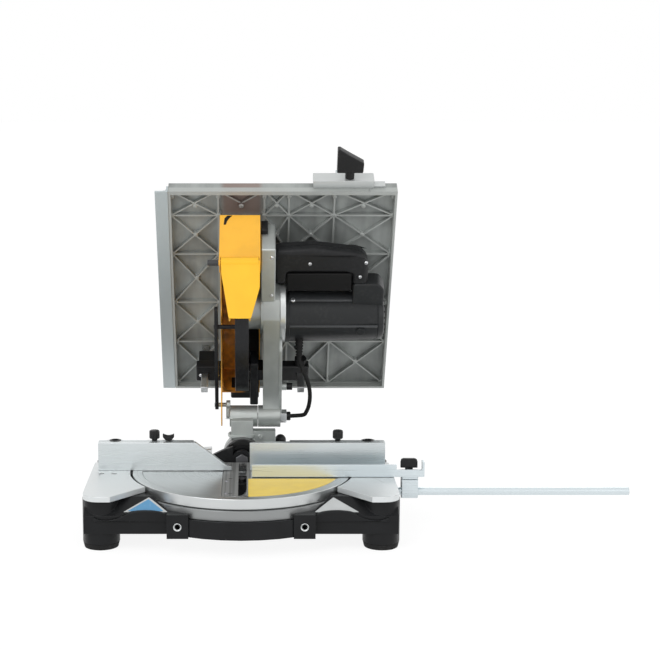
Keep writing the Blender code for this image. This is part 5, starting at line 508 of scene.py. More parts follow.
@dataclass(frozen=True)
class Powder(Finish):
    """Powder coat on sheet metal: a slight orange peel, painted shade and a rougher surface inside.
    """

    # inside and far_black are the colours of the painted shade within the guard.
    inside: tuple[float, float, float] = (0.88, 0.34, 0.030)
    origin: tuple[float, float, float] = (0.0, 0.0, 0.0)
    half_width: float = 0.0298
    roof: float = 0.1072
    nose: float = 0.2950
    nose_slope: float = 0.2071
    soft: float = 0.0010
    far_side: tuple[float, float] = (-0.004, 0.010)
    far_black: tuple[float, float, float] = (0.012, 0.010, 0.009)
    peg: float = -0.0310
    peg_black: tuple[float, float, float] = (0.02, 0.02, 0.022)

    def build(self, graph: Graph) -> bpy.types.Material:
        """A warm coat, darkened as painted shade between the cheeks, under the roof and behind the
        nose.

        Args:
            graph: the material's empty node tree.

        Returns:
            The finished material.
        """
        across, back, height = graph.in_head(self.origin)
        edge = self.half_width ** 2
        # Painted shade: within the cheeks, under the roof and behind the nose the coat is darker,
        # and rougher.
        within = (across * across).rise(edge, edge * 0.92)
        under = height.rise(self.roof, self.roof - self.soft)
        behind = (back + height * self.nose_slope).rise(-self.nose, -self.nose + self.soft)
        shaded_inside = within * under * behind
        peel = graph.noise(520, 2)
        broad = graph.noise(24, 4)
        outer = graph.blend(self.shade(0.93), self.shade(1.05), broad.rise(0.3, 0.7))
        # The painted shade's colour, mottled, and near black towards the far side.
        inner = graph.blend(self.inside, tuple(c * 0.45 for c in self.inside),
                            graph.noise(60, 4).rise(0.3, 0.75))
        inner = graph.blend(inner, self.far_black, across.rise(*self.far_side))
        colour = graph.blend(outer, inner, shaded_inside)
        colour = graph.blend(colour, self.peg_black, across.rise(self.peg, self.peg - 0.0004))
        return graph.dress(Base_Color=colour, Metallic=0.0, Coat_Weight=0.25,
                           Normal=graph.relief(peel, 0.00006),
                           Roughness=peel * 0.10 + shaded_inside * 0.3 + self.roughness)


@dataclass(frozen=True)
class RibbedCasting(Finish):
    """The table's die casting: a dull skin below, rib edges painted pale as highlights, a milled
    top.
    """

    pivot: tuple[float, float, float] = (0.0, 0.0, 0.0)
    crest: float = 0.1275
    top: float = 0.1405
    warm: tuple[float, float, float] = (0.24, 0.17, 0.145)
    warm_sides: tuple[float, float] = (0.034, 0.024)
    warm_rows: tuple[float, float] = (0.288, 0.300)
    crest_highlight: tuple[float, float, float] = (0.46, 0.48, 0.465)
    milled: tuple[tuple[float, float, float], ...] = ((0.40, 0.42, 0.42), (0.56, 0.58, 0.58))

    def build(self, graph: Graph) -> bpy.types.Material:
        """Colour by height across the table: rib edges, skin and milled face.

        Args:
            graph: the material's empty node tree.

        Returns:
            The finished material.
        """
        across, back, height = graph.in_head(self.pivot)
        broad = graph.noise(18, 5)
        fine = graph.noise(700, 3)
        flow = graph.noise(1.0, 4, graph.mapped((60, 9, 9)))
        skin = graph.blend(self.shade(0.72), self.shade(1.22),
                           (broad * 0.6 + flow * 0.4).rise(0.32, 0.68))
        near = (across * across).rise(*(side ** 2 for side in self.warm_sides))
        skin = graph.blend(skin, self.warm, near * (back * -1).rise(*self.warm_rows) * 0.8)
        # Painted highlight: near the crest height the rib edges are made pale and a little more
        # metallic.
        edge = height.rise(self.crest + 0.0016, self.crest + 0.0002)
        colour = graph.blend(skin, self.crest_highlight, edge * (0.55 + fine * 0.6))
        milled = height.rise(self.top - 0.0006, self.top - 0.0002)
        lines = graph.noise(1.0, 2, graph.mapped((2200, 14, 14)))
        colour = graph.blend(colour, graph.blend(*self.milled, lines), milled)
        return graph.dress(Base_Color=colour, Normal=graph.relief(fine, 0.0001),
                           Metallic=milled * 0.5 + edge * 0.3 + 0.25,
                           Roughness=fine * 0.14 + broad * 0.08 - milled * 0.18 + self.roughness)


@dataclass(frozen=True)
class Printed(Finish):
    """A thin printed plate or film: one flat ink, scratched here and there."""

    scratched: tuple[float, float, float] = (0.5, 0.5, 0.5)

    def build(self, graph: Graph) -> bpy.types.Material:
        """Ink with faint scratches and clouding under a clear film.

        Args:
            graph: the material's empty node tree.

        Returns:
            The finished material.
        """
        broad = graph.noise(55, 3)
        scratch = graph.noise(1.0, 2, graph.mapped((1200, 60, 60))).rise(0.66, 0.74)
        ink = graph.blend(self.shade(0.86), self.shade(1.08), broad)
        colour = graph.blend(ink, self.scratched, scratch * 0.35)
        return graph.dress(Base_Color=colour, Metallic=self.metallic,
                           Roughness=broad * 0.12 + self.roughness, Coat_Weight=0.3,
                           Normal=graph.relief(broad, 0.00003))


@dataclass(frozen=True)
class Striped(Finish):
    """Fine stripes across X: a wound coil, or the scraped plastic of the kerf insert."""

    second: tuple[float, float, float] = (0.1, 0.1, 0.1)
    width: float = 0.004

    def build(self, graph: Graph) -> bpy.types.Material:
        """Two tones by a wave across X, with fine scraping along Y.

        Args:
            graph: the material's empty node tree.

        Returns:
            The finished material.
        """
        wave = graph.noise(1.0, 1, graph.mapped((1 / self.width, 2, 2)))
        fine = graph.noise(1.0, 3, graph.mapped((2400, 25, 25)))
        share = wave.rise(0.42, 0.58) * 0.8 + fine * 0.2
        return graph.dress(Base_Color=graph.blend(self.colour, self.second, share),
                           Metallic=self.metallic, Normal=graph.relief(fine, 0.00003),
                           Roughness=fine * 0.2 + self.roughness - 0.1)


# ---- meshes


@dataclass(frozen=True)
class Place:
    """A local frame: an origin, and its own x, y and z as rows in the row frame."""

    origin: tuple[float, float, float]
    axes: tuple[tuple[float, float, float], ...] = ((1, 0, 0), (0, 1, 0), (0, 0, 1))

    def put(self, local: Array) -> Array:
        """Local points in the row frame: the origin plus each coordinate times its axis."""
        return np.asarray(self.origin) + np.asarray(local, float) @ np.asarray(self.axes)

    def way(self, local: Sequence[float]) -> Array:
        """A local direction in the row frame."""
        return np.asarray(local, float) @ np.asarray(self.axes)

    def at(self, local: Sequence[float], axis: Sequence[float]) -> "Place":
        """A frame at a local point whose own z is the given local direction.

        Args:
            local: the new frame's origin.
            axis: the direction of its z.

        Returns:
            The frame.
        """
        lift = self.way(axis)
        lift = lift / np.linalg.norm(lift)
        side = np.cross(lift, (0.0, 0.0, 1.0) if abs(lift[2]) < 0.9 else (1.0, 0.0, 0.0))
        side = side / np.linalg.norm(side)
        rows = (side, np.cross(lift, side), lift)
        return Place(tuple(self.put(local)), tuple(tuple(row) for row in rows))

    def along(self, local: Sequence[float], rows: Sequence[Sequence[float]]) -> "Place":
        """A frame at a local point whose x, y and z are given in this frame.

        Args:
            local: the new frame's origin.
            rows: the directions of its x, y and z.

        Returns:
            The frame.
        """
        axes = np.asarray(rows, float) @ np.asarray(self.axes)
        return Place(tuple(self.put(local)), tuple(tuple(row) for row in axes))


def mesh_object(name: str, points: Array, faces: Iterable[Sequence[int]],
                recalculate: bool = True) -> bpy.types.Object:
    """Makes an object whose mesh is welded, faces outwards and is smooth up to sharp edges.

    Args:
        name: the piece's name.
        points: its corners in the row frame.
        faces: the corner numbers of each face.
        recalculate: whether its faces need turning outwards.

    Returns:
        The object, at the origin.
    """
    mesh = bpy.data.meshes.new(name)
    mesh.from_pydata(np.asarray(points, float).tolist(), [], [list(map(int, f)) for f in faces])
    form = bmesh.new()
    form.from_mesh(mesh)
    bmesh.ops.remove_doubles(form, verts=form.verts, dist=WELD)
    if recalculate:
        bmesh.ops.recalc_face_normals(form, faces=form.faces)
    form.to_mesh(mesh)
    form.free()
    mesh.shade_smooth()
    mesh.set_sharp_from_angle(angle=SHARP)
    made = bpy.data.objects.new(name, mesh)
    bpy.context.scene.collection.objects.link(made)
    return made


def grid_faces(rows: int, columns: int, wrap_rows: bool, wrap_columns: bool) -> Array:
    """The quads of a grid of points, row after row, closed in either way if asked.

    Args:
        rows: how many rows there are.
        columns: how many points a row has.
        wrap_rows: whether the last row joins the first.
        wrap_columns: whether each row closes on itself.

    Returns:
        The four point numbers of each quad.
    """
    row, column = np.meshgrid(np.arange(rows if wrap_rows else rows - 1),
                              np.arange(columns if wrap_columns else columns - 1),
                              indexing="ij")
    below, after = (row + 1) % rows, (column + 1) % columns
    quads = np.stack([row * columns + column, row * columns + after,
                      below * columns + after, below * columns + column], axis=-1)
    return quads.reshape(-1, 4)


def lathe(profile: Sequence[Sequence[float]], place: Place, sides: int = 96) -> tuple[Array, Array]:
    """A closed profile carried round a frame's z.

    A profile point (radius, height) at the angle a lies at (radius cos a, radius sin a, height).

    Args:
        profile: the radius and height of each of its points.
        place: the frame whose z is the axis.
        sides: how many points go round.

    Returns:
        The points in the row frame, and the faces.
    """
    profile = np.asarray(profile, float)
    angle = np.linspace(0, math.tau, sides, endpoint=False)[:, None]
    radius, height = profile[None, :, 0], profile[None, :, 1]
    local = np.stack([radius * np.cos(angle), radius * np.sin(angle),
                      height + 0 * angle], axis=-1)
    faces = grid_faces(sides, len(profile), True, True)
    return place.put(local.reshape(-1, 3)), faces


def tube(path: Array, radius: float | Array, sides: int = 20) -> tuple[Array, list]:
    """A round section carried along a path, closed at both ends.

    The section's two axes are turned from one path point to the next without twist.

    Args:
        path: the points of its middle line, in the row frame.
        radius: one radius, or one for each point.
        sides: how many points go round.

    Returns:
        The points in the row frame, and the faces.
    """
    path = np.asarray(path, float)
    ahead = np.gradient(path, axis=0)
    ahead /= np.linalg.norm(ahead, axis=1)[:, None]
    side = np.cross(ahead[0], (0.31, 0.17, 0.94))
    frames = []
    for direction in ahead:
        side = side - direction * (side @ direction)
        side = side / np.linalg.norm(side)
        frames.append((side, np.cross(direction, side)))
    axes = np.asarray(frames)
    angle = np.linspace(0, math.tau, sides, endpoint=False)
    ring = np.stack([np.cos(angle), np.sin(angle)], axis=-1)
    radii = np.broadcast_to(radius, len(path))
    points = path[:, None, :] + np.einsum("sk,nkc->nsc", ring, axes) * radii[:, None, None]
    faces = grid_faces(len(path), sides, False, True).tolist()
    last = (len(path) - 1) * sides
    faces += [list(range(sides)), list(range(last, last + sides))]
    return points.reshape(-1, 3), faces


def prism(outline: Sequence[Sequence[float]], low: float, high: float,
          place: Place) -> tuple[Array, list]:
    """A flat outline in a frame's x and y, carried from low to high along its z.

    Args:
        outline: the x and y of its corners.
        low: where it starts along z.
        high: where it ends along z.
        place: the local frame.

    Returns:
        The points in the row frame, and the faces.
    """
    outline = np.asarray(outline, float)
    count = len(outline)
    levels = [np.column_stack([outline, np.full(count, level)]) for level in (low, high)]
    faces = grid_faces(2, count, False, True).tolist()
    faces += [list(range(count)), list(range(count, 2 * count))]
    return place.put(np.concatenate(levels)), faces


def cross_screw(radius: float, place: Place) -> tuple[Array, Array]:
    """A pan head with a cross recess.

    The height over the polar grid (r, a) is a flat dome, (1 - (r / R)^5) of its full height,
    less the recess depth inside either arm of the cross, and the grid ends in a straight skirt.

    Args:
        radius: the head's radius.
        place: the frame whose origin is the seat and whose z leaves it.

    Returns:
        The points in the row frame, and the faces.
    """
    share = np.concatenate([np.linspace(0, 0.86, 11), [0.93, 0.975, 1.0, 1.0, 0.0]])
    angle = np.linspace(0, math.tau, 56, endpoint=False)
    r, a = np.meshgrid(share * radius, angle, indexing="ij")
    x, y = r * np.cos(a), r * np.sin(a)
    height = radius * 0.55 * (1 - (r / radius) ** 5)
    arm, reach = radius * 0.15, radius * 0.62

    def inside(one: Array, other: Array) -> Array:
        """How far a point is within one arm: 1 inside, 0 outside."""
        return (np.clip((arm - np.abs(one)) / (arm * 0.5) + 0.5, 0, 1)
                * np.clip((reach - np.abs(other)) / (arm * 0.5) + 0.5, 0, 1))

    height -= radius * 0.42 * np.maximum(inside(x, y), inside(y, x))
    height[-2:] = -radius * 0.3
    local = np.stack([x, y, height], axis=-1).reshape(-1, 3)
    return place.put(local), grid_faces(len(share), len(angle), False, True)


def rounded(corners: Sequence[Sequence[float]], radius: float, steps: int = 5) -> Array:
    """An outline whose corners are rounded.

    Each corner is replaced by points of a quadratic curve that starts and ends one radius
    from it along its two sides: (1 - t)^2 of the start, 2t(1 - t) of the corner, t^2 of the end.

    Args:
        corners: the outline's corners.
        radius: how much of each side a corner takes.
        steps: how many points a corner gets.

    Returns:
        The rounded outline's points.
    """
    here = np.asarray(corners, float)
    t = np.linspace(0, 1, steps)[None, :, None]

    def towards(other: Array) -> Array:
        """The point one radius from each corner towards another.

        Args:
            other: the neighbour of each corner on one side.

        Returns:
            One point for each corner.
        """
        step = other - here
        far = np.linalg.norm(step, axis=1)[:, None]
        return here + step / far * np.minimum(radius, far * 0.45)

    start, end = towards(np.roll(here, 1, axis=0)), towards(np.roll(here, -1, axis=0))
    curve = ((1 - t) ** 2 * start[:, None] + 2 * t * (1 - t) * here[:, None]
             + t ** 2 * end[:, None])
    return curve.reshape(-1, here.shape[1])


def route(points: Sequence[Sequence[float]], steps: int) -> Array:
    """A smooth line through points.

    Between two points it is the Catmull-Rom cubic of the four nearest, read at equal steps.

    Args:
        points: the points that the line passes through.
        steps: how many steps lie between two of them.

    Returns:
        The line's points.
    """
    own = np.asarray(points, float)
    padded = np.vstack([2 * own[0] - own[1], own, 2 * own[-1] - own[-2]])
    p0, p1, p2, p3 = (padded[i:i + len(own) - 1, None] for i in range(4))
    t = (np.arange(steps) / steps)[None, :, None]
    curve = 0.5 * (2 * p1 + (p2 - p0) * t + (2 * p0 - 5 * p1 + 4 * p2 - p3) * t ** 2
                   + (3 * p1 - p0 - 3 * p2 + p3) * t ** 3)
    return np.vstack([curve.reshape(-1, own.shape[1]), own[-1]])


def together(parts: Iterable[tuple[Array, Iterable]]) -> tuple[Array, list]:
    """Several sets of points and faces as one.

    Args:
        parts: the sets.

    Returns:
        All points, and faces numbered to suit.
    """
    points, faces, count = [], [], 0
    for corners, quads in parts:
        points.append(np.asarray(corners))
        faces += [[int(i) + count for i in quad] for quad in quads]
        count += len(points[-1])
    return np.concatenate(points), faces


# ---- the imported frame


@dataclass
class Packed:
    """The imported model: its nodes, the body of each and the frames that pieces are placed in."""

    frame: dict
    trees: dict[str, BVHTree] = field(default_factory=dict)

    def __post_init__(self) -> None:
        """Reads which body and which material slot each node has."""
        record = self.frame["record"]
        self.body = {node: body for body, nodes in record["behaviour"]["bodies"].items()
                     for node in nodes}
        self.slot = {part["node"]: part["material_slot"] for part in record["subparts"]}
        low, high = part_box("centre_bolt")
        middle = (low + high) / 2
        self.base = Place((middle.x, middle.y, 0.0))
        pivot = self.joint("head_lower")
        lean_cos, lean_sin = math.cos(HEAD_LEAN), math.sin(HEAD_LEAN)
        self.head = Place((middle.x, pivot[1], pivot[2]),
                          ((1, 0, 0), (0, -lean_cos, lean_sin), (0, lean_sin, lean_cos)))

    def joint(self, name: str) -> tuple[float, float, float]:
        """The place of a joint's axis."""
        return tuple(next(j["pos_m"] for j in self.frame["joints"] if j["name"] == name))

    def seat(self, node: str, place: Place, start: Sequence[float],
             way: Sequence[float]) -> Array:
        """Where a line from a local point meets a node's surface, in local coordinates.

        Args:
            node: the node that carries the piece.
            place: the local frame.
            start: a local point off the surface.
            way: the local direction towards it.

        Returns:
            The local point on the surface, or start itself if the line misses.
        """
        if node not in self.trees:
            mesh = self.frame["nodes"][node].data
            self.trees[node] = BVHTree.FromPolygons([v.co for v in mesh.vertices],
                                                    [p.vertices for p in mesh.polygons])
        begin = place.put(np.asarray(start, float))
        direction = place.way(way)
        hit = self.trees[node].ray_cast(Vector(begin), Vector(direction))[0]
        if hit is None:
            LOG.warning("nothing of %s under %s", node, start)
            return np.asarray(start, float)
        return (np.asarray(hit) - np.asarray(place.origin)) @ np.linalg.inv(place.axes)


@dataclass
class Assembly:
    """One sub-assembly of the saw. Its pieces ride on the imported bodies."""

    packed: Packed

    def piece(self, made: bpy.types.Object, finish: Finish, body: str,
              replaces: Sequence[str] = ()) -> bpy.types.Object:
        """Dresses a piece and hangs it on its body.

        Args:
            made: the piece.
            finish: its finish.
            body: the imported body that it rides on.
            replaces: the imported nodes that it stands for.

        Returns:
            The piece.
        """
        made.data.materials.clear()
        made.data.materials.append(finish.material())
        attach(made, body)
        if replaces:
            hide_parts(*replaces)
        LOG.info("%s rides on %s", made.name, body)
        return made

    def near(self, name: str, parts: tuple[Array, Iterable], finish: Finish, node: str,
             replaces: Sequence[str] = ()) -> bpy.types.Object:
        """A new piece on the body of the node that carries it."""
        return self.piece(mesh_object(name, *parts), finish, self.packed.body[node],
                          replaces)

    def refine(self, node: str, finish: Finish, edge: float = EDGE,
               levels: int = DIVIDED) -> bpy.types.Object:
        """A finer copy of a node: round faces smoothed, sharp edges kept and slightly broken.

        Args:
            node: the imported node.
            finish: its finish.
            edge: the width of the broken edges, 0 for none.
            levels: how often each face is divided, 0 for a node of flat faces alone.

        Returns:
            The piece that stands for the node.
        """
        source = self.packed.frame["nodes"][node].data
        corners = np.empty(len(source.vertices) * 3, np.float32)
        source.vertices.foreach_get("co", corners)
        made = mesh_object(f"{node}_finished", corners.reshape(-1, 3),
                           [p.vertices for p in source.polygons], False)
        form = bmesh.new()
        form.from_mesh(made.data)
        bmesh.ops.dissolve_degenerate(form, dist=WELD, edges=form.edges)
        if levels:
            bmesh.ops.join_triangles(form, faces=form.faces, angle_face_threshold=FLAT,
                                     angle_shape_threshold=math.pi)
            self.crease(form)
        else:
            bmesh.ops.dissolve_limit(form, angle_limit=FLAT, verts=form.verts, edges=form.edges)
        for seam in form.edges:
            seam.smooth = True
        form.to_mesh(made.data)
        form.free()
        made.data.shade_smooth()
        if levels:
            divide = made.modifiers.new("divide", "SUBSURF")
            divide.levels = divide.render_levels = levels
        if edge:
            self.round_edges(made, edge, 2)
            made.modifiers["edges"].use_clamp_overlap = not levels
        made.modifiers.new("shading", "WEIGHTED_NORMAL").keep_sharp = True
        return self.piece(made, finish, self.packed.body[node], [node])

    def crease(self, form: bmesh.types.BMesh) -> None:
        """Keeps sharp edges, and the corners where they turn, while the faces are divided.

        Args:
            form: the mesh, changed in place.
        """
        along = form.edges.layers.float.new("crease_edge")
        at = form.verts.layers.float.new("crease_vert")
        for seam in form.edges:
            seam[along] = float(len(seam.link_faces) != 2 or seam.calc_face_angle(0) > SHARP)
        for corner in form.verts:
            ways = [(seam.other_vert(corner).co - corner.co).normalized()
                    for seam in corner.link_edges if seam[along]]
            turns = len(ways) == 2 and ways[0].dot(ways[1]) > -math.cos(SHARP)
            corner[at] = float(turns or len(ways) > 2)

    def refine_all(self, table: dict[Finish, Sequence[str]], edge: float = EDGE,
                   levels: int = DIVIDED) -> None:
        """Refines several nodes, listed by finish.

        Args:
            table: the nodes of each finish.
            edge: the width of the broken edges, 0 for none.
            levels: how often each face is divided.
        """
        for finish, nodes in table.items():
            for node in nodes:
                self.refine(node, finish, edge, levels)

    def sideways(self) -> Place:
        """The head's frame seen from its side: forward, up across the table, then right."""
        head = self.packed.head
        return Place(head.origin, (head.axes[1], head.axes[2], head.axes[0]))

    def round_edges(self, made: bpy.types.Object, width: float, segments: int) -> None:
        """Rounds a piece's sharp edges.

        Args:
            made: the piece.
            width: the rounding's width.
            segments: how many faces the rounding has.
        """
        bevel = made.modifiers.new("edges", "BEVEL")
        bevel.width = width
        bevel.segments = segments
        bevel.limit_method = "ANGLE"
        bevel.angle_limit = SHARP
        bevel.harden_normals = True

    def block(self, name: str, low: Sequence[float], high: Sequence[float], finish: Finish,
              node: str, edge: float) -> bpy.types.Object:
        """A rounded block in the head's frame.

        Args:
            name: the piece's name.
            low: its least corner.
            high: its greatest corner.
            finish: its finish.
            node: the node that carries it.
            edge: the radius of its edges.

        Returns:
            The piece.
        """
        outline = [(low[0], low[1]), (high[0], low[1]), (high[0], high[1]), (low[0], high[1])]
        made = self.near(name, prism(outline, low[2], high[2], self.packed.head), finish, node)
        self.round_edges(made, edge, 3)
        return made

    def screws(self, name: str, node: str, place: Place, radius: float,
               spots: Sequence[Sequence[Sequence[float]]],
               finish: Finish | None = None) -> bpy.types.Object:
        """Cross-head screws standing on a node, as one piece.

        Args:
            name: the piece's name.
            node: the node that carries them.
            place: the local frame of the spots.
            radius: the heads' radius.
            spots: for each screw a local point off the surface and the way towards it.
            finish: their finish, bright steel if none is given.

        Returns:
            The group of screws.
        """
        parts = []
        for start, way in spots:
            seat = self.packed.seat(node, place, start, way)
            parts.append(cross_screw(radius, place.at(seat, -np.asarray(way, float))))
        return self.near(name, together(parts), finish or BRIGHT_STEEL, node)


BLACK_CAST = Cast("black_painted_casting", (0.0095, 0.0100, 0.0110), 0.34, 0.0, 800, 0.00014, 0.18)
SILVER_CAST = Cast("bare_aluminium_casting", (0.46, 0.485, 0.47), 0.42, 0.8, 620, 0.00016, 0.10)
PALE_CAST = Cast("machined_casting", (0.66, 0.68, 0.68), 0.34, 0.8, 900, 0.00006, 0.06)
WING_TOP = Drawn("milled_wing_top", (0.72, 0.75, 0.755), 0.36, 0.55, Axis.X, 1300)
FENCE_FACE = Drawn("milled_fence", (0.66, 0.70, 0.71), 0.30, 0.85, Axis.X, 1500)
ANODISED = Drawn("drawn_and_anodised", (0.68, 0.75, 0.78), 0.30, 0.70, Axis.X, 1900)
FENCE_HEAD = Drawn("extruded_fence_head", (0.56, 0.58, 0.575), 0.36, 0.60, Axis.X, 1900)
RAIL = Drawn("drawn_side_rail", (0.50, 0.55, 0.56), 0.40, 0.60, Axis.Y, 1900)
BRIGHT_STEEL = Cast("bright_zinc_plate", (0.66, 0.67, 0.68), 0.30, 1.0, 1500, 0.00002, 0.08)
DARK_STEEL = Cast("oiled_steel", (0.20, 0.20, 0.21), 0.36, 1.0, 1200, 0.00003, 0.14)
PLASTIC = Moulded("black_moulded_plastic", (0.0105, 0.0110, 0.0120), 0.38)
MOTOR_PLASTIC = Moulded("motor_case_plastic", (0.0165, 0.0180, 0.0190), 0.36, 0.0, 2200, 0.00006)
# The bands are a lighter copy of the case plastic: painted light on the case's lit faces.
LIT_BAND_PLASTIC = Moulded("case_band_painted_light", (0.040, 0.043, 0.046), 0.34, 0.0, 2200, 0.00006, 0.5,
                       0.5)
KNOB_PLASTIC = Moulded("knob_plastic", (0.0075, 0.0075, 0.0080), 0.34, 0.0, 3000, 0.00003)
GUARD_PLASTIC = Moulded("guard_plastic", (0.0085, 0.0090, 0.0105), 0.28, 0.0, 3000, 0.00002)
# Near-black plates of painted shade: the handle's recess, the end cap's air slots and the nose's
# slot.
SHADE_BLACK = Moulded("painted_shade_black", (0.0035, 0.0035, 0.0038), 0.62, 0.0, 2600, 0.00005, 0.1)
RUBBER = Moulded("black_rubber", (0.0090, 0.0090, 0.0090), 0.74, 0.0, 1800, 0.00010, 0.8)
INSERT = Striped("scraped_insert_plastic", (0.24, 0.245, 0.24), 0.55, 0.0, (0.13, 0.132, 0.13),
                 0.003)
COPPER = Striped("varnished_copper", (0.50, 0.20, 0.08), 0.42, 0.8, (0.22, 0.22, 0.23), 0.006)
YELLOW_FILM = Printed("yellow_film", (0.96, 0.68, 0.095), 0.44, 0.0, (0.75, 0.62, 0.30))
BLUE_PLATE = Printed("blue_printed_plate", (0.10, 0.30, 0.52), 0.34, 0.2, (0.5, 0.55, 0.6))
SILVER_PLATE = Printed("silver_printed_plate", (0.52, 0.54, 0.54), 0.34, 0.6, (0.3, 0.3, 0.3))
MARK_INK = Printed("mark_ink", (0.012, 0.012, 0.012), 0.5, 0.0, (0.05, 0.05, 0.05))
FLAP_COAT = Cast("flap_powder_coat", (0.96, 0.53, 0.035), 0.36, 0.0, 520, 0.00004, 0.04)


# ---- sub-assemblies


@dataclass
class BaseCasting(Assembly):
    """The black cast base on four rubber feet, with its milled wings and mitre scale."""

    lip_front: float = -0.1440
    lip_depth: float = 0.0070
    lip_foot: float = 0.0430
    lip_crest: tuple[tuple[float, float], ...] = (
        (0.2080, 0.0500), (0.1980, 0.0462), (0.1860, 0.0460), (0.1730, 0.0490), (0.1580, 0.0565),
        (0.1420, 0.0592), (0.1250, 0.0590), (0.1120, 0.0568), (0.1010, 0.0520))
    lip_round: float = 0.0016
    casting_edge: float = 0.0009
    foot_edge: float = 0.0006
    plate_seat: tuple[float, float] = (-0.1264, 0.0632)
    plate_slope: tuple[float, float] = (0.77, 0.638)
    plate_corners: tuple[tuple[float, float], ...] = ((0.1665, -0.0125), (0.1035, -0.0125),
                                                      (0.1310, 0.0130))
    plate_faces: tuple[float, float] = (-0.0006, 0.0005)
    field_faces: tuple[float, float] = (0.0, 0.0008)
    field_share: float = 0.80
    lug: tuple[float, float, float] = (0.0890, -0.1610, 0.0405)
    lug_hole: float = 0.0045
    ring_profile: tuple[tuple[float, float], ...] = (
        (0.0, -0.0030), (0.0012, -0.0008), (0.0012, 0.0002), (0.0008, 0.0004),
        (-0.0006, -0.0010), (-0.0006, -0.0030))
    mark_radius: tuple[float, float] = (0.1490, 0.1560)
    mark_short: float = 0.0025
    mark_half: float = 0.00035
    mark_faces: tuple[float, float] = (-0.0002, 0.00012)
    mark_top: float = 0.0652
    mark_step: float = 5.0
    mark_long_step: float = 15.0
    mark_half_range: float = 50.0

    def build(self) -> None:
        """Refines the castings and the feet, and adds the lips, plates, rings and marks."""
        self.refine("base_frame", BLACK_CAST, self.casting_edge, UNDIVIDED)
        self.refine_all({RUBBER: [f"rubber_foot_{row}_{side}" for row in ("front", "rear")
                                  for side in ("left", "right")]}, self.foot_edge)
        self.refine_all({WING_TOP: ["left_wing", "right_wing"]})
        # The scale ring is coloured darker than the disc's metal: painted shade for its shadowed
        # front.
        ring = Turned("turned_scale_ring", (0.30, 0.31, 0.31), 0.38, 0.85,
                      self.packed.base.origin)
        self.refine("mitre_scale", ring, FINE_EDGE)
        for name, side in (("left", -1.0), ("right", 1.0)):
            self.build_lip(name, side)
            self.build_plate(name, side)
            self.build_lug_ring(name, side)
        self.build_marks()

    def build_lip(self, name: str, side: float) -> None:
        """The raised lip that arches along the top of the front wall from leg to lug.

        Args:
            name: left or right, for the piece's name.
            side: -1 for the left, 1 for the right.
        """
        crest = route(self.lip_crest, 4)
        foot = np.array([(crest[-1][0], self.lip_foot), (crest[0][0], self.lip_foot)])
        outline = np.vstack([crest, foot]) * (side, 1.0)
        place = Place(tuple(self.packed.base.put((0, 0, 0))), ((1, 0, 0), (0, 0, 1), (0, 1, 0)))
        lip = self.near(f"front_lip_{name}",
                        prism(outline, self.lip_front, self.lip_front + self.lip_depth, place),
                        BLACK_CAST, "base_frame")
        self.round_edges(lip, self.lip_round, 3)

    def build_plate(self, name: str, side: float) -> None:
        """A bare triangular plate on the sloping front, bordered on the left.

        Args:
            name: left or right, for the piece's name.
            side: -1 for the left, 1 for the right.
        """
        run, rise = self.plate_slope
        place = Place(tuple(self.packed.base.put((0, *self.plate_seat))),
                      ((1, 0, 0), (0, run, rise), (0, -rise, run)))
        corners = np.array(self.plate_corners) * (side, 1.0)
        outer = prism(rounded(corners, 0.0015), *self.plate_faces, place)
        self.near(f"front_plate_{name}", outer, SILVER_PLATE, "base_frame")
        if side < 0:
            middle = corners.mean(axis=0)
            inner = prism(rounded(middle + (corners - middle) * self.field_share, 0.0010),
                          *self.field_faces, place)
            self.near(f"front_plate_field_{name}", inner, BLUE_PLATE, "base_frame")

    def build_lug_ring(self, name: str, side: float) -> None:
        """The bright ring where a lug's hole is faced.

        Args:
            name: left or right, for the piece's name.
            side: -1 for the left, 1 for the right.
        """
        x, y, z = self.lug
        place = self.packed.base.at((side * x, y, z), (0, -1, 0))
        profile = np.array(self.ring_profile) + (self.lug_hole, 0.0)
        self.near(f"lug_ring_{name}", lathe(profile, place, 40), PALE_CAST, "base_frame")

    def build_marks(self) -> None:
        """The angle marks on the mitre scale, longer at every third."""
        inner, outer = self.mark_radius
        angles = np.arange(-self.mark_half_range, self.mark_half_range + 0.1, self.mark_step)
        parts = []
        for angle in angles:
            turn = math.radians(angle - 90)
            reach = outer if angle % self.mark_long_step == 0 else outer - self.mark_short
            axes = ((math.cos(turn), math.sin(turn), 0), (-math.sin(turn), math.cos(turn), 0),
                    (0, 0, 1))
            place = Place(tuple(self.packed.base.put((0, 0, self.mark_top))), axes)
            half = self.mark_half
            outline = [(inner, -half), (reach, -half), (reach, half), (inner, half)]
            parts.append(prism(outline, *self.mark_faces, place))
        self.near("angle_marks", together(parts), MARK_INK, "mitre_scale")


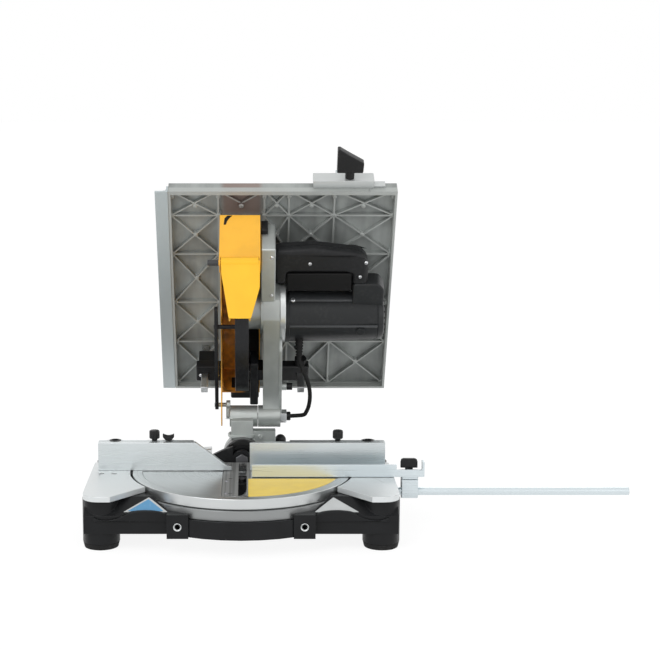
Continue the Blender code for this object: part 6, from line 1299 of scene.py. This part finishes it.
@dataclass
class Turntable(Assembly):
    """The machined disc with its insert, shield, bolts and the bare film at its right."""

    film_radius: float = 0.1455
    film_left: float = 0.0100
    film_rear: float = -0.0450
    film_faces: tuple[float, float] = (-0.0002, 0.0002)
    disc_top: float = 0.0801
    bare_rim: float = 0.0012
    insert_screws: tuple[tuple[float, float], ...] = ((-0.0215, -0.128), (-0.0215, -0.060),
                                                      (-0.0215, 0.038))
    screw_radius: float = 0.0028
    collar_centre: tuple[float, float] = (0.0, 0.1180)
    collar_radius: float = 0.0222
    collar_rows: tuple[float, float] = (0.1040, 0.1115)

    def build(self) -> None:
        """Refines the disc and what is set into it, then lays the film."""
        disc = Turned("turned_disc", (0.60, 0.62, 0.62), 0.30, 0.9, self.packed.base.origin,
                      black_above=self.disc_top + self.bare_rim)
        self.refine("turntable_disc", disc, SOFT_EDGE)
        self.refine_all({INSERT: ["kerf_insert"]}, FINE_EDGE)
        self.refine_all({PLASTIC: ["kerf_shield"]})
        self.refine_all({DARK_STEEL: ["centre_bolt", "bevel_bolt"]}, FINE_EDGE)
        self.refine_all({PLASTIC: ["bevel_lock_lever"]})
        self.build_film()
        self.build_collar()
        self.screws("insert_screws", "kerf_insert", self.packed.base, self.screw_radius,
                    [((x, y, 0.10), (0, 0, -1)) for x, y in self.insert_screws], DARK_STEEL)

    def build_film(self) -> None:
        """The film that follows the disc's rim, left bare."""
        start = -math.acos(self.film_left / self.film_radius)
        end = math.asin(self.film_rear / self.film_radius)
        angle = np.linspace(start, end, 40)
        rim = np.column_stack([np.cos(angle), np.sin(angle)]) * self.film_radius
        outline = np.vstack([rim, [(self.film_left, self.film_rear)]])
        place = Place(tuple(self.packed.base.put((0, 0, self.disc_top))))
        self.near("disc_film", prism(outline, *self.film_faces, place), YELLOW_FILM,
                  "turntable_disc")

    def build_collar(self) -> None:
        """The round collar at the foot of the tilting neck."""
        low, high = self.collar_rows
        radius = self.collar_radius
        profile = [(0.002, low), (radius - 0.005, low), (radius - 0.001, low + 0.0022),
                   (radius, low + 0.0034), (radius, high - 0.0010), (radius - 0.001, high),
                   (radius - 0.0035, high), (radius - 0.0045, high - 0.0012), (0.002, high)]
        place = Place(tuple(self.packed.base.put((*self.collar_centre, 0))))
        self.near("neck_collar", lathe(profile, place), SILVER_CAST, "tilt_bracket")


@dataclass
class Fences(Assembly):
    """The two fences with their knobs and the liners of their sockets."""

    socket: tuple[float, float] = (0.1900, 0.0165)
    fence_top: float = 0.1235
    liner_profile: tuple[tuple[float, float], ...] = (
        (0.0052, -0.006), (0.0088, -0.0004), (0.0088, 0.0005), (0.0080, 0.0009),
        (0.0056, 0.0009), (0.0052, 0.0005))
    knob_profile: tuple[tuple[float, float], ...] = (
        (0.001, 0.0), (0.52, 0.0), (0.52, 0.34), (0.62, 0.40), (0.90, 0.42), (0.95, 0.47),
        (0.95, 0.88), (0.88, 0.97), (0.70, 1.0), (0.001, 1.0))
    knob_ribs: int = 10
    rib_depth: float = 0.05

    def build(self) -> None:
        """Refines the fences, turns the knobs and lines the sockets."""
        self.refine_all({FENCE_FACE: ["left_fence", "right_fence"], KNOB_PLASTIC: ["wing_knob"]})
        for side in ("left", "right"):
            self.build_knob(f"{side}_clamp_knob")
        self.build_liners()

    def build_knob(self, node: str) -> None:
        """A ribbed head on a narrow neck.

        Its radius at the angle a and height z is the profile's, times 1 + d cos(n a) on the
        head, where d is the ribs' depth and n their number.

        Args:
            node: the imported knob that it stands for.
        """
        low, high = (np.asarray(corner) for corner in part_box(node))
        radius, tall = (high[0] - low[0]) / 2, high[2] - low[2]
        share = np.array(self.knob_profile)
        angle = np.linspace(0, math.tau, 120, endpoint=False)[:, None]
        on_head = share[None, :, 0] > 0.6
        rib = 1 + self.rib_depth * np.cos(self.knob_ribs * angle) * on_head
        r = share[None, :, 0] * radius * rib
        z = low[2] + share[None, :, 1] * tall + 0 * angle
        middle = (low + high) / 2
        points = np.stack([middle[0] + r * np.cos(angle), middle[1] + r * np.sin(angle), z], -1)
        self.near(f"{node}_ribbed", (points.reshape(-1, 3),
                                     grid_faces(len(angle), len(share), True, True)),
                  KNOB_PLASTIC, node, [node])

    def build_liners(self) -> None:
        """A black liner in each hold-down socket."""
        x, y = self.socket
        for name, side in (("left", -1), ("right", 1)):
            place = Place(tuple(self.packed.base.put((side * x, y, self.fence_top))))
            self.near(f"socket_liner_{name}", lathe(self.liner_profile, place, 48),
                      KNOB_PLASTIC, f"{name}_fence")


@dataclass
class HeadCasting(Assembly):
    """The tilt bracket and the arm that pivots on it."""

    rib_outline: tuple[tuple[float, float], ...] = (
        (0.0040, -0.0060), (0.0430, 0.0105), (0.1180, 0.0185), (0.1300, 0.0300),
        (0.1300, 0.0600), (0.0300, 0.0600), (0.0040, 0.0300))
    rib_sides: tuple[float, float] = (0.0570, 0.0625)
    rib_round: float = 0.0014
    latch_low: tuple[float, float, float] = (0.0292, 0.2990, 0.0700)
    latch_high: tuple[float, float, float] = (0.0395, 0.3070, 0.0965)
    tail_low: tuple[float, float, float] = (-0.0185, -0.0120, 0.0560)
    tail_high: tuple[float, float, float] = (0.0270, 0.0105, 0.0850)
    cover_screws: tuple[tuple[float, float], ...] = ((0.045, 0.285), (0.045, 0.215))
    casting_edge: float = 0.0006

    def build(self) -> None:
        """Refines the castings and the hardware at the pivot, and adds the small blocks."""
        self.refine_all({SILVER_CAST: ["tilt_bracket"], PALE_CAST: ["gear_case_cover"]},
                        SOFT_EDGE)
        arm = PartPainted("arm_casting_metal", SILVER_CAST.colour, 0.42, 0.8, 620, 0.00016, 0.10,
                          self.packed.head.origin)
        self.refine("arm_casting", arm, self.casting_edge, UNDIVIDED)
        self.refine_all({BRIGHT_STEEL: ["pivot_bolt"], KNOB_PLASTIC: ["head_lock_plunger"]},
                        FINE_EDGE)
        self.build_rib()
        self.block("arm_latch_block", self.latch_low, self.latch_high, KNOB_PLASTIC,
                   "arm_casting", 0.0012)
        self.block("guard_tail_block", self.tail_low, self.tail_high, KNOB_PLASTIC,
                   "arm_casting", 0.0030)
        self.screws("tail_screws", "arm_casting", self.packed.head, SCREW_RADIUS,
                    [((x, u, 0.0), (0, 0, 1)) for x, u in self.cover_screws])

    def build_rib(self) -> None:
        """The rib on the arm's right side, from the pivot up to the gear case."""
        outline = rounded(self.rib_outline, 0.004)
        rib = self.near("arm_rib", prism(outline, *self.rib_sides, self.sideways()), SILVER_CAST,
                        "arm_casting")
        self.round_edges(rib, self.rib_round, 3)


@dataclass
class Motor(Assembly):
    """The motor in its plastic case, and the handle with its trigger."""

    axis: tuple[float, float] = (0.143, 0.0745)
    radius: float = 0.0400
    band_ends: tuple[float, float] = (0.0735, 0.2090)
    band_angles: tuple[tuple[float, float], ...] = ((-24.0, 19.0), (74.0, 80.0))
    band_crown: float = 0.0018
    shoulder_outline: tuple[tuple[float, float], ...] = (
        (0.1700, 0.1600), (0.2185, 0.1600), (0.2185, 0.2035), (0.2100, 0.2150),
        (0.1700, 0.2150))
    shoulder_rows: tuple[float, float] = (0.0585, 0.0905)
    shoulder_round: float = 0.0030
    recess_low: tuple[float, float, float] = (0.0690, 0.2020, 0.0588)
    recess_high: tuple[float, float, float] = (0.1670, 0.2345, 0.0735)
    handle_screws: tuple[tuple[float, float], ...] = ((0.1032, 0.2525), (0.1880, 0.2532),
                                                      (0.1799, 0.2283))
    case_screw: tuple[tuple[float, float, float], ...] = ((0.0789, 0.2350, 0.0430),
                                                          (0, -0.93, 0.37))
    case_screw_radius: float = 0.0042
    vents: int = 18
    vent_ring: float = 0.024
    vent_half: tuple[float, float] = (0.006, 0.0013)
    vent_faces: tuple[float, float] = (-0.0020, 0.0002)
    end_cap_right: float = 0.2300

    def build(self) -> None:
        """Refines the case and the handle, and dresses what is inside."""
        self.refine_all({PLASTIC: ["handle_shell_lower", "handle_shell_upper"]}, SOFT_EDGE,
                        UNDIVIDED)
        self.refine_all({MOTOR_PLASTIC: ["motor_housing", "motor_end_cap"],
                         KNOB_PLASTIC: ["trigger", "lock_off_button"], COPPER: ["stator"]})
        self.refine_all({COPPER: ["armature"], DARK_STEEL: ["spindle_gear"]}, 0.0, UNDIVIDED)
        self.build_bands()
        self.build_shoulder()
        # A black block of painted shade in the handle's recess, between grip and case.
        self.block("handle_recess_shade", self.recess_low, self.recess_high, SHADE_BLACK,
                   "handle_shell_lower", 0.0015)
        self.screws("handle_screws", "handle_shell_lower", self.packed.head, SCREW_RADIUS,
                    [((x, u, 0.0), (0, 0, 1)) for x, u in self.handle_screws])
        self.screws("case_screw", "motor_housing", self.packed.head, self.case_screw_radius,
                    [self.case_screw])
        self.build_vents()

    def build_bands(self) -> None:
        """Raised bands along the case, each a ring sector carried along the motor's axis, lighter
        as painted light.
        """
        parts = []
        for first, last in self.band_angles:
            angle = np.radians(np.linspace(first, last, 14))
            crown = self.radius + self.band_crown * np.sin(np.linspace(0, math.pi, 14)) ** 0.5
            outer = np.column_stack([np.cos(angle), -np.sin(angle)]) * crown[:, None]
            inner = np.column_stack([np.cos(angle), -np.sin(angle)])[::-1] * (self.radius - 0.001)
            outline = np.vstack([outer, inner]) + self.axis
            parts.append(prism(outline, *self.band_ends, self.sideways()))
        self.near("case_bands", together(parts), LIT_BAND_PLASTIC, "motor_housing")

    def build_shoulder(self) -> None:
        """The boss at the far end of the case that the handle is screwed to."""
        form = prism(rounded(self.shoulder_outline, 0.005), *self.shoulder_rows, self.packed.head)
        shoulder = self.near("case_shoulder", form, MOTOR_PLASTIC, "motor_housing")
        self.round_edges(shoulder, self.shoulder_round, 4)

    def build_vents(self) -> None:
        """Air slots in a ring on the end cap, drawn as black plates of painted shade."""
        head = self.packed.head
        (u, w), ring, (x, y) = self.axis, self.vent_ring, self.vent_half
        outline = rounded([(-x, -y), (x, -y), (x, y), (-x, y)], 0.0012, 4)
        parts = []
        for turn in np.linspace(0, math.tau, self.vents, endpoint=False):
            cos, sin = math.cos(turn), math.sin(turn)
            spot = (self.end_cap_right, u + cos * ring, w + sin * ring)
            seat = self.packed.seat("motor_end_cap", head, spot, (-1, 0, 0))
            place = head.along(seat, ((0, cos, sin), (0, -sin, cos), (1, 0, 0)))
            parts.append(prism(outline, *self.vent_faces, place))
        self.near("end_cap_vents", together(parts), SHADE_BLACK, "motor_end_cap")


@dataclass
class MotorLead(Assembly):
    """The motor's lead from its strain relief down to the clip at the pivot."""

    radius: float = 0.0032
    relief_start: tuple[float, float, float] = (0.0890, 0.1176, 0.0423)
    relief_way: tuple[float, float, float] = (0.0, -0.62, -0.7846)
    relief_length: float = 0.0240
    line: tuple[tuple[float, float, float], ...] = (
        (0.0950, 0.0880, 0.0060), (0.1010, 0.0760, -0.0010), (0.1050, 0.0600, -0.0055),
        (0.1060, 0.0430, -0.0070), (0.1045, 0.0260, -0.0060), (0.1010, 0.0120, -0.0040),
        (0.0960, 0.0035, -0.0015), (0.0740, 0.0000, 0.0000))
    relief_radius: tuple[float, float] = (0.0064, 0.0044)
    relief_ripple: float = 0.0006
    relief_rings: int = 6
    clip_left: float = 0.0700
    clip_profile: tuple[tuple[float, float], ...] = (
        (0.0015, 0.0), (0.0062, 0.0), (0.0070, 0.0008), (0.0070, 0.0056), (0.0060, 0.0066),
        (0.0040, 0.0066), (0.0015, 0.0066))

    def build(self) -> None:
        """Makes the lead, its ribbed relief and its clip."""
        head = self.packed.head
        start = np.array(self.relief_start) + np.array(self.relief_way) * self.relief_length
        ahead = start + np.array(self.relief_way) * self.radius * 2
        path = head.put(route([tuple(start), tuple(ahead), *self.line], 8))
        lead = self.near("motor_lead_tube", tube(path, self.radius), RUBBER, "motor_lead",
                         ["motor_lead"])
        relief = self.build_relief()
        clip_place = head.at((self.clip_left, 0, 0), (1, 0, 0))
        clip = self.near("lead_clip", lathe(self.clip_profile, clip_place, 40), KNOB_PLASTIC,
                         "motor_lead")

    def build_relief(self) -> bpy.types.Object:
        """The strain relief: a taper whose radius is rippled along its length.

        Returns:
            The strain relief.
        """
        share = np.linspace(0, 1, 61)
        wide, slim = self.relief_radius
        ripple = np.sign(np.sin(share * math.tau * self.relief_rings))
        radius = wide - (wide - slim) * share + self.relief_ripple * ripple
        along = share * (self.relief_length + 0.004) - 0.003
        profile = [(0.0008, along[0]), *zip(radius, along), (0.0008, along[-1])]
        place = self.packed.head.at(self.relief_start, self.relief_way)
        return self.near("lead_relief", lathe(profile, place, 40), RUBBER, "motor_lead")


@dataclass
class BladeAndGuards(Assembly):
    """The blade, its flanges and the guards round it."""

    arbor: tuple[float, float] = (0.170, 0.060)
    guard_middle: float = -0.0025
    nose_foot: tuple[float, float] = (0.2985, 0.0135)
    nose_way: tuple[float, float] = (0.2028, 0.9792)
    slit: tuple[tuple[float, float], ...] = (
        (-0.0270, 0.0660), (-0.0258, 0.0790), (-0.0215, 0.0850), (-0.0140, 0.0850),
        (-0.0185, 0.0795), (-0.0218, 0.0735), (-0.0236, 0.0660))
    flap_pin: tuple[float, float] = (0.2930, 0.0060)
    flap_down: tuple[float, float] = (-0.5807, -0.8141)
    flap_outline: tuple[tuple[float, float], ...] = (
        (-0.0302, -0.0020), (0.0272, -0.0020), (0.0268, 0.0400), (0.0140, 0.0872),
        (-0.0185, 0.0872), (-0.0296, 0.0180))
    knuckle_radius: float = 0.0084
    knuckle_ends: tuple[float, float] = (-0.0302, 0.0252)
    flap_faces: tuple[float, float] = (0.0050, 0.0068)
    slit_faces: tuple[float, float] = (-0.0004, 0.0002)
    teeth: int = 36
    tooth_radius: float = 0.1236
    tip_reach: tuple[float, float] = (-0.0052, 0.0010)
    tip_half: float = 0.0017

    def build(self) -> None:
        """Refines the blade, the yellow guard and the swinging guard."""
        head = self.packed.head
        blade = Turned("ground_blade", (0.55, 0.56, 0.57), 0.26, 1.0,
                       tuple(head.put((0, *self.arbor))), Axis.X)
        self.refine("saw_blade", blade, 0.0)
        self.refine_all({DARK_STEEL: ["inner_flange", "outer_flange"],
                         BRIGHT_STEEL: ["blade_bolt", "riving_knife"]}, FINE_EDGE)
        coat = Powder("yellow_powder_coat", (0.93, 0.47, 0.022), 0.30, 0.0,
                      origin=tuple(head.put((self.guard_middle, 0.0, 0.0))))
        self.refine_all({coat: ["blade_guard"], FLAP_COAT: ["front_flap"]}, FINE_EDGE)
        self.refine_all({GUARD_PLASTIC: ["lower_guard", "guard_link", "guard_rear_cover"]})
        self.build_flap_face()
        self.build_slit()
        self.build_tips()

    def build_flap_face(self) -> None:
        """The flap's folded front, and the roll that it hangs by."""
        right, down = (1, 0, 0), (0, *self.flap_down)
        out = (0, -down[2], down[1])
        pin = (0, *self.flap_pin)
        place = self.packed.head.along(pin, (right, down, out))
        sheet = prism(rounded(self.flap_outline, 0.003), *self.flap_faces, place)
        face = self.near("flap_face", sheet, FLAP_COAT, "front_flap")
        self.round_edges(face, 0.0006, 2)
        start, end = self.knuckle_ends
        radius = self.knuckle_radius
        profile = [(0.0024, start), (radius - 0.0004, start), (radius, start + 0.0004),
                   (radius, end - 0.0004), (radius - 0.0004, end), (0.0024, end)]
        roll = self.packed.head.along(pin, (down, out, right))
        self.near("flap_roll", lathe(profile, roll, 48), FLAP_COAT, "front_flap")

    def build_slit(self) -> None:
        """The slot across the nose's upper corner, drawn as a black plate of painted shade."""
        up = (0, *self.nose_way)
        place = self.packed.head.along((0, *self.nose_foot),
                                       ((1, 0, 0), up, (0, up[2], -up[1])))
        self.near("nose_slot", prism(self.slit, *self.slit_faces, place), SHADE_BLACK,
                  "blade_guard")

    def build_tips(self) -> None:
        """The hard tips brazed to the teeth, a little wider than the plate."""
        near, far = (self.tooth_radius + reach for reach in self.tip_reach)
        outline = [(near, -0.0008), (far, -0.0006), (far, 0.0010), (near, 0.0006)]
        parts = []
        for turn in np.linspace(0, math.tau, self.teeth, endpoint=False):
            cos, sin = math.cos(turn), math.sin(turn)
            place = self.packed.head.along((0, *self.arbor),
                                           ((0, cos, sin), (0, -sin, cos), (1, 0, 0)))
            parts.append(prism(outline, -self.tip_half, self.tip_half, place))
        self.near("tooth_tips", together(parts), DARK_STEEL, "saw_blade")


@dataclass
class SawTable(Assembly):
    """The ribbed table on the head with its posts, rip fence and top guard."""

    columns: tuple[float, ...] = (-0.0360, 0.0345, 0.0720, 0.1410)
    rows: tuple[float, ...] = (0.0493, 0.1293, 0.2233, 0.2953)
    sides: tuple[float, float] = (-0.1060, 0.2300)
    ends: tuple[float, float] = (-0.0360, 0.3290)
    boss_radius: float = 0.0042
    deck_bottom: float = 0.1347
    crest: float = 0.1272
    guide_low: tuple[float, float, float] = (-0.0700, 0.0170, 0.0800)
    guide_high: tuple[float, float, float] = (-0.0440, 0.0430, 0.1120)
    guide_screws: tuple[tuple[float, float], ...] = ((-0.0665, 0.0305), (-0.0400, 0.0305))
    well_low: tuple[float, float] = (-0.034, 0.0)
    well_high: tuple[float, float] = (0.033, 0.312)
    posts: tuple[tuple[float, float], ...] = ((-0.060, 0.030), (0.093, 0.030))
    post_clear: float = 0.016

    def build(self) -> None:
        """Refines the casting and what stands on it."""
        casting = RibbedCasting("table_casting", (0.330, 0.350, 0.340), 0.50, 0.25,
                                self.packed.head.origin)
        self.refine_all({casting: ["upper_table"], SILVER_CAST: ["table_kerf_plate"],
                         KNOB_PLASTIC: ["rip_fence_clamp"]}, EDGE, UNDIVIDED)
        self.refine_all({BLACK_CAST: ["left_table_guide"],
                         BRIGHT_STEEL: ["left_table_post", "right_table_post",
                                        "top_guard_bracket"],
                         KNOB_PLASTIC: ["table_clamp_knob"],
                         PLASTIC: ["top_guard"], RAIL: ["table_side_rail", "rip_fence_bar"],
                         FENCE_HEAD: ["rip_fence_head"]})
        self.build_bosses(casting)
        self.block("guide_riser", self.guide_low, self.guide_high, BLACK_CAST,
                   "left_table_guide", 0.0015)
        self.screws("guide_screws", "left_table_guide", self.packed.head, SCREW_RADIUS,
                    [((x, u, 0.0), (0, 0, 1)) for x, u in self.guide_screws])

    def build_bosses(self, casting: Finish) -> None:
        """The round bosses where ribs meet or end.

        Each is a turned taper from the table's underside to a dome just under the ribs' edges.

        Args:
            casting: the table's finish.
        """
        tall = self.deck_bottom - self.crest
        r = self.boss_radius
        profile = [(0.0004, -0.0010), (r * 1.25, -0.0010), (r, tall * 0.45),
                   (r * 0.90, tall * 0.85), (r * 0.60, tall), (0.0004, tall + 0.0003)]
        across = (self.sides[0], *self.columns, self.sides[1])
        along = (self.ends[0], *self.rows, self.ends[1])
        spots = [(x, u) for x in across for u in along]
        spots += [((x0 + x1) / 2, (u0 + u1) / 2) for x0, x1 in zip(across, across[1:])
                  for u0, u1 in zip(along, along[1:])]
        parts = [lathe(profile, self.packed.head.at((x, u, self.deck_bottom), (0, 0, -1)), 18)
                 for x, u in spots if not self.taken(x, u)]
        self.near("rib_bosses", together(parts), casting, "upper_table")

    def taken(self, x: float, u: float) -> bool:
        """Whether a spot lies in the guard's well or over a post.

        Args:
            x: how far right it lies.
            u: how far forward it lies.

        Returns:
            True where a boss would be in the way.
        """
        low, high, clear = self.well_low, self.well_high, self.post_clear
        well = low[0] < x < high[0] and low[1] < u < high[1]
        return well or any(abs(x - a) < clear and abs(u - b) < clear for a, b in self.posts)


@dataclass
class LengthStop(Assembly):
    """The rod at the right with its sliding stop."""

    head_outline: tuple[tuple[float, float], ...] = (
        (-0.0122, 0.0035), (-0.0105, 0.0000), (0.0105, 0.0000), (0.0122, 0.0035),
        (0.0118, 0.0125), (0.0080, 0.0140), (-0.0080, 0.0140), (-0.0118, 0.0125))
    grip_drop: float = 0.0100
    grip_half: float = 0.0032
    grip_round: float = 0.0012

    def build(self) -> None:
        """Refines the rod, the sleeve, the angled guide and the wing screw."""
        self.refine_all({ANODISED: ["stop_rod", "stop_sleeve", "stop_guide"],
                         KNOB_PLASTIC: ["stop_wing_screw"]})
        low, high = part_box("stop_wing_screw")
        middle = (low + high) / 2
        place = Place((middle.x, middle.y, high.z - self.grip_drop),
                      ((1, 0, 0), (0, 0, 1), (0, 1, 0)))
        form = prism(self.head_outline, -self.grip_half, self.grip_half, place)
        grip = self.near("stop_screw_grip", form, KNOB_PLASTIC, "stop_wing_screw")
        self.round_edges(grip, self.grip_round, 3)


@dataclass(frozen=True)
class Studio:
    """The plain room: a floor, a sky, soft lamps and the camera."""

    floor_half: float = 30.0
    floor_glow: float = 1.08
    floor_share: float = 0.82
    sky: float = 0.70
    aim: tuple[float, float, float] = (-0.1, 0.0, 0.25)
    lamps: tuple[tuple[str, tuple[float, float, float], float, float], ...] = (
        ("key", (-1.3, -2.0, 1.9), 26.0, 1.8),
        ("fill", (1.9, -1.7, 1.1), 10.0, 1.6),
        ("rear", (0.4, 2.2, 1.9), 10.0, 1.6))
    eye: tuple[float, float, float] = (-0.16075, -2.25718, 0.6405)
    tilt: float = 81.2
    lens: float = 81.98
    shift: float = 0.1212

    def build(self) -> None:
        """Makes the room."""
        self.build_camera()
        self.build_floor()
        self.build_sky()
        self.build_lamps()
        bpy.context.scene.view_settings.view_transform = "Standard"

    def build_floor(self) -> None:
        """A white floor whose own colour shows to the camera, with the object's shadow."""
        half = self.floor_half
        corners = np.array([(-half, -half, 0), (half, -half, 0), (half, half, 0), (-half, half, 0)])
        floor = mesh_object("floor", corners, [(0, 1, 2, 3)])
        graph = Graph(bpy.data.materials.new("pale_floor"))
        white = graph.node("ShaderNodeEmission", None,
                           {"Color": (1, 1, 1), "Strength": self.floor_glow}).out(0)
        shaded = graph.known("Principled BSDF").out(0)
        mixed = graph.node("ShaderNodeMixShader", None,
                           {0: self.seen(graph) * self.floor_share, 1: shaded, 2: white}).out(0)
        graph.feed(graph.known("Material Output").node.inputs["Surface"], mixed)
        grain = graph.noise(3.0, 2)
        graph.dress(Base_Color=graph.blend((0.90, 0.90, 0.90), (0.94, 0.94, 0.94), grain),
                    Roughness=0.9)
        floor.data.materials.append(graph.owner)

    def seen(self, graph: Graph) -> Value:
        """1 for camera, glossy and transmitted rays, 0 for the light that falls on things.

        Args:
            graph: the tree that the nodes go to.

        Returns:
            The share that is seen directly.
        """
        path = graph.node("ShaderNodeLightPath")
        total = path.out("Is Camera Ray") + path.out("Is Glossy Ray")
        return (total + path.out("Is Transmission Ray")).math("MINIMUM", 1.0)

    def build_sky(self) -> None:
        """A white sky, lower as a light than as a background."""
        world = bpy.data.worlds.new("sky")
        bpy.context.scene.world = world
        graph = Graph(world)
        background = graph.known("Background").node
        graph.feed(background.inputs["Color"], (1, 1, 1))
        graph.feed(background.inputs["Strength"], self.seen(graph) * (1 - self.sky) + self.sky)

    def build_lamps(self) -> None:
        """A large soft lamp high at the left front, and two weaker ones."""
        for name, place, power, size in self.lamps:
            data = bpy.data.lights.new(name, "AREA")
            data.energy = power
            data.size = size
            lamp = bpy.data.objects.new(name, data)
            lamp.location = place
            ahead = Vector(self.aim) - lamp.location
            lamp.rotation_euler = ahead.to_track_quat("-Z", "Y").to_euler()
            bpy.context.scene.collection.objects.link(lamp)

    def build_camera(self) -> None:
        """The camera, at the photograph's height and distance."""
        data = bpy.data.cameras.new("camera")
        data.sensor_width = 36.0
        data.lens = self.lens
        data.shift_x = self.shift
        camera = bpy.data.objects.new("camera", data)
        camera.location = self.eye
        camera.rotation_euler = (math.radians(self.tilt), 0, 0)
        bpy.context.scene.collection.objects.link(camera)
        bpy.context.scene.camera = camera


def main() -> None:
    """Builds every sub-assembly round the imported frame."""
    logging.basicConfig(level=logging.INFO, format="%(name)s: %(message)s")
    packed = Packed(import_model())
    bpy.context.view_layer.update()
    Studio().build()
    builders: tuple[Callable[[Packed], Assembly], ...] = (
        MotorLead, BaseCasting, Turntable, Fences, HeadCasting, Motor, BladeAndGuards, SawTable,
        LengthStop)
    for builder in builders:
        builder(packed).build()


if __name__ == "__main__":
    main()
